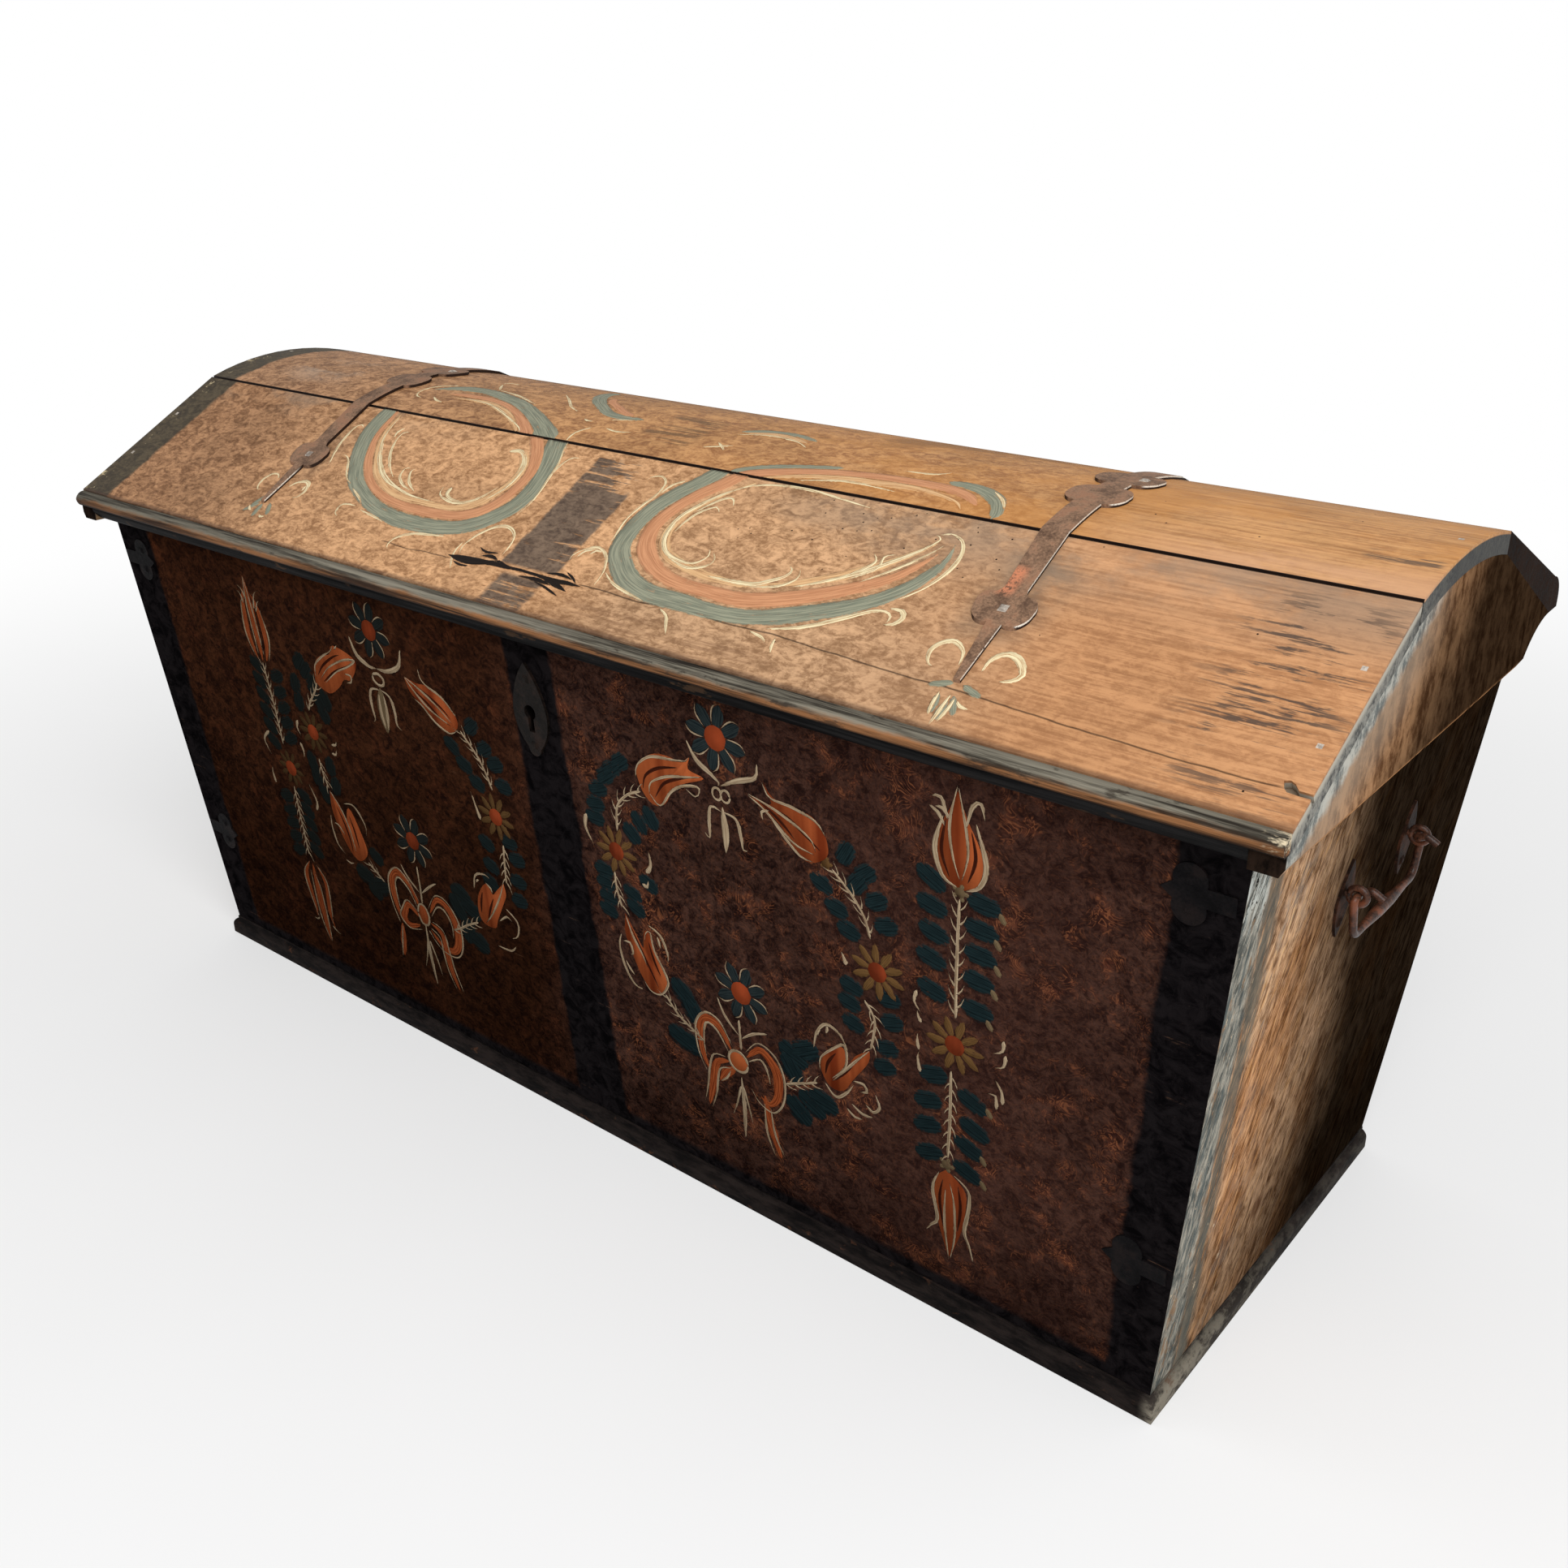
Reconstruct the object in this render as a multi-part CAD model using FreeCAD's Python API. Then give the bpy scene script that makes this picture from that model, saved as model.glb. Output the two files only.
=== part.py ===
"""Painted domed marriage chest of pine with forged iron fittings, in millimetres.

X runs along the width, Y from front to back, Z up. The floor is Z = 0, and the origin
lies under the middle of the whole chest.
"""
import FreeCAD, Part
import math
import os

os.makedirs("parts", exist_ok=True)
Vector = FreeCAD.Vector

# Case: four boards that lean outwards from the foot to the rim
CASE_RIM_WIDTH = 1177.0
CASE_RIM_DEPTH = 460.0
CASE_HEIGHT = 490.0
SIDE_FLARE = 43.5
FRONT_FLARE = 37.0
CASE_BOARD = 24.0
BOTTOM_BOARD = 18.0

# Dovetails at the four corners: the sides carry the tails, front and back the pins
DOVETAILS = 7
PIN_FACE = 18.0
PIN_ROOT = 28.0

# Base moulding, nailed round the front and the sides
MOULDING_HEIGHT = 19.0
MOULDING_PROUD = 7.0
MOULDING_FILLET = 2.5
MOULDING_HOLLOW = 1.25
MOULDING_SQUARE = 9.0
MOULDING_SPLIT = 155.0
MOULDING_SPLIT_GAP = 0.8

# Till at the left end of the case
TILL_LENGTH = 128.0
TILL_DEPTH = 86.0
TILL_BOARD = 10.0
TILL_BELOW_RIM = 22.0
TILL_HOUSING = 6.0

# Lid: front slope, curved crown, back slope and rounded hinge edge
LID_OVERHANG = 13.0
SLOPE_RUN = 157.0
SLOPE_RISE = 85.0
CROWN_RUN = 157.0
CROWN_RISE = 6.0
CROWN_SAG = 11.0
BACK_DROP = 63.5
LID_BACK_INSET = 2.0
EDGE_RUN = 19.0
EDGE_DROP = 21.5
EDGE_SAG = 5.0
HINGE_EDGE = 18.0
LID_BOARD = 15.0
LID_JOINT_GAP = 2.0
LID_SEAT = 0.3

# Gables: outside the case sides, lapping over the rim
GABLE_BOARD = 20.7
GABLE_CLEARANCE = 0.8
GABLE_LAP = 27.0
GABLE_NOSE = 4.0
GABLE_CHAMFER = 3.0
GABLE_CHAMFER_RISE = 5.5
GABLE_TOE = 52.0
GABLE_TOE_SAG = 7.0

# Nail places on the boards of the lid, as shares of the slope and of the back
SLOPE_BRAD_SHARES = (0.33, 0.67)
BACK_BRAD_SHARES = (0.25, 0.75)

# An old split in the right end of the front slope: inset from the end, way up from the foot
SPLIT_OUTLINE = [
    (0.0, 22.8),
    (7.0, 22.8),
    (13.5, 23.3),
    (16.0, 25.5),
    (18.0, 30.3),
    (14.6, 31.6),
    (11.3, 30.0),
    (8.0, 26.4),
    (0.0, 26.2),
]
SPLIT_DEPTH = 7.0

# Front mouldings of the lid: a bead over an ogee lip
BEAD_HEIGHT = 14.0
BEAD_PROUD = 9.0
BEAD_QUIRK = 1.4
BEAD_HOLLOW = 0.7
LIP_HEIGHT = 14.0
LIP_PROUD = 5.0
LIP_CLEARANCE = 1.0
LIP_FOOT = 2.5

# Hinges: straps over the lid, back leaves and pins
HINGE_INSET_RIGHT = 217.5
HINGE_INSET_LEFT = 225.5
IRON = 2.5
STRAP_HALF_WIDTH = 10.5
STRAP_REACH = 40.0
STRAP_TIP_DRIFT = 8.5
STRAP_NAILS = [(0.0, 91.0), (11.0, 256.0)]
STRAP_REAR_NAIL = 86.0
BARREL_RADIUS = 5.0
BARREL_CLEARANCE = 0.4
PIN_RADIUS = 2.4
PIN_FIT = 0.05
PIN_HEAD_RADIUS = 4.0
PIN_HEAD_HEIGHT = 1.5
KNUCKLE_MIDDLE = 14.0
KNUCKLE_OUTER = 9.0
KNUCKLE_GAP = 0.4
LEAF_LENGTH = 165.0
LEAF_WIDTH = 22.0

# Half outline of a strap in plan: half width, and distance behind the lid's foot
STRAP_OUTLINE = [
    ("start", (2.5, 34.0)),
    ("line", (5.5, 78.0)),
    ("arc", (17.0, 80.0), (21.8, 90.0)),
    ("arc", (20.0, 98.5), (12.5, 101.0)),
    ("arc", (9.5, 103.5), (8.5, 108.0)),
    ("line", (10.3, 157.0)),
    ("line", (10.3, 197.0)),
    ("arc", (19.5, 201.0), (22.8, 212.0)),
    ("arc", (20.0, 222.5), (9.8, 228.0)),
    ("line", (9.2, 240.0)),
    ("arc", (20.5, 244.0), (24.5, 254.0)),
    ("arc", (21.5, 267.0), (10.5, 272.0)),
]

# Wrought nails with square shanks, and headless brads for the boards
NAIL_HEAD = 6.4
NAIL_TOP = 3.2
NAIL_HEAD_HEIGHT = 1.3
NAIL_SHANK = 2.6
NAIL_GRIP = 11.0
BRAD = 3.6
BRAD_LENGTH = 34.0

# Lock: keyhole, escutcheon, plate, bolt, guides, spring and the hasp on the lid
LOCK_OFFSET = -3.0
KEYHOLE_BELOW_RIM = 89.5
KEYHOLE_RADIUS = 6.2
KEYHOLE_SLOT = 6.4
KEYHOLE_DROP = 17.0
ESCUTCHEON_ABOVE = 42.0
ESCUTCHEON_BELOW = 38.0
ESCUTCHEON_HALF = 19.0
ESCUTCHEON_FOOT = 7.0
ESCUTCHEON_SAG = 3.5
ESCUTCHEON_NAIL_ABOVE = 28.0
ESCUTCHEON_NAIL_BELOW = 28.5
LOCK_PLATE_WIDTH = 150.0
LOCK_PLATE_TOP = 50.0
LOCK_PLATE_BOTTOM = 34.0
BOLT_LENGTH = 92.0
BOLT_HEIGHT = 12.0
BOLT_THICK = 5.0
BOLT_STAND = 10.0
BOLT_RISE = 18.0
BOLT_TRAVEL = 20.0
BOLT_NOSE = 32.0
BOLT_FIT = 0.3
TALON_WIDTH = 9.0
TALON_DEPTH = 4.0
GUIDE_WIDTH = 6.0
GUIDE_WALL = 3.0
GUIDE_INSET = 15.0
HASP_THICK = 3.0
HASP_GAP = 4.0
HASP_WALL = 3.2
HASP_FIT = 1.2
HASP_FLANGE_WIDTH = 30.0
HASP_FLANGE_LENGTH = 46.0
SPRING_THICK = 1.2
SPRING_RISE = 12.0
SPRING_SPAN = 44.0
SPRING_SAG = 3.0

# Handles: leaf plates, eyes and a round bail on each side
HANDLE_BELOW_RIM = 130.5
HANDLE_SET_BACK = 11.0
EYE_SPACING = 114.0
EYE_RADIUS = 5.8
EYE_BAR = 2.4
BAIL_BAR = 2.7
BAIL_DROP = 31.0
BAIL_GRIP = 4.1
BAIL_REACH = 7.0
BAIL_BEND = 9.0
BAIL_SPLAY = 9.0
GRIP_INSET = 18.0
GRIP_TAPER = 26.0
TAIL_INSET = 6.0
TAIL_LENGTH = 15.0
TAIL_RISE = 3.5
TAIL_DROOP = 4.5
TAIL_CREST_SHARE = 0.45
TAIL_BEND = 3.0
PLATE_THICK = 2.0
PLATE_HALF_WIDTH = 12.5
PLATE_ABOVE = 24.0
PLATE_BELOW = 36.0
PLATE_SET_BACK = 3.0
PLATE_SAG = 2.1
PLATE_NAIL_BELOW = 24.0
CLENCH = 2.5

# Corner irons on the front, under the paint
CORNER_IRON = 1.6
CORNER_REACH = 47.0
CORNER_NECK = 13.0
CORNER_LOBE = 11.0
CORNER_SPREAD = 9.5
CORNER_POINT = 13.0
CORNER_EDGE = 4.0
CORNER_UPPER_BELOW_RIM = 64.0
CORNER_LOWER_ABOVE_FOOT = 132.0

# One overrun serves every cut
OVERRUN = 5.0

CASE_FOOT_WIDTH = CASE_RIM_WIDTH - 2 * SIDE_FLARE
CASE_FOOT_DEPTH = CASE_RIM_DEPTH - 2 * FRONT_FLARE
SIDE_LEAN = SIDE_FLARE / CASE_HEIGHT
FRONT_LEAN = FRONT_FLARE / CASE_HEIGHT
SIDE_STRETCH = math.hypot(1, SIDE_LEAN)
FRONT_STRETCH = math.hypot(1, FRONT_LEAN)
LID_HALF = CASE_RIM_WIDTH / 2 + GABLE_CLEARANCE + GABLE_BOARD

HINGE_PLACES = {
    "right": CASE_RIM_WIDTH / 2 - HINGE_INSET_RIGHT,
    "left": HINGE_INSET_LEFT - CASE_RIM_WIDTH / 2,
}

# The lid reaches from its overhang at the front to its inset at the back
LID_DEPTH = CASE_RIM_DEPTH + LID_OVERHANG - LID_BACK_INSET
BACK_RUN = LID_DEPTH - SLOPE_RUN - CROWN_RUN - EDGE_RUN

# Places on the lid's section, as (y, z)
FOOT = (-CASE_RIM_DEPTH / 2 - LID_OVERHANG, CASE_HEIGHT)
JOINT = (FOOT[0] + SLOPE_RUN, FOOT[1] + SLOPE_RISE)
CROWN_END = (JOINT[0] + CROWN_RUN, JOINT[1] + CROWN_RISE)
BACK_END = (CROWN_END[0] + BACK_RUN, CROWN_END[1] - BACK_DROP)
EDGE_END = (BACK_END[0] + EDGE_RUN, BACK_END[1] - EDGE_DROP)
SEAT_HEIGHT = CASE_HEIGHT + LID_SEAT
SLOPE_TILT = SLOPE_RISE / SLOPE_RUN
SLOPE_INNER_DROP = LID_BOARD * math.hypot(1, SLOPE_TILT)
BEAD_FOOT = FOOT[1] - BEAD_HEIGHT
LIP_BACK = -CASE_RIM_DEPTH / 2 - LIP_CLEARANCE
LIP_BOTTOM = BEAD_FOOT - LIP_HEIGHT
GABLE_FOOT = CASE_HEIGHT - GABLE_LAP

# Hinge axis, behind the case at the rim
HINGE_Y = CASE_RIM_DEPTH / 2 + BARREL_RADIUS + BARREL_CLEARANCE
HINGE_Z = CASE_HEIGHT + LID_SEAT + BARREL_CLEARANCE

# The whole chest is shifted so that its box is centred on the origin
FRONT_MOST = FOOT[0] - BEAD_PROUD
BACK_MOST = HINGE_Y + BARREL_RADIUS
SHIFT_Y = -(FRONT_MOST + BACK_MOST) / 2


def half_width(z, inset=0.0):
    """Half the case's width at a height, drawn in from the outer face by an inset."""
    return CASE_FOOT_WIDTH / 2 + SIDE_LEAN * z - inset * SIDE_STRETCH


def half_depth(z, inset=0.0):
    """Half the case's depth at a height, drawn in from the outer face by an inset."""
    return CASE_FOOT_DEPTH / 2 + FRONT_LEAN * z - inset * FRONT_STRETCH


def solid_between(low, high):
    """A solid with flat faces between two rings of as many corners."""
    faces = [Part.Face(Part.makePolygon(ring + ring[:1])) for ring in (low, high)]
    for i in range(len(low)):
        j = (i + 1) % len(low)
        faces.append(Part.Face(Part.makePolygon([low[i], low[j], high[j], high[i], low[i]])))
    solid = Part.makeSolid(Part.makeShell(faces))
    if solid.Volume < 0:
        solid.reverse()
    return solid


def ring(x0, x1, y0, y1, z):
    """The four corners of a rectangle at one height."""
    return [Vector(x0, y0, z), Vector(x1, y0, z), Vector(x1, y1, z), Vector(x0, y1, z)]


def case_block(z0, z1, inset=0.0):
    """The leaning block of the case between two heights, drawn in by an inset."""
    corners = []
    for z in (z0, z1):
        w = half_width(z, inset)
        d = half_depth(z, inset)
        corners.append(ring(-w, w, -d, d, z))
    return solid_between(*corners)


def front_zone(z0, z1, inset_out, inset_in):
    """The slab along the front between two insets of the leaning front face."""
    far = CASE_RIM_WIDTH
    rings = [
        ring(-far, far, -half_depth(z, inset_out), -half_depth(z, inset_in), z) for z in (z0, z1)
    ]
    return solid_between(*rings)


def side_zone(z0, z1, inset_out, inset_in):
    """The slab along the right side between two insets of the leaning side face."""
    far = CASE_RIM_DEPTH
    rings = [
        ring(half_width(z, inset_in), half_width(z, inset_out), -far, far, z) for z in (z0, z1)
    ]
    return solid_between(*rings)


def to_back(shape):
    """The same shape mirrored from the front to the back."""
    return shape.mirror(Vector(0, 0, 0), Vector(0, 1, 0))


def to_left(shape):
    """The same shape mirrored from the right to the left."""
    return shape.mirror(Vector(0, 0, 0), Vector(1, 0, 0))


def box(x0, x1, y0, y1, z0, z1):
    """A box between two corners."""
    return Part.makeBox(x1 - x0, y1 - y0, z1 - z0, Vector(x0, y0, z0))


def prism_x(points, x0, x1):
    """A (y, z) outline of straight sides, extruded from x0 to x1."""
    corners = [Vector(x0, y, z) for y, z in points]
    return Part.Face(Part.makePolygon(corners + corners[:1])).extrude(Vector(x1 - x0, 0, 0))


def face_from(path, place):
    """A flat face from an outline of runs, set in space by place(a, b).

    The path starts with ("start", point), goes on with ("line", end) or
    ("arc", middle, end), and is closed by a straight side.
    """
    here = path[0][1]
    edges = []
    for run in path[1:]:
        stops = [place(*point) for point in (here,) + tuple(run[1:])]
        edges.append(Part.makeLine(*stops) if run[0] == "line" else Part.Arc(*stops).toShape())
        here = run[-1]
    if here != path[0][1]:
        edges.append(Part.makeLine(place(*here), place(*path[0][1])))
    return Part.Face(Part.Wire(edges))


def curved_prism_x(path, x0, x1):
    """A (y, z) outline of lines and arcs, extruded from x0 to x1."""
    return face_from(path, lambda y, z: Vector(x0, y, z)).extrude(Vector(x1 - x0, 0, 0))


def curved_prism_y(path, y0, y1):
    """An (x, z) outline of lines and arcs, extruded from y0 to y1."""
    return face_from(path, lambda x, z: Vector(x, y0, z)).extrude(Vector(0, y1 - y0, 0))


def bowed_middle(a, b, sag):
    """The middle of an arc from a to b that stands out by sag, to the left of the way."""
    length = math.hypot(b[0] - a[0], b[1] - a[1])
    away = (-(b[1] - a[1]) / length, (b[0] - a[0]) / length)
    return ((a[0] + b[0]) / 2 + away[0] * sag, (a[1] + b[1]) / 2 + away[1] * sag)


def one(shapes):
    """Several solids fused into one, with flush faces joined."""
    return shapes[0].fuse(shapes[1:]).removeSplitter()


# The crown's circle: centre and radius from its two ends and its sag
CROWN_TOP = bowed_middle(JOINT, CROWN_END, CROWN_SAG)
CROWN_CHORD = math.hypot(CROWN_RUN, CROWN_RISE)
CROWN_RADIUS = (CROWN_CHORD ** 2 / 4 + CROWN_SAG ** 2) / (2 * CROWN_SAG)
CROWN_CENTRE = bowed_middle(JOINT, CROWN_END, CROWN_SAG - CROWN_RADIUS)


def slope_height(y, drop=0.0):
    """Height of the lid's front slope at y, or of a line that far under it."""
    return FOOT[1] + SLOPE_TILT * (y - FOOT[0]) - drop


def crown_height(y, depth=0.0):
    """Height of the crown at y, or of the curve that deep inside it."""
    radius = CROWN_RADIUS - depth
    return CROWN_CENTRE[1] + math.sqrt(radius ** 2 - (y - CROWN_CENTRE[0]) ** 2)


def crown_arc(y0, y1, depth=0.0):
    """An arc run of the crown from y0 to y1, at some depth."""
    middle = (y0 + y1) / 2
    return ("arc", (middle, crown_height(middle, depth)), (y1, crown_height(y1, depth)))


# Wrought nails

def nail(x, y, z, direction, grip):
    """A nail whose head sits at a point, with its shank driven along a direction."""
    low = NAIL_HEAD / 2
    top = NAIL_TOP / 2
    head = solid_between(ring(-low, low, -low, low, 0), ring(-top, top, -top, top, NAIL_HEAD_HEIGHT))
    shank = box(-NAIL_SHANK / 2, NAIL_SHANK / 2, -NAIL_SHANK / 2, NAIL_SHANK / 2, -grip, 0)
    piece = head.fuse(shank).removeSplitter()
    turn = FreeCAD.Rotation(Vector(0, 0, -1), Vector(*direction))
    piece.Placement = FreeCAD.Placement(Vector(x, y, z), turn)
    return piece


def front_nail(x, z, stand):
    """A nail square to the leaning front, its head on a plate of the given stand."""
    return nail(x, -half_depth(z, -stand), z, (0, 1, FRONT_LEAN), NAIL_GRIP)


def side_nail(y, z, stand):
    """A nail square to the leaning right side, its head on a plate of the given stand."""
    return nail(half_width(z, -stand), y, z, (-1, 0, SIDE_LEAN), NAIL_GRIP)


def lid_surface(y):
    """The lid's height at y, and the direction straight into it there as (y, z)."""
    if y < JOINT[0]:
        length = math.hypot(1, SLOPE_TILT)
        return slope_height(y), (SLOPE_TILT / length, -1 / length)
    if y < CROWN_END[0]:
        z = crown_height(y)
        return z, ((CROWN_CENTRE[0] - y) / CROWN_RADIUS, (CROWN_CENTRE[1] - z) / CROWN_RADIUS)
    tilt = BACK_DROP / BACK_RUN
    length = math.hypot(1, tilt)
    return CROWN_END[1] - tilt * (y - CROWN_END[0]), (-tilt / length, -1 / length)


def strap_nail(x, back):
    """A nail through a strap, square to the lid, some way behind the lid's foot."""
    z, into = lid_surface(FOOT[0] + back)
    drift = STRAP_TIP_DRIFT * max(0.0, (SLOPE_RUN - back) / SLOPE_RUN)
    y = FOOT[0] + back - into[0] * IRON
    return nail(x + drift, y, z - into[1] * IRON, (0, into[0], into[1]), NAIL_GRIP)


def lid_brad(x, y):
    """A headless brad driven flush through a lid board into the gable under it."""
    z, into = lid_surface(y)
    half = BRAD / 2
    piece = box(-half, half, -half, half, -BRAD_LENGTH, 0)
    turn = FreeCAD.Rotation(Vector(0, 0, -1), Vector(0, into[0], into[1]))
    piece.Placement = FreeCAD.Placement(Vector(x, y, z), turn)
    return piece


# Case boards and their dovetails

def dovetail_pins():
    """The pins of the front board, as prisms across the whole width."""
    pitch = (CASE_HEIGHT - BOTTOM_BOARD) / DOVETAILS
    flare = (PIN_ROOT - PIN_FACE) / 2 / CASE_BOARD
    pins = []
    for i in range(DOVETAILS + 1):
        z = BOTTOM_BOARD + i * pitch
        out = PIN_FACE / 2 - flare * OVERRUN
        root = PIN_ROOT / 2 + flare * OVERRUN
        y_out = -half_depth(z) - OVERRUN
        y_root = -half_depth(z) + CASE_BOARD + OVERRUN
        outline = [(y_out, z - out), (y_root, z - root), (y_root, z + root), (y_out, z + out)]
        pins.append(prism_x(outline, -CASE_RIM_WIDTH, CASE_RIM_WIDTH))
    return Part.Compound(pins)


def case_boards():
    """Front, back and side boards, dovetailed, with the rim bevelled to the lid."""
    block = case_block(BOTTOM_BOARD, CASE_HEIGHT)
    low = BOTTOM_BOARD - OVERRUN
    high = CASE_HEIGHT + OVERRUN
    front = block.common(front_zone(low, high, -OVERRUN, CASE_BOARD))
    right = block.common(side_zone(low, high, -OVERRUN, CASE_BOARD))
    pins = dovetail_pins()
    front_pins = front.common(pins)
    tails = right.cut(pins)
    front_board = front.cut([tails, to_left(tails)])
    back_board = to_back(front_board)
    right_board = right.cut([front_pins, to_back(front_pins)])
    far = JOINT[0]
    bevel = prism_x([
        (FOOT[0], slope_height(FOOT[0], SLOPE_INNER_DROP + LID_SEAT)),
        (far, slope_height(far, SLOPE_INNER_DROP + LID_SEAT)),
        (FOOT[0], slope_height(far)),
    ], -CASE_RIM_WIDTH, CASE_RIM_WIDTH)
    right_board = right_board.cut(bevel)
    return {
        "case_front": front_board.cut(bevel),
        "case_back": back_board,
        "case_side_right": right_board,
        "case_side_left": to_left(right_board),
    }


def bottom_boards():
    """Two boards across the foot, nailed up under the case."""
    whole = case_block(0.0, BOTTOM_BOARD)
    front_half = box(-CASE_RIM_WIDTH, CASE_RIM_WIDTH, -CASE_RIM_DEPTH, 0, 0, BOTTOM_BOARD)
    return {
        "bottom_board_front": whole.common(front_half),
        "bottom_board_rear": whole.cut(front_half),
    }


def moulding_section(face, away):
    """Outline of the base moulding at a face, standing out along away (-1 or 1)."""
    foot = face + away * MOULDING_PROUD
    top = face + away * MOULDING_FILLET
    hollow = bowed_middle((foot, MOULDING_SQUARE), (top, MOULDING_HEIGHT - MOULDING_FILLET),
                          -away * MOULDING_HOLLOW)
    back = face - away * MOULDING_PROUD
    return [
        ("start", (back, 0)),
        ("line", (foot, 0)),
        ("line", (foot, MOULDING_SQUARE)),
        ("arc", hollow, (top, MOULDING_HEIGHT - MOULDING_FILLET)),
        ("line", (top, MOULDING_HEIGHT)),
        ("line", (back, MOULDING_HEIGHT)),
    ]


def mitre_wedge():
    """The corner on the side's part of the front right mitre."""
    x = half_width(0)
    y = -half_depth(0)
    reach = 2 * MOULDING_PROUD
    corners = [
        Vector(x - reach, y + reach, -OVERRUN),
        Vector(x + reach, y - reach, -OVERRUN),
        Vector(x + reach, y + reach, -OVERRUN),
    ]
    lift = Vector(0, 0, MOULDING_HEIGHT + 2 * OVERRUN)
    return Part.Face(Part.makePolygon(corners + corners[:1])).extrude(lift)


def base_mouldings():
    """Mitred mouldings round the foot; the right one is in two lengths with a split."""
    case = case_block(-OVERRUN, CASE_HEIGHT)
    wedge = mitre_wedge()
    reach = half_width(0) + MOULDING_PROUD
    front = curved_prism_x(moulding_section(-half_depth(0), -1), -reach, reach)
    front = front.cut([case, wedge, to_left(wedge)])
    back_y = half_depth(0)
    front_y = -half_depth(0) - MOULDING_PROUD
    side = curved_prism_y(moulding_section(half_width(0), 1), front_y, back_y)
    front_corner = box(0, CASE_RIM_WIDTH, front_y - OVERRUN, -half_depth(0) + MOULDING_PROUD,
                       -OVERRUN, MOULDING_HEIGHT + OVERRUN)
    side = side.cut(case).cut(front_corner.cut(wedge))
    split = -half_depth(0) + MOULDING_SPLIT
    ahead = box(0, CASE_RIM_WIDTH, front_y - OVERRUN, split, -OVERRUN, MOULDING_HEIGHT + OVERRUN)
    behind = ahead.translated(Vector(0, MOULDING_SPLIT_GAP, 0))
    return {
        "base_moulding_front": front,
        "base_moulding_left": to_left(side),
        "base_moulding_right": side.common(ahead),
        "base_moulding_right_rear": side.cut(behind),
    }


def till_boards():
    """The till's side and bottom, let into the boards round them."""
    top = CASE_HEIGHT - TILL_BELOW_RIM
    low = top - TILL_DEPTH
    wall = half_width(low, CASE_BOARD)
    room = case_block(low - TILL_BOARD, top, CASE_BOARD - TILL_HOUSING)
    inner = -wall + TILL_LENGTH
    side = box(inner, inner + TILL_BOARD, -CASE_RIM_DEPTH, CASE_RIM_DEPTH, low - TILL_BOARD, top)
    bottom = box(-CASE_RIM_WIDTH, inner, -CASE_RIM_DEPTH, CASE_RIM_DEPTH, low - TILL_BOARD, low)
    return {"till_side": side.common(room), "till_bottom": bottom.common(room)}


# Lid

def lid_outline():
    """The closed outline of the lid's section, outside the boards."""
    return [
        ("start", FOOT),
        ("line", JOINT),
        ("arc", CROWN_TOP, CROWN_END),
        ("line", BACK_END),
        ("arc", bowed_middle(BACK_END, EDGE_END, EDGE_SAG), EDGE_END),
        ("line", (EDGE_END[0], GABLE_FOOT)),
        ("line", (FOOT[0], GABLE_FOOT)),
    ]


def board_split():
    """The hollow of the old split, sunk square into the slope at its right end."""
    length = math.hypot(1, SLOPE_TILT)
    along = (1 / length, SLOPE_TILT / length)
    above = (-SLOPE_TILT / length * OVERRUN, OVERRUN / length)

    def place(inset, up):
        y = FOOT[0] + up * along[0] + above[0]
        return Vector(LID_HALF - inset, y, FOOT[1] + up * along[1] + above[1])

    beyond = [(-OVERRUN, SPLIT_OUTLINE[-1][1]), (-OVERRUN, SPLIT_OUTLINE[0][1])]
    corners = [place(*point) for point in SPLIT_OUTLINE + beyond]
    sink = OVERRUN + SPLIT_DEPTH
    inwards = Vector(0, sink * SLOPE_TILT / length, -sink / length)
    return Part.Face(Part.makePolygon(corners + corners[:1])).extrude(inwards)


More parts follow.
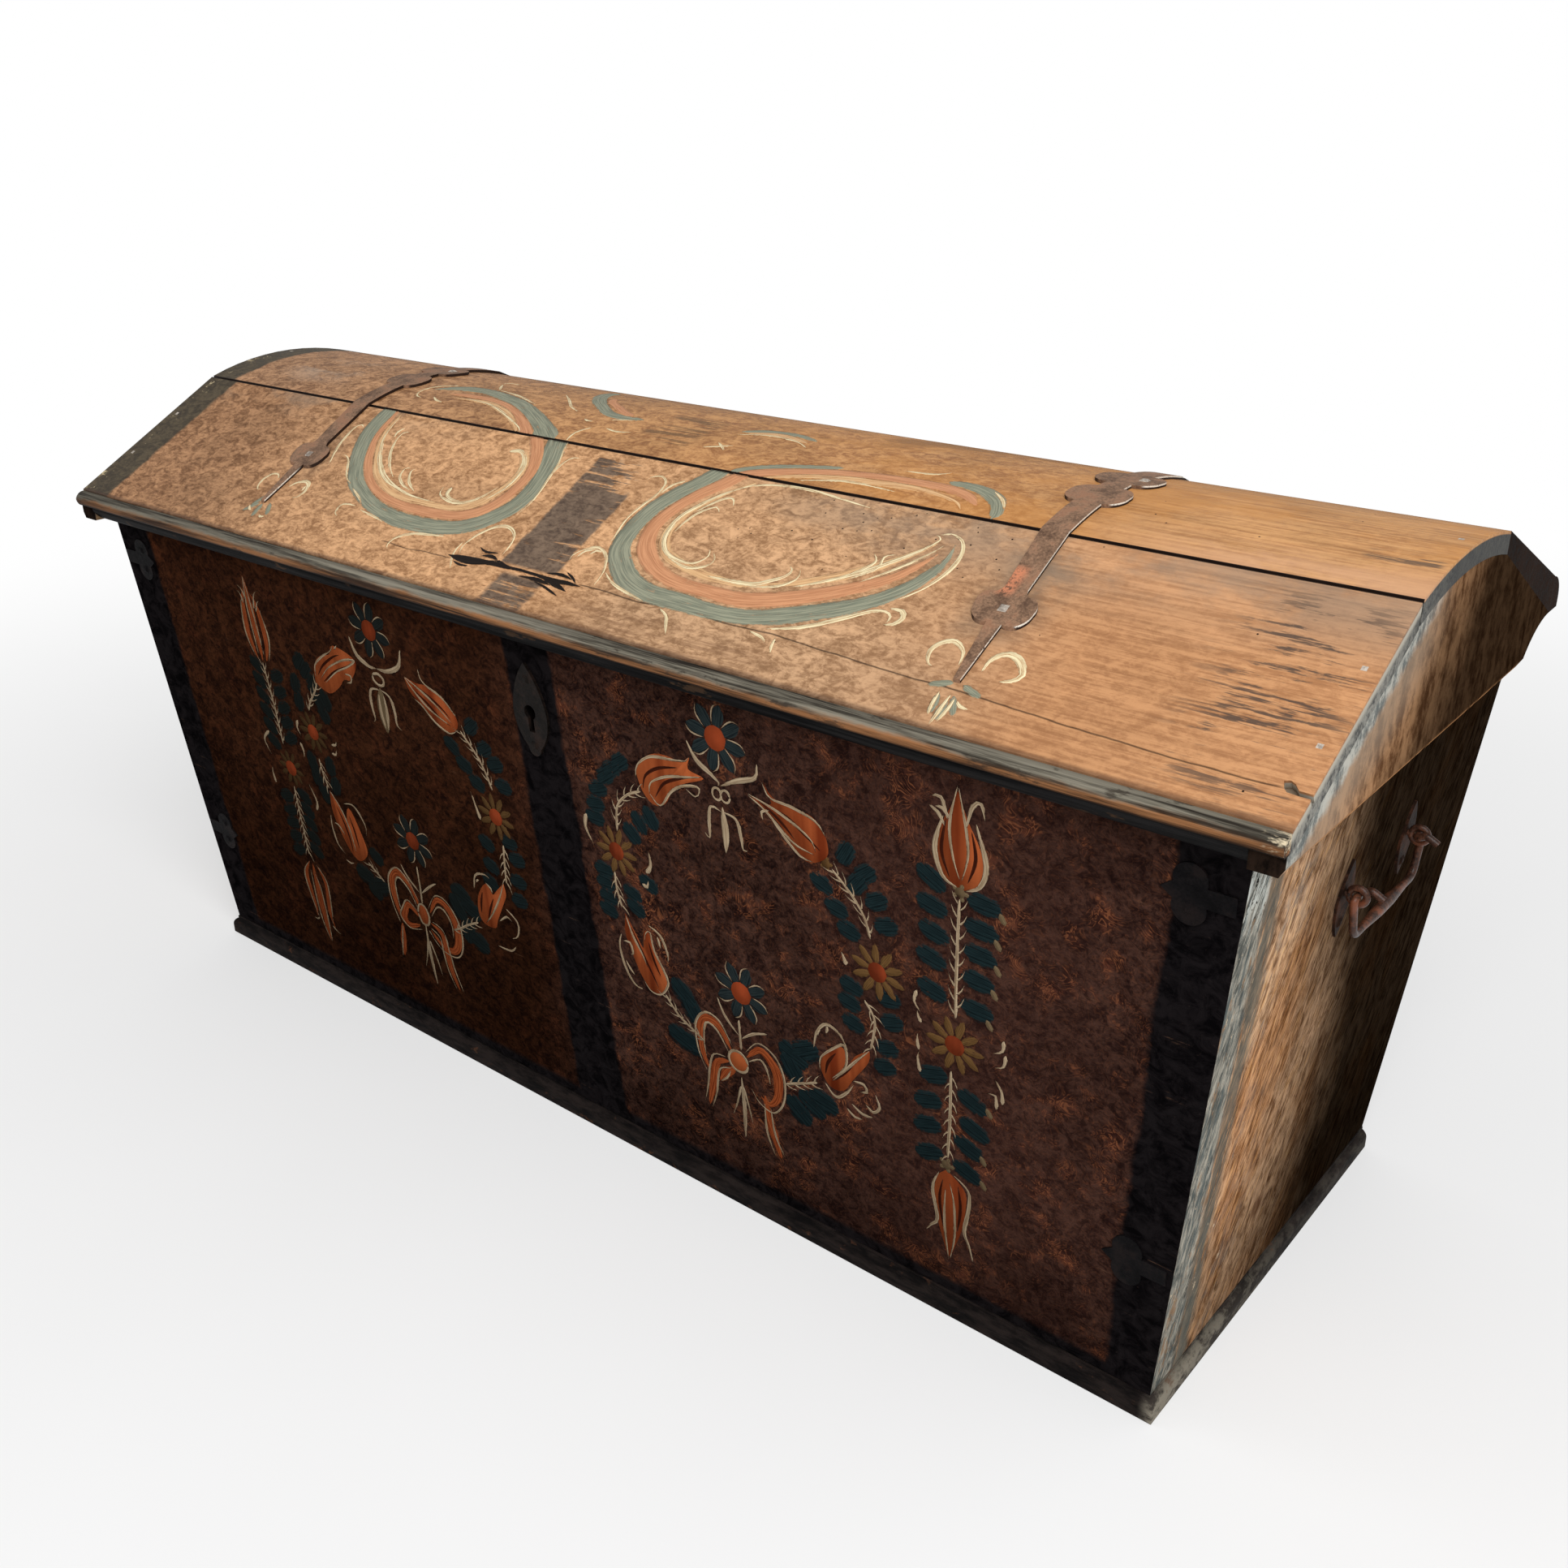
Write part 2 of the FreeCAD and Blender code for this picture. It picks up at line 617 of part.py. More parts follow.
def lid_boards():
    """Front, crown and back boards across the gables, and the two gables."""
    half_gap = LID_JOINT_GAP / 2
    front_end = JOINT[0] - half_gap
    crown_start = JOINT[0] + half_gap
    inner_foot = FOOT[0] + (BEAD_FOOT - FOOT[1] + SLOPE_INNER_DROP) / SLOPE_TILT
    front = prism_x([
        FOOT,
        (front_end, slope_height(front_end)),
        (front_end, slope_height(front_end, SLOPE_INNER_DROP)),
        (inner_foot, BEAD_FOOT),
        (FOOT[0], BEAD_FOOT),
    ], -LID_HALF, LID_HALF)
    crown_in = crown_height(CROWN_END[0], LID_BOARD)
    crown = curved_prism_x([
        ("start", (crown_start, crown_height(crown_start))),
        crown_arc(crown_start, CROWN_END[0]),
        ("line", (CROWN_END[0], crown_in)),
        crown_arc(CROWN_END[0], crown_start, LID_BOARD),
    ], -LID_HALF, LID_HALF)
    hinge_inner = EDGE_END[0] - HINGE_EDGE
    back = curved_prism_x([
        ("start", CROWN_END),
        ("line", BACK_END),
        ("arc", bowed_middle(BACK_END, EDGE_END, EDGE_SAG), EDGE_END),
        ("line", (EDGE_END[0], SEAT_HEIGHT)),
        ("line", (hinge_inner, SEAT_HEIGHT)),
        ("line", (CROWN_END[0], crown_in)),
    ], -LID_HALF, LID_HALF)
    toe_end = (hinge_inner - GABLE_TOE, GABLE_FOOT)
    toe = bowed_middle((hinge_inner, SEAT_HEIGHT), toe_end, -GABLE_TOE_SAG)
    nose = FOOT[0] - GABLE_NOSE
    gable = curved_prism_x([
        ("start", (nose, GABLE_FOOT)),
        ("line", (nose, BEAD_FOOT)),
        ("line", (inner_foot, BEAD_FOOT)),
        ("line", (JOINT[0], slope_height(JOINT[0], SLOPE_INNER_DROP))),
        ("line", (JOINT[0], crown_height(JOINT[0], LID_BOARD))),
        crown_arc(JOINT[0], CROWN_END[0], LID_BOARD),
        ("line", (hinge_inner, SEAT_HEIGHT)),
        ("arc", toe, toe_end),
    ], LID_HALF - GABLE_BOARD, LID_HALF)
    arris = curved_prism_y([
        ("start", (LID_HALF + GABLE_CHAMFER, GABLE_FOOT - GABLE_CHAMFER_RISE)),
        ("line", (LID_HALF + GABLE_CHAMFER, GABLE_FOOT + 2 * GABLE_CHAMFER_RISE)),
        ("line", (LID_HALF - 2 * GABLE_CHAMFER, GABLE_FOOT - GABLE_CHAMFER_RISE)),
    ], nose - OVERRUN, hinge_inner)
    gable = gable.cut(arris)
    return {
        "lid_front_board": front.cut(board_split()),
        "lid_crown_board": crown,
        "lid_back_board": back,
        "lid_gable_right": gable,
        "lid_gable_left": to_left(gable),
    }


def lid_mouldings():
    """The bead along the lid's front edge, and the ovolo lip under it between the gables."""
    nose = FOOT[0] - BEAD_PROUD
    top = FOOT[1] - BEAD_QUIRK
    middle = (top + BEAD_FOOT) / 2
    shoulder = (FOOT[0] - BEAD_QUIRK, top)
    heel = (FOOT[0] - LIP_PROUD - BEAD_QUIRK, BEAD_FOOT)
    bead = curved_prism_x([
        ("start", (FOOT[0], BEAD_FOOT)),
        ("line", (FOOT[0], top)),
        ("line", shoulder),
        ("arc", bowed_middle(shoulder, (nose, middle), -BEAD_QUIRK), (nose, middle)),
        ("arc", bowed_middle((nose, middle), heel, -BEAD_HOLLOW), heel),
    ], -LID_HALF, LID_HALF)
    out = FOOT[0] - LIP_PROUD
    fillet = (out, BEAD_FOOT - LIP_FOOT)
    foot = (LIP_BACK - LIP_FOOT, LIP_BOTTOM)
    half_lip = LID_HALF - GABLE_BOARD
    lip = curved_prism_x([
        ("start", (LIP_BACK, LIP_BOTTOM)),
        ("line", (LIP_BACK, BEAD_FOOT)),
        ("line", (out, BEAD_FOOT)),
        ("line", fillet),
        ("arc", bowed_middle(fillet, foot, -LIP_FOOT), foot),
    ], -half_lip, half_lip)
    return {"lid_bead": bead, "lid_lip": lip}


# Hinges

def barrel(x0, x1, radius):
    """A round bar along the hinge axis."""
    return Part.makeCylinder(radius, x1 - x0, Vector(x0, HINGE_Y, HINGE_Z), Vector(1, 0, 0))


def strap_plan(x):
    """Upright prism over a strap's plan, its tip drifting to one side down the slope."""
    def place(half, back):
        drift = STRAP_TIP_DRIFT * max(0.0, (SLOPE_RUN - back) / SLOPE_RUN)
        return Vector(x + half + drift, FOOT[0] + back, 0)

    end = BACK_MOST - FOOT[0] + OVERRUN
    right = STRAP_OUTLINE + [("line", (STRAP_HALF_WIDTH, end))]
    left = [("start", (-right[-1][-1][0], end))]
    for run, before in zip(right[:0:-1], right[-2::-1]):
        stops = tuple((-half, back) for half, back in run[-2:0:-1] + before[-1:])
        left.append((run[0],) + stops)
    outline = right + [("line", left[0][1])] + left[1:]
    return face_from(outline, place).extrude(Vector(0, 0, 2 * CASE_HEIGHT))


def hinge_strap(x):
    """A strap laid over the lid, with its middle knuckle at the hinge edge."""
    half = KNUCKLE_MIDDLE / 2
    reach = STRAP_REACH
    section = face_from(lid_outline(), lambda y, z: Vector(x - reach, y, z))
    across = Vector(2 * reach, 0, 0)
    over_seat = box(x - reach, x + reach, FOOT[0], BACK_MOST, HINGE_Z, 2 * CASE_HEIGHT)
    sheet = section.makeOffset2D(IRON).extrude(across).cut(section.extrude(across)).common(over_seat)
    strap = sheet.common(strap_plan(x))
    sides = [
        barrel(x - reach, x - half - KNUCKLE_GAP / 2, BARREL_RADIUS + BARREL_CLEARANCE),
        barrel(x + half + KNUCKLE_GAP / 2, x + reach, BARREL_RADIUS + BARREL_CLEARANCE),
    ]
    knuckle = barrel(x - half, x + half, BARREL_RADIUS)
    bore = barrel(x - half - OVERRUN, x + half + OVERRUN, PIN_RADIUS + PIN_FIT)
    return one([strap.cut(sides), knuckle]).cut(bore)


def leaf_zone(points):
    """A plate on the back of the case, from an outline of (x, z) points."""
    corners = [Vector(x, 0, z) for x, z in points]
    prism = Part.Face(Part.makePolygon(corners + corners[:1])).extrude(Vector(0, CASE_RIM_DEPTH, 0))
    return prism.common(to_back(front_zone(0, CASE_HEIGHT, -IRON, 0)))


def hinge_leaf(x):
    """A leaf nailed to the back of the case, with the two outer knuckles."""
    top = CASE_HEIGHT - BARREL_CLEARANCE
    half = KNUCKLE_MIDDLE / 2 + KNUCKLE_GAP / 2 + KNUCKLE_OUTER
    low = top - LEAF_LENGTH
    narrow = LEAF_WIDTH / 2
    plate = leaf_zone([
        (x - half, top), (x + half, top), (x + half, top - LEAF_WIDTH),
        (x + narrow, top - 2 * LEAF_WIDTH), (x + narrow, low + LEAF_WIDTH), (x, low),
        (x - narrow, low + LEAF_WIDTH), (x - narrow, top - 2 * LEAF_WIDTH), (x - half, top - LEAF_WIDTH),
    ])
    room = barrel(x - KNUCKLE_MIDDLE / 2 - KNUCKLE_GAP / 2, x + KNUCKLE_MIDDLE / 2 + KNUCKLE_GAP / 2,
                  BARREL_RADIUS + BARREL_CLEARANCE)
    inner = KNUCKLE_MIDDLE / 2 + KNUCKLE_GAP / 2
    knuckles = [barrel(x - half, x - inner, BARREL_RADIUS), barrel(x + inner, x + half, BARREL_RADIUS)]
    wall = case_block(0, CASE_HEIGHT)
    bore = barrel(x - half - OVERRUN, x + half + OVERRUN, PIN_RADIUS + PIN_FIT)
    leaf = one([plate.cut(room)] + knuckles)
    return leaf.cut([wall, bore])


def hinge_pin(x):
    """A pin with two riveted heads outside the knuckles."""
    half = KNUCKLE_MIDDLE / 2 + KNUCKLE_GAP / 2 + KNUCKLE_OUTER
    shaft = barrel(x - half - PIN_HEAD_HEIGHT, x + half + PIN_HEAD_HEIGHT, PIN_RADIUS)
    heads = [barrel(x - half - PIN_HEAD_HEIGHT, x - half, PIN_HEAD_RADIUS),
             barrel(x + half, x + half + PIN_HEAD_HEIGHT, PIN_HEAD_RADIUS)]
    return one([shaft] + heads)


# Lock

KEYHOLE_Z = CASE_HEIGHT - KEYHOLE_BELOW_RIM
BOLT_Z = KEYHOLE_Z + BOLT_RISE
LOCK_FACE = -half_depth(BOLT_Z, CASE_BOARD + IRON)
BOLT_Y = LOCK_FACE + BOLT_STAND
HASP_X = LOCK_OFFSET + BOLT_NOSE + HASP_GAP


def keyhole(y0, y1):
    """The keyhole: a round with a slot under it."""
    round_part = Part.makeCylinder(KEYHOLE_RADIUS, y1 - y0, Vector(LOCK_OFFSET, y0, KEYHOLE_Z),
                                   Vector(0, 1, 0))
    half = KEYHOLE_SLOT / 2
    slot = box(LOCK_OFFSET - half, LOCK_OFFSET + half, y0, y1, KEYHOLE_Z - KEYHOLE_DROP, KEYHOLE_Z)
    return one([round_part, slot])


def escutcheon():
    """An almond plate with a point above and a rounded foot."""
    top = (LOCK_OFFSET, KEYHOLE_Z + ESCUTCHEON_ABOVE)
    right = (LOCK_OFFSET + ESCUTCHEON_HALF, KEYHOLE_Z)
    left = (LOCK_OFFSET - ESCUTCHEON_HALF, KEYHOLE_Z)
    low = KEYHOLE_Z - ESCUTCHEON_BELOW
    foot_right = (LOCK_OFFSET + ESCUTCHEON_FOOT, low + ESCUTCHEON_FOOT)
    foot_left = (LOCK_OFFSET - ESCUTCHEON_FOOT, low + ESCUTCHEON_FOOT)
    outline = [
        ("start", top),
        ("arc", bowed_middle(top, right, ESCUTCHEON_SAG), right),
        ("arc", bowed_middle(right, foot_right, ESCUTCHEON_SAG), foot_right),
        ("arc", (LOCK_OFFSET, low), foot_left),
        ("arc", bowed_middle(foot_left, left, ESCUTCHEON_SAG), left),
        ("arc", bowed_middle(left, top, ESCUTCHEON_SAG), top),
    ]
    prism = curved_prism_y(outline, -CASE_RIM_DEPTH, 0)
    return prism.common(front_zone(0, CASE_HEIGHT, -IRON, 0))


def lock_plate():
    """The plate inside the front that carries the lock."""
    x0 = LOCK_OFFSET - LOCK_PLATE_WIDTH / 2
    x1 = LOCK_OFFSET + LOCK_PLATE_WIDTH / 2
    plate = box(x0, x1, -CASE_RIM_DEPTH, 0, KEYHOLE_Z - LOCK_PLATE_BOTTOM, KEYHOLE_Z + LOCK_PLATE_TOP)
    return plate.common(front_zone(0, CASE_HEIGHT, CASE_BOARD, CASE_BOARD + IRON))


def lock_bolt():
    """The bolt, drawn back, with a notch for the key's bit."""
    x1 = LOCK_OFFSET + BOLT_NOSE
    bar = box(x1 - BOLT_LENGTH, x1, BOLT_Y, BOLT_Y + BOLT_THICK, BOLT_Z, BOLT_Z + BOLT_HEIGHT)
    talon = box(LOCK_OFFSET - TALON_WIDTH, LOCK_OFFSET, BOLT_Y - OVERRUN,
                BOLT_Y + BOLT_THICK + OVERRUN, BOLT_Z - OVERRUN, BOLT_Z + TALON_DEPTH)
    return bar.cut(talon)


def lock_guides():
    """Three staples on the plate: two round the bolt and a keeper beyond the hasp."""
    first = LOCK_OFFSET + BOLT_NOSE - BOLT_LENGTH + GUIDE_INSET
    second = LOCK_OFFSET + BOLT_NOSE - GUIDE_WIDTH - HASP_GAP
    keeper = HASP_X + HASP_THICK + HASP_GAP
    front = front_zone(0, CASE_HEIGHT, -OVERRUN, CASE_BOARD + IRON)
    room = box(LOCK_OFFSET - LOCK_PLATE_WIDTH, LOCK_OFFSET + LOCK_PLATE_WIDTH, BOLT_Y - BOLT_FIT,
               BOLT_Y + BOLT_THICK + BOLT_FIT, BOLT_Z - BOLT_FIT, BOLT_Z + BOLT_HEIGHT + BOLT_FIT)
    staples = []
    for x in (first, second, keeper):
        block = box(x, x + GUIDE_WIDTH, LOCK_FACE - OVERRUN, BOLT_Y + BOLT_THICK + BOLT_FIT + GUIDE_WALL,
                    BOLT_Z - BOLT_FIT - GUIDE_WALL, BOLT_Z + BOLT_HEIGHT + BOLT_FIT + GUIDE_WALL)
        staples.append(block.cut([front, room]))
    return staples


def lock_spring():
    """A bowed leaf spring that stands on the plate and bears on the bolt."""
    x0 = LOCK_OFFSET - SPRING_SPAN
    x1 = LOCK_OFFSET
    low = BOLT_Z + BOLT_HEIGHT + BOLT_FIT
    high = low + SPRING_RISE
    outline = [
        ("start", (x0, high)),
        ("arc", bowed_middle((x0, high), (x1, low), -SPRING_SAG), (x1, low)),
        ("line", (x1, low + SPRING_THICK)),
        ("arc", bowed_middle((x1, low + SPRING_THICK), (x0, high + SPRING_THICK), SPRING_SAG),
         (x0, high + SPRING_THICK)),
    ]
    strip = curved_prism_y(outline, LOCK_FACE - OVERRUN, BOLT_Y + BOLT_THICK)
    return strip.cut(front_zone(0, CASE_HEIGHT, -OVERRUN, CASE_BOARD + IRON))


def lid_hasp():
    """The hasp under the lid's front board: a nailed flange and a tongue with an eye."""
    eye_front = BOLT_Y - HASP_FIT
    eye_back = BOLT_Y + BOLT_THICK + HASP_FIT
    low = BOLT_Z - HASP_FIT
    y0 = eye_front - HASP_WALL
    y1 = eye_back + HASP_WALL
    tongue = prism_x([
        (y0, low - HASP_WALL), (y1, low - HASP_WALL),
        (y1, slope_height(y1, SLOPE_INNER_DROP)), (y0, slope_height(y0, SLOPE_INNER_DROP)),
    ], HASP_X, HASP_X + HASP_THICK)
    eye = box(HASP_X - OVERRUN, HASP_X + HASP_THICK + OVERRUN, eye_front, eye_back,
              low, BOLT_Z + BOLT_HEIGHT + HASP_FIT)
    f0 = y0 - HASP_WALL
    f1 = f0 + HASP_FLANGE_LENGTH
    x0 = HASP_X + HASP_THICK / 2 - HASP_FLANGE_WIDTH / 2
    flange = prism_x([
        (f0, slope_height(f0, SLOPE_INNER_DROP)), (f1, slope_height(f1, SLOPE_INNER_DROP)),
        (f1, slope_height(f1, SLOPE_INNER_DROP + HASP_THICK)),
        (f0, slope_height(f0, SLOPE_INNER_DROP + HASP_THICK)),
    ], x0, x0 + HASP_FLANGE_WIDTH)
    return one([tongue.cut(eye), flange])


# Handles

EYE_Z = CASE_HEIGHT - HANDLE_BELOW_RIM
EYE_X = half_width(EYE_Z, -PLATE_THICK) + EYE_RADIUS + EYE_BAR
EYE_PLACES = [HANDLE_SET_BACK - EYE_SPACING / 2, HANDLE_SET_BACK + EYE_SPACING / 2]


def handle_eye(y):
    """An eye bolt: a ring whose hole runs front to back, and a stem through the side."""
    centre = Vector(EYE_X, y, EYE_Z)
    ring_part = Part.makeTorus(EYE_RADIUS, EYE_BAR, centre, Vector(0, 1, 0))
    inner = half_width(EYE_Z, CASE_BOARD) - CLENCH
    stem = Part.makeCylinder(EYE_BAR, EYE_X - EYE_RADIUS - inner, Vector(inner, y, EYE_Z), Vector(1, 0, 0))
    return one([ring_part, stem])


def handle_plate(y):
    """A leaf plate under an eye, pointed above and below."""
    y = y + PLATE_SET_BACK
    top = (y, EYE_Z + PLATE_ABOVE)
    foot = (y, EYE_Z - PLATE_BELOW)
    middle_z = (top[1] + foot[1]) / 2
    front = (y - PLATE_HALF_WIDTH, middle_z)
    back = (y + PLATE_HALF_WIDTH, middle_z)
    outline = [
        ("start", top),
        ("arc", bowed_middle(top, back, PLATE_SAG), back),
        ("arc", bowed_middle(back, foot, PLATE_SAG), foot),
        ("arc", bowed_middle(foot, front, PLATE_SAG), front),
        ("arc", bowed_middle(front, top, PLATE_SAG), top),
    ]
    prism = curved_prism_x(outline, 0, CASE_RIM_WIDTH)
    return prism.common(side_zone(0, CASE_HEIGHT, -PLATE_THICK, 0))


def rounded_path(points, radii):
    """Straight runs through points, joined by tangent arcs of the given radii."""
    edges = []
    here = points[0]
    for before, corner, after, radius in zip(points, points[1:], points[2:], radii):
        back = (before - corner).normalize()
        onward = (after - corner).normalize()
        half = back.getAngle(onward) / 2
        step = radius / math.tan(half)
        start = corner + back * step
        end = corner + onward * step
        bisector = (back + onward).normalize()
        centre = corner + bisector * (radius / math.sin(half))
        edges.append(Part.makeLine(here, start))
        edges.append(Part.Arc(start, centre - bisector * radius, end).toShape())
        here = end
    edges.append(Part.makeLine(here, points[-1]))
    return Part.Wire(edges)


def handle_bail():
    """A round bail that hangs in the eyes, its tails turned out beyond them."""
    y0, y1 = EYE_PLACES
    top = EYE_Z
    low = EYE_Z - BAIL_DROP
    outer = (y0 - BAIL_REACH, y1 + BAIL_REACH)
    crest = EYE_X + TAIL_LENGTH * TAIL_CREST_SHARE
    end = EYE_X + TAIL_LENGTH
    points = [
        Vector(end, y0 + TAIL_INSET, top + TAIL_RISE - TAIL_DROOP),
        Vector(crest, y0 + TAIL_INSET, top + TAIL_RISE),
        Vector(EYE_X, y0 + TAIL_INSET, top),
        Vector(EYE_X, outer[0], top),
        Vector(EYE_X, outer[0] + BAIL_SPLAY, low),
        Vector(EYE_X, outer[1] - BAIL_SPLAY, low),
        Vector(EYE_X, outer[1], top),
        Vector(EYE_X, y1 - TAIL_INSET, top),
        Vector(crest, y1 - TAIL_INSET, top + TAIL_RISE),
        Vector(end, y1 - TAIL_INSET, top + TAIL_RISE - TAIL_DROOP),
    ]
    bends = [TAIL_BEND, TAIL_BEND, TAIL_BEND, BAIL_BEND]
    radii = bends + bends[::-1]
    path = rounded_path(points, radii)
    circle = Part.Wire(Part.makeCircle(BAIL_BAR, points[0], points[1] - points[0]))
    bar = path.makePipeShell([circle], True, False)
    grip_from = Vector(EYE_X, outer[0] + BAIL_SPLAY + GRIP_INSET, low)
    grip_to = Vector(EYE_X, outer[1] - BAIL_SPLAY - GRIP_INSET, low)
    onward = Vector(0, 1, 0)
    middle = (grip_to - grip_from).Length - 2 * GRIP_TAPER
    grip = [
        Part.makeCone(BAIL_BAR, BAIL_GRIP, GRIP_TAPER, grip_from, onward),
        Part.makeCylinder(BAIL_GRIP, middle, grip_from + onward * GRIP_TAPER, onward),
        Part.makeCone(BAIL_BAR, BAIL_GRIP, GRIP_TAPER, grip_to, -onward),
    ]
    return one([bar] + grip)


# Corner irons

def corner_iron(z):
    """A two-lobed iron on the front, with a point inwards and a neck to the corner."""
    edge = half_width(z) - CORNER_EDGE
    tip = edge - CORNER_REACH
    lobe = tip + CORNER_POINT
    half = CORNER_NECK / 2
    neck = box(lobe, edge, -CASE_RIM_DEPTH, 0, z - half, z + half)
    corners = [Vector(tip, 0, z), Vector(lobe, 0, z - CORNER_SPREAD), Vector(lobe, 0, z + CORNER_SPREAD)]
    point = Part.Face(Part.makePolygon(corners + corners[:1])).extrude(Vector(0, -CASE_RIM_DEPTH, 0))
    lobes = []
    for side in (-1, 1):
        place = Vector(lobe + CORNER_LOBE / 2, 0, z + side * CORNER_SPREAD)
        lobes.append(Part.makeCylinder(CORNER_LOBE, CASE_RIM_DEPTH, place, Vector(0, -1, 0)))
    return one([neck, point] + lobes).common(front_zone(0, CASE_HEIGHT, -CORNER_IRON, 0))


def nail_groups():
    """Every group of nails, with the pieces that each group is driven through."""
    irons = {}
    leaf_drops = [2 * LEAF_WIDTH, LEAF_LENGTH / 2, LEAF_LENGTH - LEAF_WIDTH]
    strap_places = STRAP_NAILS + [(0.0, LID_DEPTH - STRAP_REAR_NAIL)]
    for side, x in HINGE_PLACES.items():
        irons["hinge_strap_nails_" + side] = [strap_nail(x + off, back) for off, back in strap_places]
        leaf = [to_back(front_nail(x, CASE_HEIGHT - drop, IRON)) for drop in leaf_drops]
        irons["hinge_leaf_nails_" + side] = leaf
    heights = (KEYHOLE_Z + ESCUTCHEON_NAIL_ABOVE, KEYHOLE_Z - ESCUTCHEON_NAIL_BELOW)
    irons["escutcheon_nails"] = [front_nail(LOCK_OFFSET, z, IRON) for z in heights]
    plate = []
    for y in EYE_PLACES:
        plate.append(side_nail(y + PLATE_SET_BACK, EYE_Z - PLATE_NAIL_BELOW, PLATE_THICK))
    irons["handle_plate_nails_right"] = plate
    irons["handle_plate_nails_left"] = [to_left(piece) for piece in plate]
    corner = []
    for z in (CASE_HEIGHT - CORNER_UPPER_BELOW_RIM, CORNER_LOWER_ABOVE_FOOT):
        x = half_width(z) - CORNER_EDGE - CORNER_REACH + CORNER_POINT + CORNER_LOBE / 2
        for side in (-1, 1):
            corner.append(front_nail(x, z + side * CORNER_SPREAD, CORNER_IRON))
    irons["corner_iron_nails"] = corner + [to_left(piece) for piece in corner]
    middle = LID_HALF - GABLE_BOARD / 2
    places = [FOOT[0] + share * SLOPE_RUN for share in SLOPE_BRAD_SHARES] + [CROWN_CENTRE[0]]
    places += [CROWN_END[0] + share * BACK_RUN for share in BACK_BRAD_SHARES]
    brads = [lid_brad(middle, y) for y in places]
    irons["lid_brads"] = brads + [to_left(piece) for piece in brads]
    return irons


def build():
    """Every node of the chest, by name."""
    nodes = {}
    nodes.update(case_boards())
    nodes.update(bottom_boards())
    nodes.update(base_mouldings())
    till = till_boards()
    for name in ("case_front", "case_back", "case_side_left"):
        nodes[name] = nodes[name].cut(list(till.values()))
    nodes.update(till)
    nodes.update(lid_boards())
    nodes.update(lid_mouldings())
    for side, x in HINGE_PLACES.items():
        nodes["hinge_strap_" + side] = hinge_strap(x)
        nodes["hinge_leaf_" + side] = hinge_leaf(x)
        nodes["hinge_pin_" + side] = hinge_pin(x)
    hole = keyhole(-CASE_RIM_DEPTH, LOCK_FACE + IRON)
    nodes["escutcheon"] = escutcheon().cut(hole)
    nodes["lock_plate"] = lock_plate().cut(hole)
    nodes["case_front"] = nodes["case_front"].cut(hole)
    nodes["lock_bolt"] = lock_bolt()
    nodes["lock_guides"] = Part.Compound(lock_guides())
    nodes["lock_spring"] = lock_spring()
    nodes["lid_hasp"] = lid_hasp()
    eyes = [handle_eye(y) for y in EYE_PLACES]
    plates = [handle_plate(y).cut(eyes) for y in EYE_PLACES]
    nodes["case_side_right"] = nodes["case_side_right"].cut(eyes)
    nodes["case_side_left"] = nodes["case_side_left"].cut([to_left(eye) for eye in eyes])
    nodes["handle_eyes_right"] = Part.Compound(eyes)
    nodes["handle_plates_right"] = Part.Compound(plates)
    nodes["handle_bail_right"] = handle_bail()
    for name in ("handle_eyes", "handle_plates", "handle_bail"):
        nodes[name + "_left"] = to_left(nodes[name + "_right"])
    upper = CASE_HEIGHT - CORNER_UPPER_BELOW_RIM
    for name, z in (("upper", upper), ("lower", CORNER_LOWER_ABOVE_FOOT)):
        nodes["corner_iron_" + name + "_right"] = corner_iron(z)
        nodes["corner_iron_" + name + "_left"] = to_left(corner_iron(z))
    lid = ["lid_front_board", "lid_crown_board", "lid_back_board"]
    carriers = {
        "escutcheon_nails": ["escutcheon", "case_front"],
        "corner_iron_nails": [name for name in nodes if "corner_iron" in name] + ["case_front"],
        "lid_brads": lid + ["lid_gable_right", "lid_gable_left"],
    }
    for side in HINGE_PLACES:
        carriers["hinge_strap_nails_" + side] = lid + ["hinge_strap_" + side]
        carriers["hinge_leaf_nails_" + side] = ["hinge_leaf_" + side, "case_back"]
        carriers["handle_plate_nails_" + side] = ["handle_plates_" + side, "case_side_" + side]
    for group, nails in nail_groups().items():
        for carrier in carriers[group]:
            nodes[carrier] = nodes[carrier].cut(nails)
        nodes[group] = Part.Compound(nails)
    return nodes


for node_name, node_shape in build().items():
    moved = node_shape.translated(Vector(0, SHIFT_Y, 0))
    moved.exportStep("parts/" + node_name + ".step")
    box_now = moved.BoundBox
    print(f"{node_name:28s} solids {len(moved.Solids)} valid {moved.isValid()} "
          f"volume {moved.Volume / 1000:9.2f} cm3 "
          f"x {box_now.XMin:7.1f} {box_now.XMax:7.1f} y {box_now.YMin:7.1f} {box_now.YMax:7.1f} "
          f"z {box_now.ZMin:6.1f} {box_now.ZMax:6.1f}")
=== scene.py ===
"""Dresses the painted bridal trunk: wood and iron finishes, brushwork, light and camera."""

import logging
import math
from dataclasses import dataclass
from enum import Enum

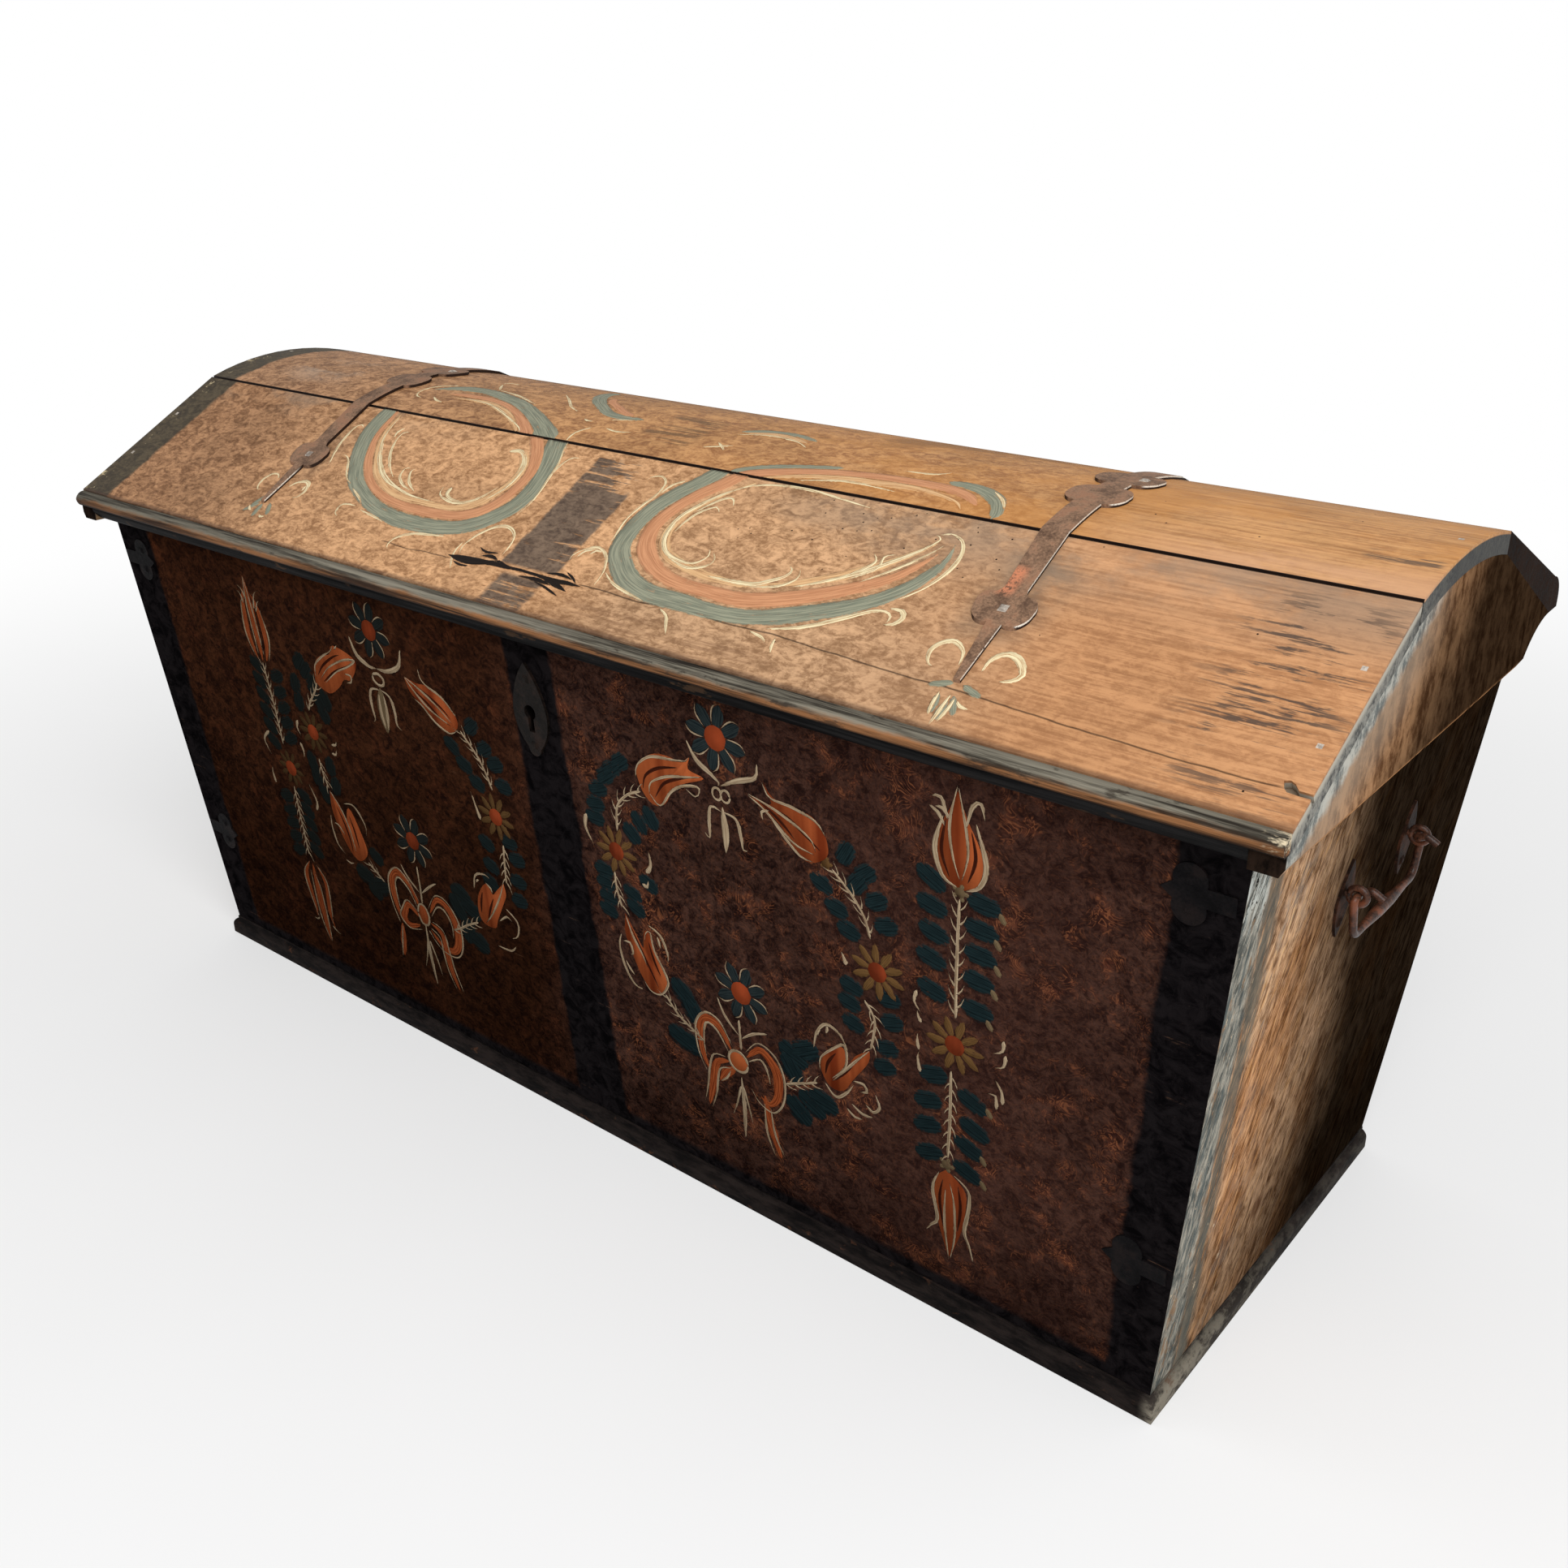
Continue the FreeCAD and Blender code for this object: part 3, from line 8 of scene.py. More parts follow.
import bmesh
import bpy
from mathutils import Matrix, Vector


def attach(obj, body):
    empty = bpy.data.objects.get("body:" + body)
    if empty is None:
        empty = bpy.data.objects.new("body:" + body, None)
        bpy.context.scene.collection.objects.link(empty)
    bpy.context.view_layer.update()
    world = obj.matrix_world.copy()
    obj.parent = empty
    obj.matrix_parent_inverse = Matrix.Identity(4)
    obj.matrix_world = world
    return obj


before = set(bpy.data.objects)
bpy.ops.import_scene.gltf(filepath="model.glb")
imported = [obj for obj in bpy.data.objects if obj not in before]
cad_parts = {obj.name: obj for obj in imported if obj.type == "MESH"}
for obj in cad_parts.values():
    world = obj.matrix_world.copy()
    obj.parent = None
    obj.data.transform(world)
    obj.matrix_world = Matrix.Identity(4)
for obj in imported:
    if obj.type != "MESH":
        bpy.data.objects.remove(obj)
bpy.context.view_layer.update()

LOG = logging.getLogger("trunk")
MM = 0.001
JOINT_STRIP = 1.2  # bare strip beside the joint of the lid's two boards, in millimetres
HOLE_TONE = (28, 17, 12)
Socket = bpy.types.NodeSocket
Point = tuple[float, ...]
Triple = tuple[float, float, float]


def tone(red: float, green: float, blue: float) -> tuple[float, float, float, float]:
    """Turns an eye tone into a linear paint colour.

    Args:
        red: red from 0 to 255.
        green: green from 0 to 255.
        blue: blue from 0 to 255.

    Returns:
        The linear colour with full cover.
    """
    shares = [channel / 255 for channel in (red, green, blue)]
    linear = [s / 12.92 if s <= 0.04045 else ((s + 0.055) / 1.055) ** 2.4 for s in shares]
    return (*linear, 1.0)


@dataclass(frozen=True)
class TrunkSizes:
    """The faces that the paint lies on, in millimetres in the trunk's own frame.

    Fields: level from which the work on the front is measured down; y of the front at the floor and
    its lean; x of a side at the floor and its lean; middle and half depth of the case at the floor;
    joint of the lid's two boards; the slope's cosine, sine and run; y of the lid's front edge; the
    crown's centre and radius; x of the lid's end.
    """

    level: float = 470.0
    front_foot: float = -187.2
    front_lean: float = 0.07551
    side_foot: float = 545.0
    side_lean: float = 0.08878
    middle: float = 5.8
    half_depth: float = 193.0
    joint_y: float = -80.2
    joint_z: float = 575.0
    slope_cos: float = 0.8794
    slope_sin: float = 0.4761
    slope_run: float = 178.53
    lid_front: float = -237.2
    crown_centre_y: float = 8.80
    crown_centre_z: float = 303.2
    crown_radius: float = 286.0
    lid_end: float = 610.0

    @property
    def front_run(self) -> float:
        """Share of a step square to the front that goes straight ahead."""
        return 1.0 / math.hypot(1.0, self.front_lean)


TRUNK = TrunkSizes()


# ---------------------------------------------------------------- shading


class Shade:
    """A material whose nodes are written as sums over the wood's own millimetres."""

    def __init__(self, name: str) -> None:
        """Starts a material.

        Args:
            name: the material's name.
        """
        self.material = bpy.data.materials.new(name)
        self.material.use_nodes = True
        self.tree = self.material.node_tree
        self.tree.nodes.clear()
        out = self.add("ShaderNodeOutputMaterial")
        self.body = self.add("ShaderNodeBsdfPrincipled")
        self.tree.links.new(self.body.outputs[0], out.inputs["Surface"])
        grid = self.add("ShaderNodeTexCoord").outputs["Object"]
        scale = self.add("ShaderNodeVectorMath", operation="SCALE")
        self.tree.links.new(grid, scale.inputs[0])
        scale.inputs["Scale"].default_value = 1000.0
        self.place = scale.outputs[0]
        self.x, self.y, self.z = self.split(self.place)

    def add(self, kind: str, **settings: object) -> bpy.types.Node:
        """Adds a node.

        Args:
            kind: the node's type.
            **settings: properties of the node.

        Returns:
            The node.
        """
        node = self.tree.nodes.new(kind)
        for key, value in settings.items():
            setattr(node, key, value)
        return node

    def feed(self, socket: Socket, value: object) -> None:
        """Links a socket or sets its number.

        Args:
            socket: the input to fill.
            value: a socket or a number.
        """
        if isinstance(value, bpy.types.NodeSocket):
            self.tree.links.new(value, socket)
        else:
            socket.default_value = value

    def split(self, vector: Socket) -> tuple[Socket, Socket, Socket]:
        """Gives the three numbers of a vector.

        Args:
            vector: the vector.

        Returns:
            Its three numbers.
        """
        node = self.add("ShaderNodeSeparateXYZ")
        self.feed(node.inputs[0], vector)
        return node.outputs[0], node.outputs[1], node.outputs[2]

    def join(self, x: object, y: object, z: object) -> Socket:
        """Makes a vector of three numbers.

        Args:
            x: the first number.
            y: the second number.
            z: the third number.

        Returns:
            The vector.
        """
        node = self.add("ShaderNodeCombineXYZ")
        for socket, value in zip(node.inputs, (x, y, z)):
            self.feed(socket, value)
        return node.outputs[0]

    def sum(self, operation: str, first: object, second: object = 0.0) -> Socket:
        """Works out one sum.

        Args:
            operation: the Math node's operation.
            first: its first number.
            second: its second number.

        Returns:
            The result.
        """
        node = self.add("ShaderNodeMath", operation=operation)
        self.feed(node.inputs[0], first)
        self.feed(node.inputs[1], second)
        return node.outputs[0]

    def plus(self, first: object, second: object) -> Socket:
        """Adds two numbers."""
        return self.sum("ADD", first, second)

    def times(self, first: object, second: object) -> Socket:
        """Multiplies two numbers."""
        return self.sum("MULTIPLY", first, second)

    def most(self, *masks: object) -> Socket:
        """Gives the largest of several masks.

        Args:
            *masks: the masks.

        Returns:
            The largest.
        """
        result = masks[0]
        for mask in masks[1:]:
            result = self.sum("MAXIMUM", result, mask)
        return result

    def all_of(self, *masks: object) -> Socket:
        """Multiplies several masks.

        Args:
            *masks: the masks.

        Returns:
            Their product.
        """
        result = masks[0]
        for mask in masks[1:]:
            result = self.times(result, mask)
        return result

    def line(self, a: float, b: float, c: float, d: float) -> Socket:
        """Gives a x + b y + c z + d.

        Args:
            a: share of x.
            b: share of y.
            c: share of z.
            d: what is added.

        Returns:
            The sum.
        """
        turned = self.add("ShaderNodeVectorMath", operation="DOT_PRODUCT")
        self.feed(turned.inputs[0], self.place)
        turned.inputs[1].default_value = (a, b, c)
        return self.plus(turned.outputs["Value"], d)

    def span(self, value: object, low: float, high: float, start: float = 0.0, end: float = 1.0) -> Socket:
        """Eases from one number to another as a value crosses a range.

        Args:
            value: the value.
            low: where the change begins.
            high: where it ends.
            start: the result below the range.
            end: the result above it.

        Returns:
            The eased number.
        """
        node = self.add("ShaderNodeMapRange", interpolation_type="SMOOTHSTEP")
        for socket, number in zip(node.inputs, (value, low, high, start, end)):
            self.feed(socket, number)
        return node.outputs[0]

    def within(self, value: object, low: float, high: float, soft: float = 1.0) -> Socket:
        """Masks the values between two numbers with soft edges."""
        rise = self.span(value, low - soft, low + soft)
        return self.times(rise, self.span(value, high - soft, high + soft, 1.0, 0.0))

    def patch(self, u: Socket, v: Socket, box: tuple[float, float, float, float], soft: float) -> Socket:
        """Masks a soft box in two coordinates.

        Args:
            u: the first coordinate.
            v: the second.
            box: lowest and highest u, lowest and highest v.
            soft: half the width of its edge.

        Returns:
            The mask.
        """
        return self.times(self.within(u, box[0], box[1], soft), self.within(v, box[2], box[3], soft))

    def noise(self, size: float, detail: float = 4.0, rough: float = 0.6,
              stretch: Point = (1.0, 1.0, 1.0), seed: float = 0.0, at: Socket | None = None,
              curl: float = 0.0) -> Socket:
        """Gives cloudy noise.

        Args:
            size: size of its clouds in millimetres.
            detail: number of finer layers.
            rough: strength of the finer layers.
            stretch: shares along x, y and z, where a small share draws it out.
            seed: shift that makes it another noise.
            at: where it is read, if not on the wood.
            curl: how far it is stirred.

        Returns:
            The noise, about 0.5.
        """
        move = self.add("ShaderNodeVectorMath", operation="MULTIPLY_ADD")
        self.feed(move.inputs[0], at or self.place)
        move.inputs[1].default_value = tuple(share / size for share in stretch)
        move.inputs[2].default_value = (seed * 1.7, seed * 0.9, seed * 2.3)
        node = self.add("ShaderNodeTexNoise")
        self.feed(node.inputs["Vector"], move.outputs[0])
        node.inputs["Scale"].default_value = 1.0
        node.inputs["Detail"].default_value = detail
        node.inputs["Roughness"].default_value = rough
        node.inputs["Distortion"].default_value = curl
        return node.outputs[0]

    def threads(self, field: Socket, count: float, thin: float) -> Socket:
        """Masks thin lines where a smooth field passes even steps, as growth rings do.

        Args:
            field: the smooth field.
            count: lines from 0 to 1 of the field.
            thin: share of the gap between two lines that a line leaves bare.

        Returns:
            The mask.
        """
        return self.span(self.sum("SINE", self.times(field, math.tau * count)), 2.0 * thin - 1.0, 1.0)

    def dots(self, size: float, radius: float, stretch: Point = (1.0, 1.0, 1.0)) -> Socket:
        """Masks scattered dots.

        Args:
            size: their usual spacing in millimetres.
            radius: radius as a share of the spacing.
            stretch: shares along x, y and z.

        Returns:
            The mask.
        """
        move = self.add("ShaderNodeVectorMath", operation="MULTIPLY")
        self.feed(move.inputs[0], self.place)
        move.inputs[1].default_value = tuple(share / size for share in stretch)
        node = self.add("ShaderNodeTexVoronoi")
        self.feed(node.inputs["Vector"], move.outputs[0])
        node.inputs["Scale"].default_value = 1.0
        return self.span(node.outputs["Distance"], radius * 0.7, radius, 1.0, 0.0)

    def mix(self, share: object, first: object, second: object) -> Socket:
        """Mixes two colours.

        Args:
            share: share of the second.
            first: the first colour.
            second: the second colour.

        Returns:
            The mixed colour.
        """
        node = self.add("ShaderNodeMix", data_type="RGBA")
        self.feed(node.inputs[0], share)
        self.feed(node.inputs[6], first)
        self.feed(node.inputs[7], second)
        return node.outputs[2]

    def blend(self, field: object, low: float, high: float, first: Triple, second: Triple) -> Socket:
        """Eases from one eye tone to another as a field crosses a range.

        Args:
            field: the field.
            low: where the change begins.
            high: where it ends.
            first: the tone below the range.
            second: the tone above it.

        Returns:
            The colour.
        """
        return self.mix(self.span(field, low, high), tone(*first), tone(*second))

    def sway(self, noise: Socket, reach: float) -> Socket:
        """Centres a noise on nought and gives it a reach."""
        return self.times(self.plus(noise, -0.5), reach)

    def hypotenuse(self, across: Socket, up: Socket) -> Socket:
        """Gives the length of a line from its two legs."""
        return self.sum("SQRT", self.plus(self.times(across, across), self.times(up, up)))

    def down_slope(self) -> Socket:
        """Gives how far down the lid's slope a point lies from the joint."""
        return self.line(0.0, -TRUNK.slope_cos, -TRUNK.slope_sin,
                         TRUNK.slope_cos * TRUNK.joint_y + TRUNK.slope_sin * TRUNK.joint_z)

    def off_slope(self) -> Socket:
        """Gives how far outside the lid's slope a point lies."""
        return self.line(0.0, -TRUNK.slope_sin, TRUNK.slope_cos,
                         TRUNK.slope_sin * TRUNK.joint_y - TRUNK.slope_cos * TRUNK.joint_z)

    def off_crown(self) -> Socket:
        """Gives how far outside the lid's crown a point lies."""
        across, up = self.plus(self.y, -TRUNK.crown_centre_y), self.plus(self.z, -TRUNK.crown_centre_z)
        return self.plus(self.hypotenuse(across, up), -TRUNK.crown_radius)

    def away(self, mask: object) -> Socket:
        """Turns a mask round."""
        return self.sum("SUBTRACT", 1.0, mask)

    def dim(self, colour: object, share: object) -> Socket:
        """Darkens a colour to a share of itself."""
        return self.mix(share, (0.0, 0.0, 0.0, 1.0), colour)

    def cover(self, colour: object, *coats: tuple[object, object]) -> Socket:
        """Lays coats over a colour.

        Args:
            colour: the first colour.
            *coats: pairs of a mask and a colour, in order.

        Returns:
            The colour on top.
        """
        for mask, coat in coats:
            colour = self.mix(mask, colour, coat)
        return colour

    def finish(self, colour: object, rough: object, height: Socket | None = None,
               depth: float = 0.3, metal: float = 0.0, gloss: float = 0.5) -> bpy.types.Material:
        """Joins the results to the shader.

        Args:
            colour: base colour.
            rough: roughness.
            height: relief from 0 to 1, if any.
            depth: depth of the relief in millimetres.
            metal: share of bare metal.
            gloss: specular level.

        Returns:
            The material.
        """
        self.feed(self.body.inputs["Base Color"], colour)
        self.feed(self.body.inputs["Roughness"], rough)
        self.body.inputs["Metallic"].default_value = metal
        self.body.inputs["Specular IOR Level"].default_value = gloss
        if height is not None:
            bump = self.add("ShaderNodeBump")
            bump.inputs["Strength"].default_value = 1.0
            bump.inputs["Distance"].default_value = depth * MM
            self.feed(bump.inputs["Height"], height)
            self.feed(self.body.inputs["Normal"], bump.outputs[0])
        return self.material


@dataclass
class Coat:
    """What a paint gives at a point of the wood."""

    colour: object
    rough: object
    height: Socket
    depth: float = 0.3
    gloss: float = 0.04


class BoardPaint:
    """A painted board: its coat can also lie under the strokes on it."""

    name = "board"

    def lay(self, shade: Shade) -> Coat:
        """Builds the coat in a material.

        Args:
            shade: the material.

        Returns:
            The coat.
        """
        raise NotImplementedError

    def material(self) -> bpy.types.Material:
        """Gives the board's own material.

        Returns:
            The material.
        """
        shade = Shade(self.name)
        coat = self.lay(shade)
        return shade.finish(coat.colour, coat.rough, coat.height, coat.depth, gloss=coat.gloss)

    def age(self, shade: Shade, pigment: Socket, layer: int) -> Socket:
        """Gives the colour of a stroke on the board; the front's paint darkens it with painted shade and age,
        and this base leaves it unchanged.

        Args:
            shade: the stroke's material.
            pigment: its fresh colour.
            layer: its place in the order of painting.

        Returns:
            The colour.
        """
        return pigment

    @staticmethod
    def pine(shade: Shade, stretch: Point, at: Socket | None = None) -> Socket:
        """Gives old unpainted pine.

        Args:
            shade: the material.
            stretch: shares that draw the grain out along the board.
            at: where it is read, if not on the wood.

        Returns:
            Its colour.
        """
        s = shade
        ring = s.threads(s.noise(60.0, 1.0, 0.5, stretch, 31.0, at, 0.4), 13.0, 0.3)
        fibre = s.noise(1.8, 4.0, 0.6, stretch, 12.0, at)
        stain = s.noise(48.0, 5.0, 0.66, (0.5, 0.5, 1.0), 57.0)
        wood = s.blend(stain, 0.34, 0.66, (118, 92, 66), (166, 136, 102))
        wood = s.cover(wood, (s.times(ring, 0.42), tone(112, 78, 48)),
                       (s.times(s.span(stain, 0.62, 0.74), 0.4), tone(84, 66, 50)))
        return s.dim(wood, s.span(fibre, 0.3, 0.7, 0.74, 1.04))


class FrontPaint(BoardPaint):
    """Red-brown mottled paint of the front with its black uprights."""

    name = "front_paint"
    clear_layer = 2

    def black_parts(self, s: Shade, drop: Socket) -> Socket:
        """Masks the black upright in the middle, the black ends and the black foot.

        Args:
            s: the material.
            drop: how far below the level of the front's work a point lies.

        Returns:
            The mask.
        """
        edge = s.plus(s.x, s.sway(s.noise(26.0, 4.0, 0.6, seed=2.0), 12.0))
        sides = []
        for lean, low, high, start in ((-0.0269, -29.0, -24.0, 0.0), (-0.0493, 22.0, 27.0, 1.0),
                                       (-0.0605, -537.0, -531.0, 1.0), (0.07, 539.0, 545.0, 0.0)):
            sides.append(s.span(s.plus(edge, s.times(drop, lean)), low, high, start, 1.0 - start))
        upright = s.times(sides[0], sides[1])
        return s.most(upright, sides[2], sides[3], s.span(drop, 436.0, 444.0))

    def lay(self, shade: Shade) -> Coat:
        """Builds the coat in a material, as its parent does.

        Args:
            shade: the material.

        Returns:
            The coat.
        """
        s = shade
        drop = s.sum("SUBTRACT", TRUNK.level, s.z)
        cloud = s.noise(85.0, 3.0, 0.5, seed=5.0)
        mottle = s.noise(13.0, 6.0, 0.7, (0.85, 1.0, 1.0), 11.0, curl=0.8)
        fleck = s.noise(3.4, 5.0, 0.75, (0.8, 1.0, 1.1), 3.0)
        grain = s.noise(4.0, 4.0, 0.6, (0.05, 1.0, 1.0), 8.0)
        right = s.span(s.plus(s.x, s.times(cloud, 90.0)), -30.0, 110.0)
        # The left is warmer and the right more mauve; the left is also a little darker, which is partly
        # painted shade.
        dark = s.mix(right, tone(29, 15, 10), tone(25, 14, 13))
        light = s.mix(right, tone(62, 35, 21), tone(68, 46, 38))
        body = s.mix(s.span(s.plus(s.times(mottle, 0.6), s.times(fleck, 0.4)), 0.38, 0.64), dark, light)
        patch = s.span(s.noise(36.0, 5.0, 0.7, seed=41.0), 0.5, 0.66)
        curls = s.threads(s.noise(17.0, 2.0, 0.6, seed=29.0, curl=1.4), 9.0, 0.62)
        rust = s.times(patch, s.plus(0.16, s.times(right, 0.24)))
        body = s.cover(body, (rust, s.blend(mottle, 0.4, 0.62, (44, 20, 14), (108, 56, 34))),
                       (s.all_of(curls, right, s.plus(0.1, s.times(patch, 0.7))), tone(122, 74, 48)),
                       (s.times(s.span(s.noise(11.0, 4.0, 0.7, seed=59.0, curl=1.5), 0.53, 0.64), 0.66),
                        tone(16, 8, 8)))
        rose = s.within(s.x, 280.0, 520.0, 90.0)
        body = s.cover(body, (s.times(rose, 0.12), tone(84, 52, 44)))
        # Painted shade: the front darkens towards the bottom, starting higher up at the left; the cloud adds
        # random tone.
        low = s.mix(right, s.span(drop, 60.0, 430.0, 1.0, 0.5), s.span(drop, 300.0, 470.0, 1.0, 0.5))
        body = s.dim(body, s.times(low, s.span(cloud, 0.3, 0.7, 0.8, 1.15)))
        soot = s.blend(mottle, 0.35, 0.65, (7, 6, 7), (24, 21, 22))
        soot = s.cover(soot, (s.times(s.span(fleck, 0.62, 0.75), 0.4), tone(56, 46, 42)))
        body = s.cover(body, (self.black_parts(s, drop), soot))
        scratch = s.times(s.span(grain, 0.66, 0.74), s.span(mottle, 0.45, 0.6))
        body = s.cover(body, (s.times(scratch, 0.25), tone(120, 88, 66)))
        rough = s.span(mottle, 0.3, 0.7, 0.42, 0.6)
        return Coat(body, rough, s.plus(s.times(mottle, 0.6), s.times(grain, 0.5)), 0.35, 0.0)

    def age(self, shade: Shade, pigment: Socket, layer: int) -> Socket:
        """Darkens the colour of a stroke with painted shade that deepens to the left and towards the bottom,
        and darkens the ground coats most at the left.

        Args:
            shade: the stroke's material.
            pigment: its fresh colour.
            layer: its place in the order of painting.

        Returns:
            The darkened colour.
        """
        s = shade
        # Painted shade: strokes darken to the left and towards the bottom, where less light falls.
        painted_shade = s.times(s.span(s.x, -420.0, 160.0, 0.66, 1.0), s.span(s.z, 20.0, 330.0, 0.62, 1.0))
        pigment = s.dim(pigment, painted_shade)
        if layer >= self.clear_layer:
            return pigment
        return s.mix(s.span(s.x, -260.0, 140.0, 0.55, 0.0), pigment, tone(22, 20, 15))


class LidPaint(BoardPaint):
    """Tan mottled paint of the lid, worn along its joint, with a black end and middle band.

    Constants: where the band at the left end stops; boxes, as lowest and highest across and down,
    of the upper and lower middle band and of the flaked strip at the right.
    """

    name = "slope_paint"
    band_end = -566.0
    band_top = (-44.0, 16.0, 9.0, 137.0)
    band_foot = (-34.0, 12.0, 146.0, 180.0)
    flaked = (520.0, 612.0, 14.0, 172.0)

    def ground(self, s: Shade, light: object, dark: object) -> tuple[Socket, Socket, Socket]:
        """Gives the mottled ground of the lid.

        Args:
            s: the material.
            light: its pale tone.
            dark: its dark flecks.

        Returns:
            The colour, the flecks and the fibres.
        """
        fleck = s.noise(11.0, 6.0, 0.68, (0.75, 1.1, 1.0), 21.0, curl=1.0)
        fine = s.noise(3.0, 4.0, 0.7, (0.6, 1.2, 1.0), 7.0)
        fibre = s.noise(2.6, 4.0, 0.6, (0.04, 1.0, 1.0), 17.0)
        cloud = s.noise(70.0, 4.0, 0.6, (0.6, 1.0, 1.0), 2.0)
        smooth = s.span(s.plus(s.x, s.times(cloud, 80.0)), 330.0, 470.0)
        spots = s.plus(s.times(fleck, 0.62), s.times(fine, 0.38))
        veins = s.span(s.plus(s.times(spots, 0.45), s.times(fibre, 0.55)), 0.36, 0.6)
        share = s.mix(smooth, s.span(spots, 0.36, 0.64), s.plus(0.26, s.times(veins, 0.74)))
        body = s.mix(share, dark, light)
        rings = s.threads(s.noise(55.0, 1.0, 0.5, (0.1, 1.0, 1.0), 3.0, curl=0.3), 11.0, 0.5)
        body = s.dim(body, s.away(s.all_of(rings, s.plus(0.2, s.times(smooth, 0.8)), 0.1)))
        body = s.dim(body, s.span(cloud, 0.3, 0.7, 0.83, 1.09))
        return body, spots, fibre

    def end_grain(self, s: Shade, spots: Socket) -> Socket:
        """Gives the bare pine of the board, with grey-blue paint on its two ends.

        Args:
            s: the material.
            spots: the ground's flecks.

        Returns:
            The colour.
        """
        end = s.span(s.sum("ABSOLUTE", s.x), TRUNK.lid_end - 3.0, TRUNK.lid_end - 1.0)
        ash = s.blend(spots, 0.4, 0.58, (58, 58, 56), (140, 138, 130))
        rear = s.span(s.y, -150.0, -20.0, 1.0, 0.22)
        return s.mix(end, self.pine(s, (0.06, 1.0, 1.0)), s.dim(ash, rear))

    def ends(self, s: Shade, body: object, spots: Socket) -> Socket:
        """Lays the dark band at the left end.

        Args:
            s: the material.
            body: the colour below it.
            spots: the ground's flecks.

        Returns:
            The colour.
        """
        wave = s.plus(s.x, s.sway(s.noise(30.0, 4.0, 0.6, seed=9.0), 14.0))
        band = s.span(wave, self.band_end - 3.0, self.band_end + 3.0, 1.0, 0.0)
        chip = s.times(s.span(s.noise(11.0, 5.0, 0.7, seed=50.0), 0.6, 0.66),
                       s.span(s.x, -588.0, -600.0, 0.0, 1.0))
        body = s.cover(body, (band, s.blend(spots, 0.4, 0.6, (58, 50, 39), (90, 79, 62))))
        return s.cover(body, (s.times(chip, 0.9), tone(196, 178, 140)))

    def stains(self, s: Shade, body: object, spots: Socket, fibre: Socket, v: Socket) -> Socket:
        """Lays the deeper orange at the right, the grey rubbing and the soil beside the straps.

        Args:
            s: the material.
            body: the colour below them.
            spots: the ground's flecks.
            fibre: the ground's fibres.
            v: how far down the slope a point lies.

        Returns:
            The colour.
        """
        smoke = s.noise(42.0, 5.0, 0.66, (0.5, 1.0, 1.0), 71.0)
        deep = s.all_of(s.span(s.x, 260.0, 420.0), s.span(s.plus(v, s.times(smoke, 120.0)), 60.0, 150.0), 0.5)
        flecked = s.plus(spots, s.times(fibre, 0.5))
        soiled = s.all_of(s.within(s.x, 60.0, 400.0, 50.0),
                          s.span(s.plus(v, s.times(smoke, 60.0)), 60.0, 190.0, 0.35, 0.9), 0.5)
        along = s.plus(s.x, s.times(v, 0.13))
        halo = s.most(s.within(along, 362.0, 410.0, 16.0),
                      s.times(s.within(along, -362.0, -320.0, 14.0), 0.6))
        halo = s.all_of(halo, s.span(v, 118.0, 84.0), s.span(smoke, 0.34, 0.58), 0.62)
        grey_right = s.all_of(s.span(s.x, 90.0, 260.0), s.span(v, 74.0, 12.0), s.span(smoke, 0.34, 0.58))
        grey_left = s.all_of(s.span(s.x, -120.0, -430.0), s.span(v, 40.0, 0.0), s.span(smoke, 0.42, 0.62))
        return s.cover(body, (deep, s.blend(flecked, 0.62, 0.88, (150, 100, 62), (192, 138, 92))),
                       (soiled, s.blend(spots, 0.4, 0.6, (128, 102, 78), (182, 152, 122))),
                       (halo, tone(106, 95, 82)),
                       (s.times(s.most(grey_right, grey_left), 0.55), tone(136, 120, 104)))

    def middle_band(self, s: Shade, body: object, spots: Socket, torn: Socket, v: Socket) -> Socket:
        """Lays the worn dark band in the middle, above and below the crack.

        Args:
            s: the material.
            body: the colour below it.
            spots: the ground's flecks.
            torn: the noise that tears the band's edges.
            v: how far down the slope a point lies.

        Returns:
            The colour.
        """
        wave = s.plus(s.x, s.sway(s.noise(16.0, 4.0, 0.7, seed=4.0), 9.0))
        fray = s.plus(s.span(v, 12.0, 70.0, -0.03, 0.1), s.span(s.x, -22.0, 14.0, 0.03, -0.05))
        top = s.times(s.patch(wave, v, self.band_top, 2.0), s.span(s.plus(torn, fray), 0.46, 0.51))
        foot = s.times(s.patch(wave, v, self.band_foot, 3.0), s.span(torn, 0.44, 0.5))
        return s.cover(body, (s.times(s.most(top, foot), 0.9),
                              s.blend(spots, 0.38, 0.62, (66, 56, 50), (106, 92, 80))))

    def gaps(self, s: Shade, v: Socket) -> Socket:
        """Masks the hairline cracks, the open joint and the worm holes.

        Args:
            s: the material.
            v: how far down the slope a point lies.

        Returns:
            The mask.
        """
        level = s.plus(v, s.sway(s.noise(60.0, 3.0, 0.5, (1.0, 0.0, 0.0), 3.0), 8.0))
        left_hair = s.all_of(s.within(level, 146.6, 147.4, 0.5), s.within(s.x, -180.0, -96.0, 3.0), 0.7)
        sag = s.plus(level, s.span(s.x, 200.0, 590.0, 0.0, -13.0))
        right_hair = s.all_of(s.within(sag, 139.6, 140.5, 0.6), s.within(s.x, 46.0, 592.0, 3.0), 0.85)
        holes = s.all_of(s.dots(9.0, 0.085), s.within(s.x, 130.0, 430.0, 30.0), s.within(v, 4.0, 62.0, 8.0))
        more = s.all_of(s.dots(22.0, 0.035), s.span(s.x, 100.0, 300.0))
        return s.most(left_hair, right_hair, s.span(v, 2.1, 1.5), holes, more)

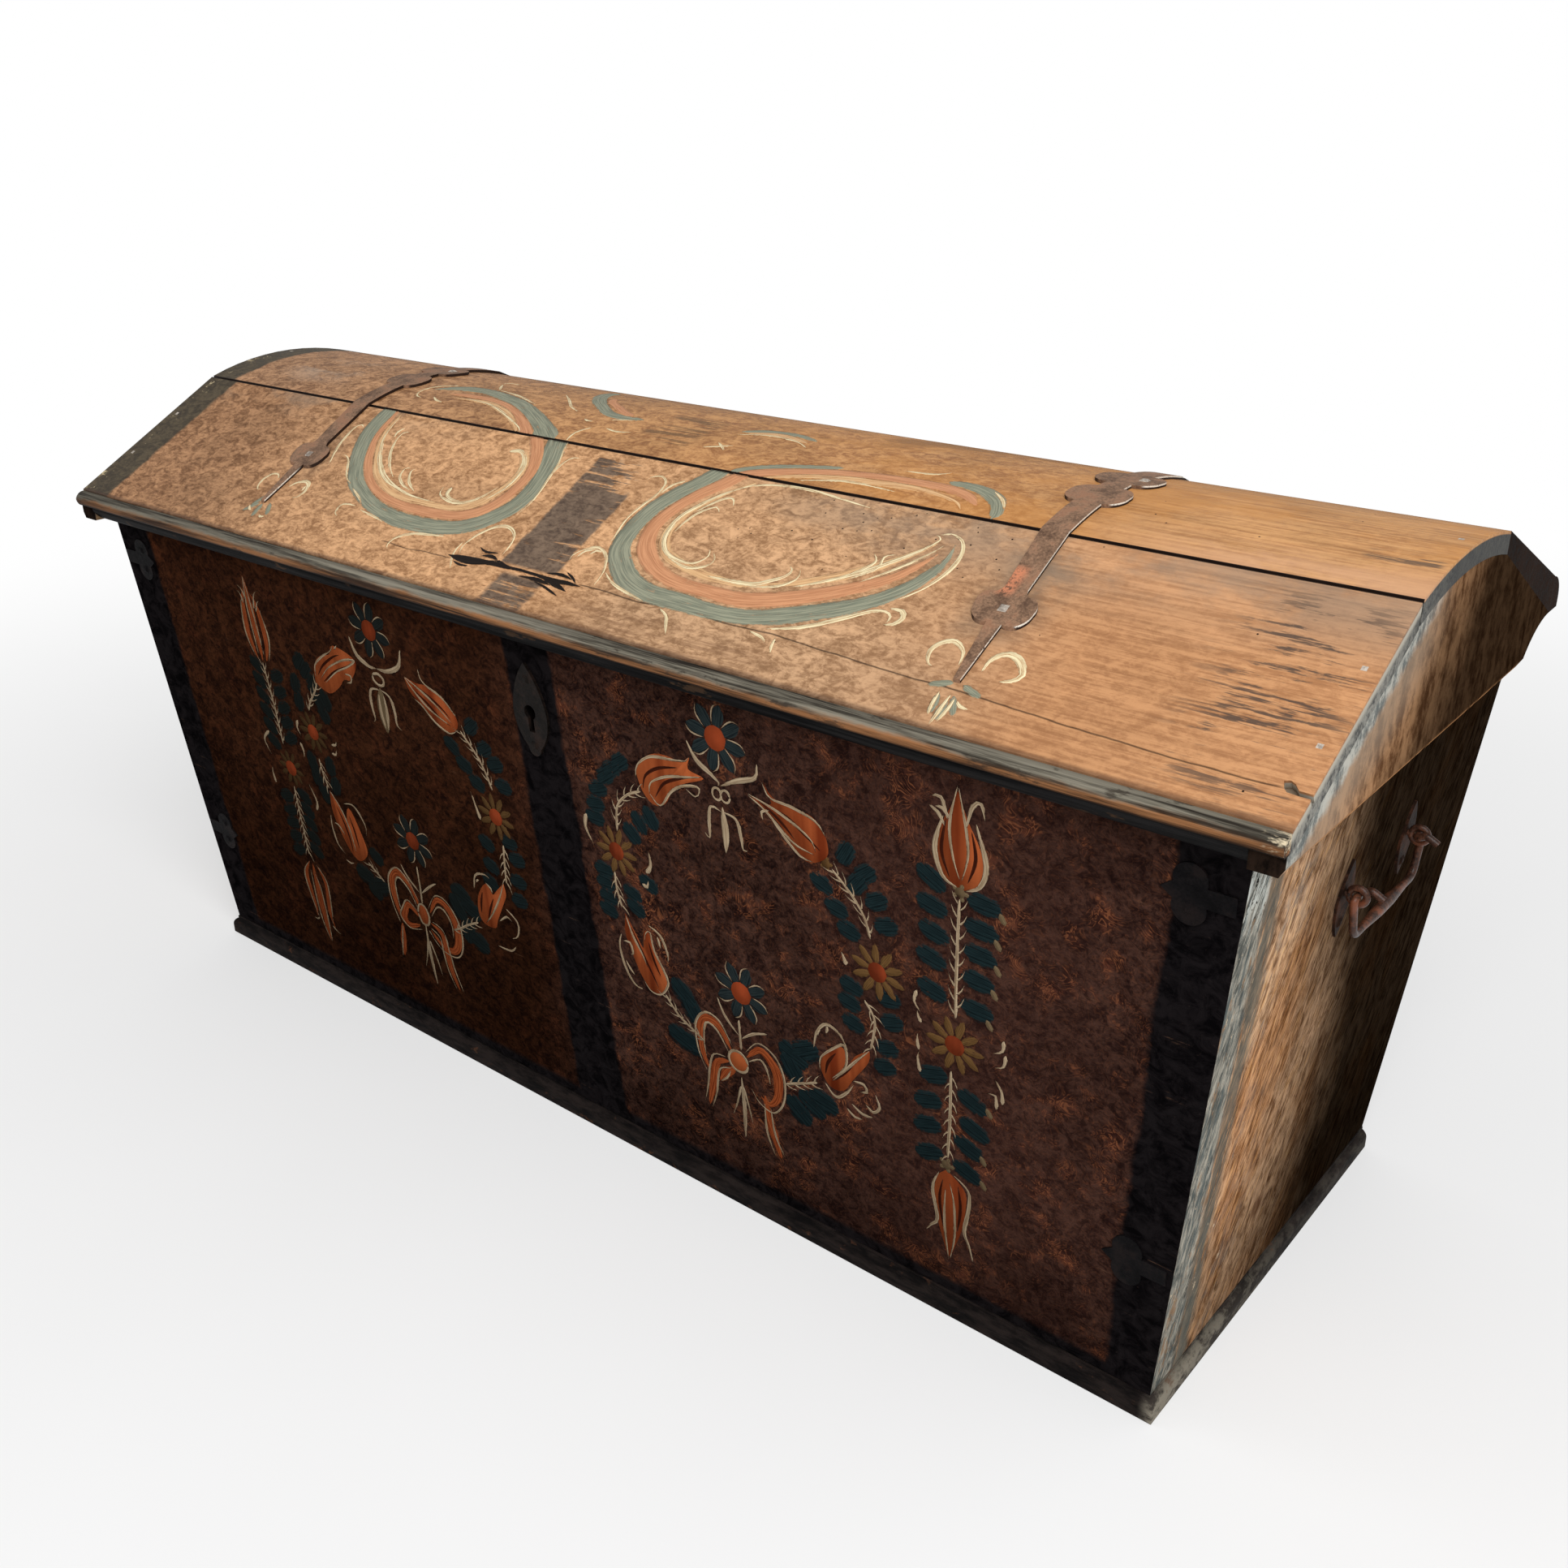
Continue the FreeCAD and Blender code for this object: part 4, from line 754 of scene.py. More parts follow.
    def lay(self, shade: Shade) -> Coat:
        """Builds the coat in a material, as its parent does.

        Args:
            shade: the material.

        Returns:
            The coat.
        """
        s = shade
        v = s.down_slope()
        right = s.span(s.x, 230.0, 460.0)
        # Tan and flecks darker to the left: partly the paint's own tone, partly painted shade.
        tan = s.mix(right, s.blend(s.x, -520.0, -220.0, (186, 140, 102), (224, 174, 128)),
                    tone(203, 152, 110))
        fleck = s.mix(right, s.blend(s.x, -520.0, -200.0, (104, 68, 40), (146, 104, 68)), tone(156, 110, 75))
        body, spots, fibre = self.ground(s, tan, fleck)
        body = self.stains(s, body, spots, fibre, v)
        torn = s.plus(s.times(s.noise(5.0, 5.0, 0.7, (0.06, 1.0, 1.0), 61.0), 0.7), s.times(spots, 0.3))
        body = self.middle_band(s, body, spots, torn, v)
        scuffs = s.plus(torn, s.times(s.noise(30.0, 4.0, 0.6, (0.6, 1.0, 1.0), 88.0), 0.7))
        dirt = s.all_of(s.patch(s.x, v, self.flaked, 26.0), s.span(scuffs, 0.86, 0.94),
                        s.span(s.noise(2.2, 3.0, 0.6, (0.07, 1.0, 1.0), 66.0), 0.42, 0.54), 0.85)
        low = s.all_of(s.within(s.x, 40.0, 240.0, 40.0), s.span(v, 150.0, 160.0), s.span(torn, 0.46, 0.56),
                       0.5)
        body = s.cover(body, (dirt, tone(66, 58, 54)), (low, tone(112, 78, 54)))
        gaps = self.gaps(s, v)
        body = s.cover(self.ends(s, body, spots), (gaps, tone(*HOLE_TONE)),
                       (s.times(s.span(v, 174.0, 178.0), 0.6), tone(70, 50, 40)))
        skin = s.off_slope()
        under = s.mix(s.span(skin, -9.0, -3.0), self.end_grain(s, spots), tone(178, 172, 158))
        colour = s.mix(s.span(skin, -2.4, -1.4), under, body)
        relief = s.sum("SUBTRACT", s.plus(s.times(spots, 0.5), s.times(fibre, 0.6)), s.times(gaps, 1.5))
        return Coat(colour, s.span(spots, 0.35, 0.65, 0.5, 0.66), relief, 0.5, 0.1)


class CrownPaint(LidPaint):
    """Warmer tan of the crown board with a faded middle band.

    Constants: as its parent's, and the box that is bleached at the left.
    """

    name = "crown_paint"
    band_end = -573.0
    band_top = (-39.0, 19.0, 178.0, 240.0)
    flaked = (560.0, 606.0, 190.0, 204.0)
    bleached = (-520.0, -440.0, 190.0, 240.0)

    def lay(self, shade: Shade) -> Coat:
        """Builds the coat in a material, as its parent does.

        Args:
            shade: the material.

        Returns:
            The coat.
        """
        s = shade
        v = s.plus(s.y, -TRUNK.lid_front)
        # Tan and flecks darker to the left: partly the paint's own tone, partly painted shade.
        tan = s.blend(s.x, -560.0, 40.0, (198, 152, 114), (208, 156, 104))
        fleck = s.blend(s.x, -500.0, 150.0, (118, 80, 50), (148, 98, 58))
        body, spots, fibre = self.ground(s, tan, fleck)
        smoke = s.noise(46.0, 5.0, 0.66, (0.4, 1.0, 1.0), 77.0)
        streak = s.noise(5.0, 5.0, 0.7, (0.06, 1.0, 1.0), 61.0)
        amber = s.all_of(s.span(s.x, 0.0, 200.0), s.span(smoke, 0.4, 0.62), 0.45)
        rose = s.all_of(s.span(s.x, 350.0, 520.0), s.span(v, 205.0, 165.0), s.span(smoke, 0.35, 0.55), 0.5)
        band = s.all_of(s.patch(s.x, v, self.band_top, 6.0), s.span(streak, 0.44, 0.54), 0.7)
        stain = s.all_of(s.within(s.x, 40.0, 330.0, 60.0), s.span(smoke, 0.52, 0.66), s.span(v, 190.0, 215.0),
                         0.55)
        pale = s.all_of(s.patch(s.x, v, self.bleached, 30.0), s.span(smoke, 0.45, 0.6), 0.5)
        chipped = s.all_of(s.patch(s.x, v, self.flaked, 4.0), s.span(streak, 0.47, 0.53), 0.8)
        body = s.cover(body, (amber, tone(190, 128, 62)), (rose, tone(206, 164, 134)),
                       (band, tone(96, 74, 52)),
                       (stain, tone(122, 86, 50)), (pale, tone(186, 168, 150)), (chipped, tone(80, 68, 60)))
        body = s.dim(self.ends(s, body, spots), s.span(s.y, 40.0, 80.0, 1.0, 0.72))
        holes = s.all_of(s.dots(20.0, 0.04), s.span(s.x, 60.0, 200.0))
        body = s.cover(body, (s.most(s.span(v, 158.9, 158.3), holes), tone(*HOLE_TONE)))
        colour = s.mix(s.span(s.off_crown(), -2.6, -1.6), self.end_grain(s, spots), body)
        relief = s.plus(s.times(spots, 0.45), s.times(fibre, 0.7))
        return Coat(colour, s.span(spots, 0.35, 0.65, 0.46, 0.62), relief, 0.5, 0.12)


class SidePaint(BoardPaint):
    """Scumbled brown of the case ends, flaked pale at the front, darker to the rear and low down, partly
    painted shade.

    Constant: y and z of the knot.
    """

    name = "side_paint"
    knot_place = (-52.0, 97.0)

    def flakes(self, s: Shade, spots: Socket, fine: Socket, streak: Socket) -> Socket:
        """Gives the pale, flaked colour of the front edge.

        Args:
            s: the material.
            spots: the ground's flecks.
            fine: its fine flecks.
            streak: its upright streaks.

        Returns:
            The colour.
        """
        wear = s.noise(16.0, 6.0, 0.74, (1.0, 1.0, 0.4), 53.0)
        ash = s.cover(
            s.blend(spots, 0.4, 0.6, (84, 86, 82), (178, 172, 158)),
            (s.times(s.span(streak, 0.48, 0.6), 0.7), tone(74, 86, 88)),
            (s.times(s.span(s.z, 390.0, 440.0), s.span(fine, 0.46, 0.58)), tone(206, 210, 204)),
            (s.times(s.span(wear, 0.56, 0.64), 0.7), tone(150, 116, 84)),
            (s.times(s.span(wear, 0.37, 0.32), 0.8), tone(52, 50, 46)),
            (s.times(s.span(s.z, 395.0, 425.0), s.span(s.noise(8.0, 4.0, 0.6, seed=64.0), 0.6, 0.64)),
             tone(34, 30, 28)))
        # Painted shade towards the bottom.
        return s.dim(ash, s.span(s.z, 200.0, 20.0, 1.0, 0.8))

    def lay(self, shade: Shade) -> Coat:
        """Builds the coat in a material, as its parent does.

        Args:
            shade: the material.

        Returns:
            The coat.
        """
        s = shade
        back = s.line(0.0, 1.0, TRUNK.front_lean, -TRUNK.front_foot)
        lean = s.join(s.x, s.plus(s.y, s.times(s.z, -0.32)), s.z)
        blot = s.noise(12.0, 6.0, 0.7, (1.0, 1.0, 0.5), 14.0, curl=0.8)
        fine = s.noise(5.0, 5.0, 0.7, (1.0, 1.0, 0.16), 6.0, lean, 1.2)
        cloud = s.noise(95.0, 4.0, 0.6, (1.0, 1.0, 0.7), 33.0)
        streak = s.noise(5.0, 5.0, 0.68, (1.0, 1.0, 0.08), 23.0)
        spots = s.plus(s.times(blot, 0.5), s.times(fine, 0.5))
        body = s.blend(spots, 0.38, 0.62, (104, 72, 48), (222, 180, 142))
        stain = s.times(s.span(s.noise(30.0, 4.0, 0.7, (1.0, 1.0, 0.6), 73.0), 0.52, 0.62),
                        s.span(back, 150.0, 60.0))
        body = s.cover(body, (s.times(stain, 0.5), tone(128, 128, 124)))
        body = s.cover(body, (s.times(s.span(cloud, 0.46, 0.62), 0.45),
                              s.blend(fine, 0.4, 0.6, (124, 76, 42), (228, 154, 92))))
        body = s.cover(body, (s.times(s.span(fine, 0.6, 0.68), 0.6), tone(226, 190, 138)))
        hairs = s.noise(2.6, 3.0, 0.6, (1.0, 1.0, 0.1), 81.0,
                        s.join(s.x, s.plus(s.y, s.times(s.z, -0.62)), s.z))
        body = s.cover(body, (s.times(s.span(hairs, 0.58, 0.66), 0.5), tone(232, 172, 104)),
                       (s.times(s.span(hairs, 0.4, 0.33), 0.45), tone(92, 60, 40)))
        # Darker to the rear: partly dark paint, partly painted shade.
        reach = s.plus(back, s.sway(cloud, 150.0))
        reach = s.plus(reach, s.times(s.span(s.z, 180.0, 420.0), s.span(back, 60.0, 160.0, 0.0, 40.0)))
        body = s.dim(body, s.span(reach, 50.0, 270.0, 1.0, 0.035))
        # Painted shade towards the bottom.
        body = s.dim(body, s.span(s.z, 200.0, 60.0, 1.0, 0.55))
        near = s.plus(back, s.sway(s.noise(13.0, 5.0, 0.7, (1.0, 1.0, 0.5), 40.0), 18.0))
        teal = s.times(s.within(near, 30.0, 54.0, 7.0), s.span(streak, 0.34, 0.48))
        pale = s.span(near, 36.0, 29.0)
        ash = self.flakes(s, spots, fine, streak)
        body = s.cover(body, (s.times(teal, 0.75), tone(84, 92, 88)), (pale, ash))
        chip = s.times(s.span(s.noise(15.0, 6.0, 0.7, (1.0, 1.0, 0.7), 90.0), 0.64, 0.68),
                       s.span(back, 120.0, 40.0))
        knot = s.hypotenuse(s.plus(s.y, -self.knot_place[0]), s.plus(s.z, -self.knot_place[1]))
        # The last coat is a painted shadow along the top, under the lid's gable.
        body = s.cover(body, (chip, tone(206, 186, 158)),
                       (s.span(knot, 13.0, 5.0, 0.0, 0.7), tone(70, 42, 26)),
                       (s.times(s.span(s.z, 463.0, 468.0), 0.6), tone(70, 56, 46)))
        return Coat(body, s.span(spots, 0.3, 0.7, 0.5, 0.7), s.plus(spots, s.times(streak, 0.6)), 0.6, 0.0)


class BackPaint(BoardPaint):
    """Plain dark brown of the back, which was never decorated."""

    name = "back_paint"

    def __init__(self, lined: bool = False) -> None:
        """Chooses whether the face that looks down is bare.

        Args:
            lined: True for the lid's back board.
        """
        self.lined = lined

    def lay(self, shade: Shade) -> Coat:
        """Builds the coat in a material, as its parent does.

        Args:
            shade: the material.

        Returns:
            The coat.
        """
        s = shade
        grain = s.noise(6.0, 5.0, 0.66, (0.05, 1.0, 1.0), 27.0)
        cloud = s.noise(80.0, 4.0, 0.6, (0.5, 1.0, 1.0), 13.0)
        body = s.mix(s.span(s.plus(s.times(grain, 0.6), s.times(cloud, 0.4)), 0.36, 0.64), tone(24, 16, 13),
                     tone(58, 39, 29))
        # Painted shade: the board's end faces are dimmed to half.
        body = s.dim(body, s.span(s.sum("ABSOLUTE", s.x), TRUNK.lid_end - 4.0, TRUNK.lid_end - 1.0, 1.0, 0.5))
        if self.lined:
            facing = s.split(s.add("ShaderNodeTexCoord").outputs["Normal"])[2]
            body = s.mix(s.span(facing, -0.1, -0.4), body, self.pine(s, (0.05, 1.0, 1.0)))
        return Coat(body, s.span(grain, 0.3, 0.7, 0.6, 0.78), grain, 0.5, 0.02)


class CasePaint(BoardPaint):
    """The case's paint, which covers its dovetails: each face has its own, and the inside is bare."""

    name = "case_paint"
    key_place = (-3.0, 400.5)

    def lay(self, shade: Shade) -> Coat:
        """Builds the coat in a material, as its parent does.

        Args:
            shade: the material.

        Returns:
            The coat.
        """
        s = shade
        front, side, back = FrontPaint().lay(s), SidePaint().lay(s), BackPaint().lay(s)
        run = TRUNK.front_run
        ahead = s.line(0.0, -run, -run * TRUNK.front_lean, run * TRUNK.front_foot)
        beside = s.plus(s.plus(s.sum("ABSOLUTE", s.x), s.times(s.z, -TRUNK.side_lean)), -TRUNK.side_foot)
        behind = s.line(0.0, 1.0, -TRUNK.front_lean, -TRUNK.middle - TRUNK.half_depth)
        across = s.span(beside, -27.0, -25.0)
        colour = self.pine(s, (0.05, 1.0, 1.0), s.mix(across, s.place, s.join(s.y, s.x, s.z)))
        for skin, coat in ((behind, back), (beside, side), (ahead, front)):
            on = s.span(skin, -1.2, -0.4)
            colour = s.mix(on, colour, coat.colour)
        # Painted shade: the wood round the keyhole inside the board is painted near-black.
        hole = s.hypotenuse(s.plus(s.x, -self.key_place[0]), s.plus(s.z, -self.key_place[1]))
        dark = s.times(s.span(hole, 26.0, 22.0), s.within(ahead, -40.0, -0.4, 0.3))
        colour = s.cover(colour, (dark, tone(12, 9, 8)))
        skin = s.span(ahead, -1.2, -0.4)
        height = s.plus(s.times(skin, front.height), s.times(s.away(skin), side.height))
        return Coat(colour, 0.6, height, 0.5, 0.0)


class GablePaint(BoardPaint):
    """Worn brown of the lid ends, pale and blue-grey along the slope, darker to the rear, partly painted
    shade.
    """

    name = "gable_paint"

    def lay(self, shade: Shade) -> Coat:
        """Builds the coat in a material, as its parent does.

        Args:
            shade: the material.

        Returns:
            The coat.
        """
        s = shade
        back = s.plus(s.y, -TRUNK.lid_front)
        blot = s.noise(10.0, 6.0, 0.72, (1.0, 1.0, 0.7), 18.0)
        streak = s.noise(6.0, 5.0, 0.7, (1.0, 0.5, 0.12), 28.0)
        cloud = s.noise(70.0, 4.0, 0.6, seed=36.0)
        spots = s.plus(s.times(blot, 0.6), s.times(streak, 0.4))
        body = s.blend(spots, 0.38, 0.6, (110, 74, 48), (192, 146, 106))
        # Darker to the rear and lower down: partly dark paint, partly painted shade.
        reach = s.plus(back, s.sway(cloud, 130.0))
        reach = s.plus(reach, s.times(s.sum("SUBTRACT", TRUNK.joint_z, s.z), 0.8))
        body = s.dim(body, s.span(reach, 130.0, 320.0, 1.0, 0.09))
        slope = s.off_slope()
        near = s.plus(slope, s.sway(s.noise(14.0, 5.0, 0.7, seed=44.0), 18.0))
        fade = s.span(back, 230.0, 150.0)
        grey = s.all_of(s.span(near, -74.0, -30.0, 0.0, 0.6), fade)
        ash = s.blend(spots, 0.42, 0.58, (104, 108, 106), (186, 184, 174))
        body = s.cover(body, (grey, tone(150, 136, 120)), (s.times(s.span(near, -30.0, -20.0), fade), ash))
        foot = s.times(s.span(s.z, 470.0, 464.0), s.span(streak, 0.4, 0.5))
        body = s.cover(body, (s.times(foot, 0.7), tone(196, 142, 96)))
        body = s.cover(body, (s.span(s.y, -239.0, -241.0),
                              s.blend(spots, 0.4, 0.6, (12, 9, 8), (38, 28, 22))))
        end = s.plus(s.sum("ABSOLUTE", s.x), -TRUNK.lid_end)
        skin = s.most(s.span(end, -6.0, -4.0), s.span(s.y, -239.0, -241.0))
        colour = s.mix(skin, self.pine(s, (1.0, 0.08, 1.0)), body)
        return Coat(colour, s.span(spots, 0.3, 0.7, 0.5, 0.7), spots, 0.5, 0.0)


class BeadPaint(BoardPaint):
    """Worn grey-green bead along the lid's foot with bare tan streaks below."""

    name = "bead_paint"

    def lay(self, shade: Shade) -> Coat:
        """Builds the coat in a material, as its parent does.

        Args:
            shade: the material.

        Returns:
            The coat.
        """
        s = shade
        streak = s.noise(5.0, 5.0, 0.7, (0.03, 1.0, 1.0), 38.0)
        chip = s.noise(16.0, 5.0, 0.72, (0.3, 1.0, 1.0), 48.0)
        top = s.blend(streak, 0.36, 0.62, (48, 44, 38), (132, 126, 112))
        low = s.blend(streak, 0.38, 0.62, (50, 33, 22), (148, 102, 66))
        turn = s.span(s.plus(s.z, s.sway(chip, 9.0)), 481.5, 485.5)
        body = s.mix(turn, low, top)
        # Painted shade: the bead darkens to the left.
        body = s.dim(body, s.span(s.x, -560.0, -100.0, 0.72, 1.0))
        body = s.cover(body, (s.times(s.span(chip, 0.58, 0.66), 0.7), tone(44, 36, 30)))
        body = s.cover(body, (s.span(s.z, 479.0, 476.0), tone(22, 18, 16)))
        seam = s.times(s.span(s.z, 486.5, 489.0), s.span(streak, 0.36, 0.5, 1.0, 0.35))
        body = s.cover(body, (seam, tone(26, 20, 17)))
        end = s.times(s.span(s.x, 592.0, 604.0), s.span(chip, 0.5, 0.58))
        body = s.cover(body, (end, tone(206, 190, 160)))
        return Coat(body, 0.55, streak, 0.3)


class LipPaint(BoardPaint):
    """Blue-black lip below the bead."""

    name = "lip_paint"

    def lay(self, shade: Shade) -> Coat:
        """Builds the coat in a material, as its parent does.

        Args:
            shade: the material.

        Returns:
            The coat.
        """
        s = shade
        streak = s.noise(6.0, 5.0, 0.7, (0.04, 1.0, 1.0), 55.0)
        chip = s.noise(24.0, 5.0, 0.7, (0.4, 1.0, 1.0), 65.0)
        body = s.blend(streak, 0.36, 0.64, (10, 10, 11), (34, 33, 33))
        body = s.cover(body, (s.times(s.span(chip, 0.62, 0.68), 0.6), tone(78, 58, 42)))
        return Coat(body, 0.6, streak, 0.3, 0.02)


class MouldingPaint(BoardPaint):
    """Black base moulding, rubbed to wood in patches and grey at the right."""

    name = "moulding_paint"

    def lay(self, shade: Shade) -> Coat:
        """Builds the coat in a material, as its parent does.

        Args:
            shade: the material.

        Returns:
            The coat.
        """
        s = shade
        grain = s.noise(7.0, 5.0, 0.7, (0.2, 0.2, 1.0), 75.0)
        chip = s.noise(17.0, 6.0, 0.72, (0.5, 0.5, 1.0), 85.0)
        body = s.blend(grain, 0.36, 0.64, (14, 12, 12), (36, 30, 28))
        side = s.times(s.span(s.x, 540.0, 556.0), s.span(s.y, 60.0, -210.0, 0.14, 1.0))
        ash = s.blend(chip, 0.42, 0.58, (72, 66, 60), (160, 152, 136))
        body = s.cover(body, (s.times(side, 0.8), ash))
        body = s.cover(body, (s.times(s.span(chip, 0.6, 0.68), 0.6), tone(84, 56, 40)))
        return Coat(body, 0.6, s.plus(grain, chip), 0.5, 0.02)


class PinePaint(BoardPaint):
    """Bare pine of the floor and till."""

    name = "raw_pine"

    def __init__(self, stretch: Point = (0.05, 1.0, 1.0)) -> None:
        """Chooses the way of the grain.

        Args:
            stretch: shares that draw the grain out along the board.
        """
        self.stretch = stretch

    def lay(self, shade: Shade) -> Coat:
        """Builds the coat in a material, as its parent does.

        Args:
            shade: the material.

        Returns:
            The coat.
        """
        grain = shade.noise(6.0, 5.0, 0.66, self.stretch, 5.0)
        rear = TRUNK.middle + TRUNK.half_depth
        aged = shade.span(shade.y, rear - 5.0, rear - 2.0, 1.0, 0.3)
        return Coat(shade.dim(self.pine(shade, self.stretch), aged), 0.72, grain, 0.4)


@dataclass(frozen=True)
class ForgedIron:
    """Hand-forged iron with a hammered skin, brown rust and bare wear.

    Fields: name; dark, light and rust tones; share of rust; share of bare metal; roughness;
    specular level; box in x and y that is rubbed to copper, if any; whether its edges carry painted
    light: painted shade on the side edges and a painted highlight, partly worn bare metal, on the
    edge that faces right.
    """

    name: str
    dark: Triple
    light: Triple
    rust: Triple = (112, 62, 40)
    rust_share: float = 0.4
    metal: float = 0.35
    rough: float = 0.5
    gloss: float = 0.3
    copper: tuple[float, float, float, float] | None = None
    edge_light_and_shade: bool = False

    def material(self) -> bpy.types.Material:
        """Gives the iron's material.

        Returns:
            The material.
        """
        s = Shade(self.name)
        hammer = s.noise(7.0, 2.0, 0.5, seed=6.0)
        pit = s.noise(1.8, 5.0, 0.7, seed=16.0)
        cloud = s.noise(18.0, 5.0, 0.7, seed=26.0)
        body = s.mix(s.span(s.plus(s.times(cloud, 0.6), s.times(pit, 0.4)), 0.36, 0.64), tone(*self.dark),
                     tone(*self.light))
        rust = s.times(s.span(cloud, 0.48, 0.66), self.rust_share)
        body = s.cover(body, (rust, tone(*self.rust)))
        if self.copper is not None:
            glow = s.patch(s.x, s.y, self.copper, 4.0)
            body = s.cover(body, (s.times(glow, s.span(s.plus(pit, cloud), 0.76, 1.04)), tone(198, 126, 92)))
        # Painted light: the strap's side edges get painted shade, and the edge that faces right a painted
        # highlight, partly worn bare metal.
        if self.edge_light_and_shade:
            facing = s.split(s.add("ShaderNodeTexCoord").outputs["Normal"])[0]
            behind = s.span(s.y, TRUNK.joint_y - 1.0, TRUNK.joint_y + 1.0)
            proud = s.plus(s.times(behind, s.off_crown()), s.times(s.away(behind), s.off_slope()))
            rim = s.all_of(s.span(facing, 0.35, 0.6), s.span(proud, 1.2, 1.6), s.span(pit, 0.34, 0.46),
                           s.most(s.span(s.x, 0.0, 10.0), s.span(s.y, -160.0, -172.0)))
            body = s.cover(body, (s.span(s.sum("ABSOLUTE", facing), 0.35, 0.6), tone(44, 30, 23)),
                           (rim, tone(232, 226, 214)))
        rough = s.plus(self.rough, s.sway(pit, 0.5))
        return s.finish(body, rough, s.plus(hammer, s.times(pit, 0.35)), 0.5, self.metal, self.gloss)


# ---------------------------------------------------------------- brushwork


@dataclass(frozen=True)
class InkRecipe:
    """One pot of the decorator's colour.

    Fields: name; pale and deep tones; share worn away; soft edge in millimetres; streakiness; layer.
    """

    name: str
    pale: Triple
    deep: Triple
    worn: float
    soft: float
    streak: float
    layer: int


class Ink(Enum):
    """The colours that the decorator used."""

    TEAL = InkRecipe("teal", (29, 43, 45), (14, 22, 24), 0.1, 5.2, 0.5, 0)
    PETAL = InkRecipe("petal", (44, 52, 52), (20, 27, 30), 0.06, 1.4, 0.4, 1)
    OCHRE = InkRecipe("ochre", (106, 78, 46), (76, 54, 31), 0.2, 1.6, 0.4, 1)
    ORANGE = InkRecipe("orange", (162, 84, 46), (104, 42, 20), 0.06, 1.0, 0.6, 2)
    RED = InkRecipe("red", (142, 62, 34), (96, 40, 22), 0.06, 1.2, 0.3, 3)
    CREAM = InkRecipe("cream", (178, 158, 130), (124, 104, 80), 0.08, 0.7, 0.5, 4)
    PALE = InkRecipe("pale", (112, 96, 72), (82, 66, 46), 0.2, 1.0, 0.6, 3)
    LID_TEAL = InkRecipe("lid_teal", (150, 150, 128), (112, 116, 100), 0.1, 2.2, 0.7, 0)
    SALMON = InkRecipe("salmon", (206, 148, 108), (178, 122, 86), 0.12, 2.4, 0.7, 1)
    WASH = InkRecipe("wash", (220, 180, 132), (192, 146, 102), 0.24, 2.0, 0.9, 2)
    LID_CREAM = InkRecipe("lid_cream", (242, 226, 184), (192, 170, 130), 0.26, 0.9, 0.7, 3)
    UMBER = InkRecipe("umber", (66, 28, 16), (40, 18, 12), 0.1, 1.0, 0.3, 3)
    CRACK = InkRecipe("crack", (30, 20, 15), (18, 12, 9), 0.0, 0.5, 0.1, 5)


class Stroke(Enum):
    """How wide a stroke is along its length."""

    LINE = "line"
    LEAF = "leaf"
    BLOB = "blob"
    COMMA = "comma"
    SWELL = "swell"

    def share(self, t: float) -> float:
        """Gives the share of the full width at a place from 0 to 1 along the stroke.

        Args:
            t: the place along the stroke.

        Returns:
            The share.
        """
        ends = min(1.0, t / 0.06) * min(1.0, (1.0 - t) / 0.06)
        if self is Stroke.LINE:
            return math.sqrt(max(ends, 0.0))
        if self is Stroke.LEAF:
            return math.sin(math.pi * t) ** 0.7
        if self is Stroke.BLOB:
            return math.sqrt(max(1.0 - abs(2.0 * t - 1.0) ** 2.8, 0.0))
        if self is Stroke.COMMA:
            return math.sqrt(min(1.0, t / 0.1)) * (1.0 - t) ** 0.75
        return 0.3 * math.sqrt(max(ends, 0.0)) + 0.7 * math.sin(math.pi * t) ** 1.2


class FrontFace:
    """The front of the case: across, and down from the rim."""

    body = "case"

    def wrap(self, u: float, v: float, h: float) -> Vector:
        """Places a point of the face, h millimetres proud, in metres.

        Args:
            u: place across.
            v: place down or back.
            h: height over the wood.

        Returns:
            The point.
        """
        run = TRUNK.front_run
        z = TRUNK.level - v * run
        y = TRUNK.front_foot - TRUNK.front_lean * z
        return Vector((u, y - h * run, z - h * run * TRUNK.front_lean)) * MM

    def trim(self, flat: bmesh.types.BMesh) -> None:
        """Leaves the work as it is, because nothing crosses an edge."""


class SlopeFace:
    """The sloping board of the lid: across, and down from its joint."""

    body = "lid"
    sag_left = 5.0
    sag_right = 2.0
    sag_turn = 60.0

    def wrap(self, u: float, v: float, h: float) -> Vector:
        """Places a point of the board, h millimetres proud, in metres.

        Args:
            u: place across.
            v: place down or back.
            h: height over the wood.

        Returns:
            The point.
        """
        return Vector((
            u,
            TRUNK.joint_y - TRUNK.slope_cos * v - TRUNK.slope_sin * h,
            TRUNK.joint_z - TRUNK.slope_sin * v + TRUNK.slope_cos * h,
        )) * MM

    def trim(self, flat: bmesh.types.BMesh) -> None:
        """Settles the work against the joint and cuts it off there.

        Args:
            flat: the flat work.
        """
        for vert in flat.verts:
            share = min(1.0, max(0.0, (vert.co.x + self.sag_turn) / (2.0 * self.sag_turn)))
            sag = self.sag_left + (self.sag_right - self.sag_left) * share
            vert.co.y -= sag * (1.0 - vert.co.y / TRUNK.slope_run)
        cut(flat, JOINT_STRIP)


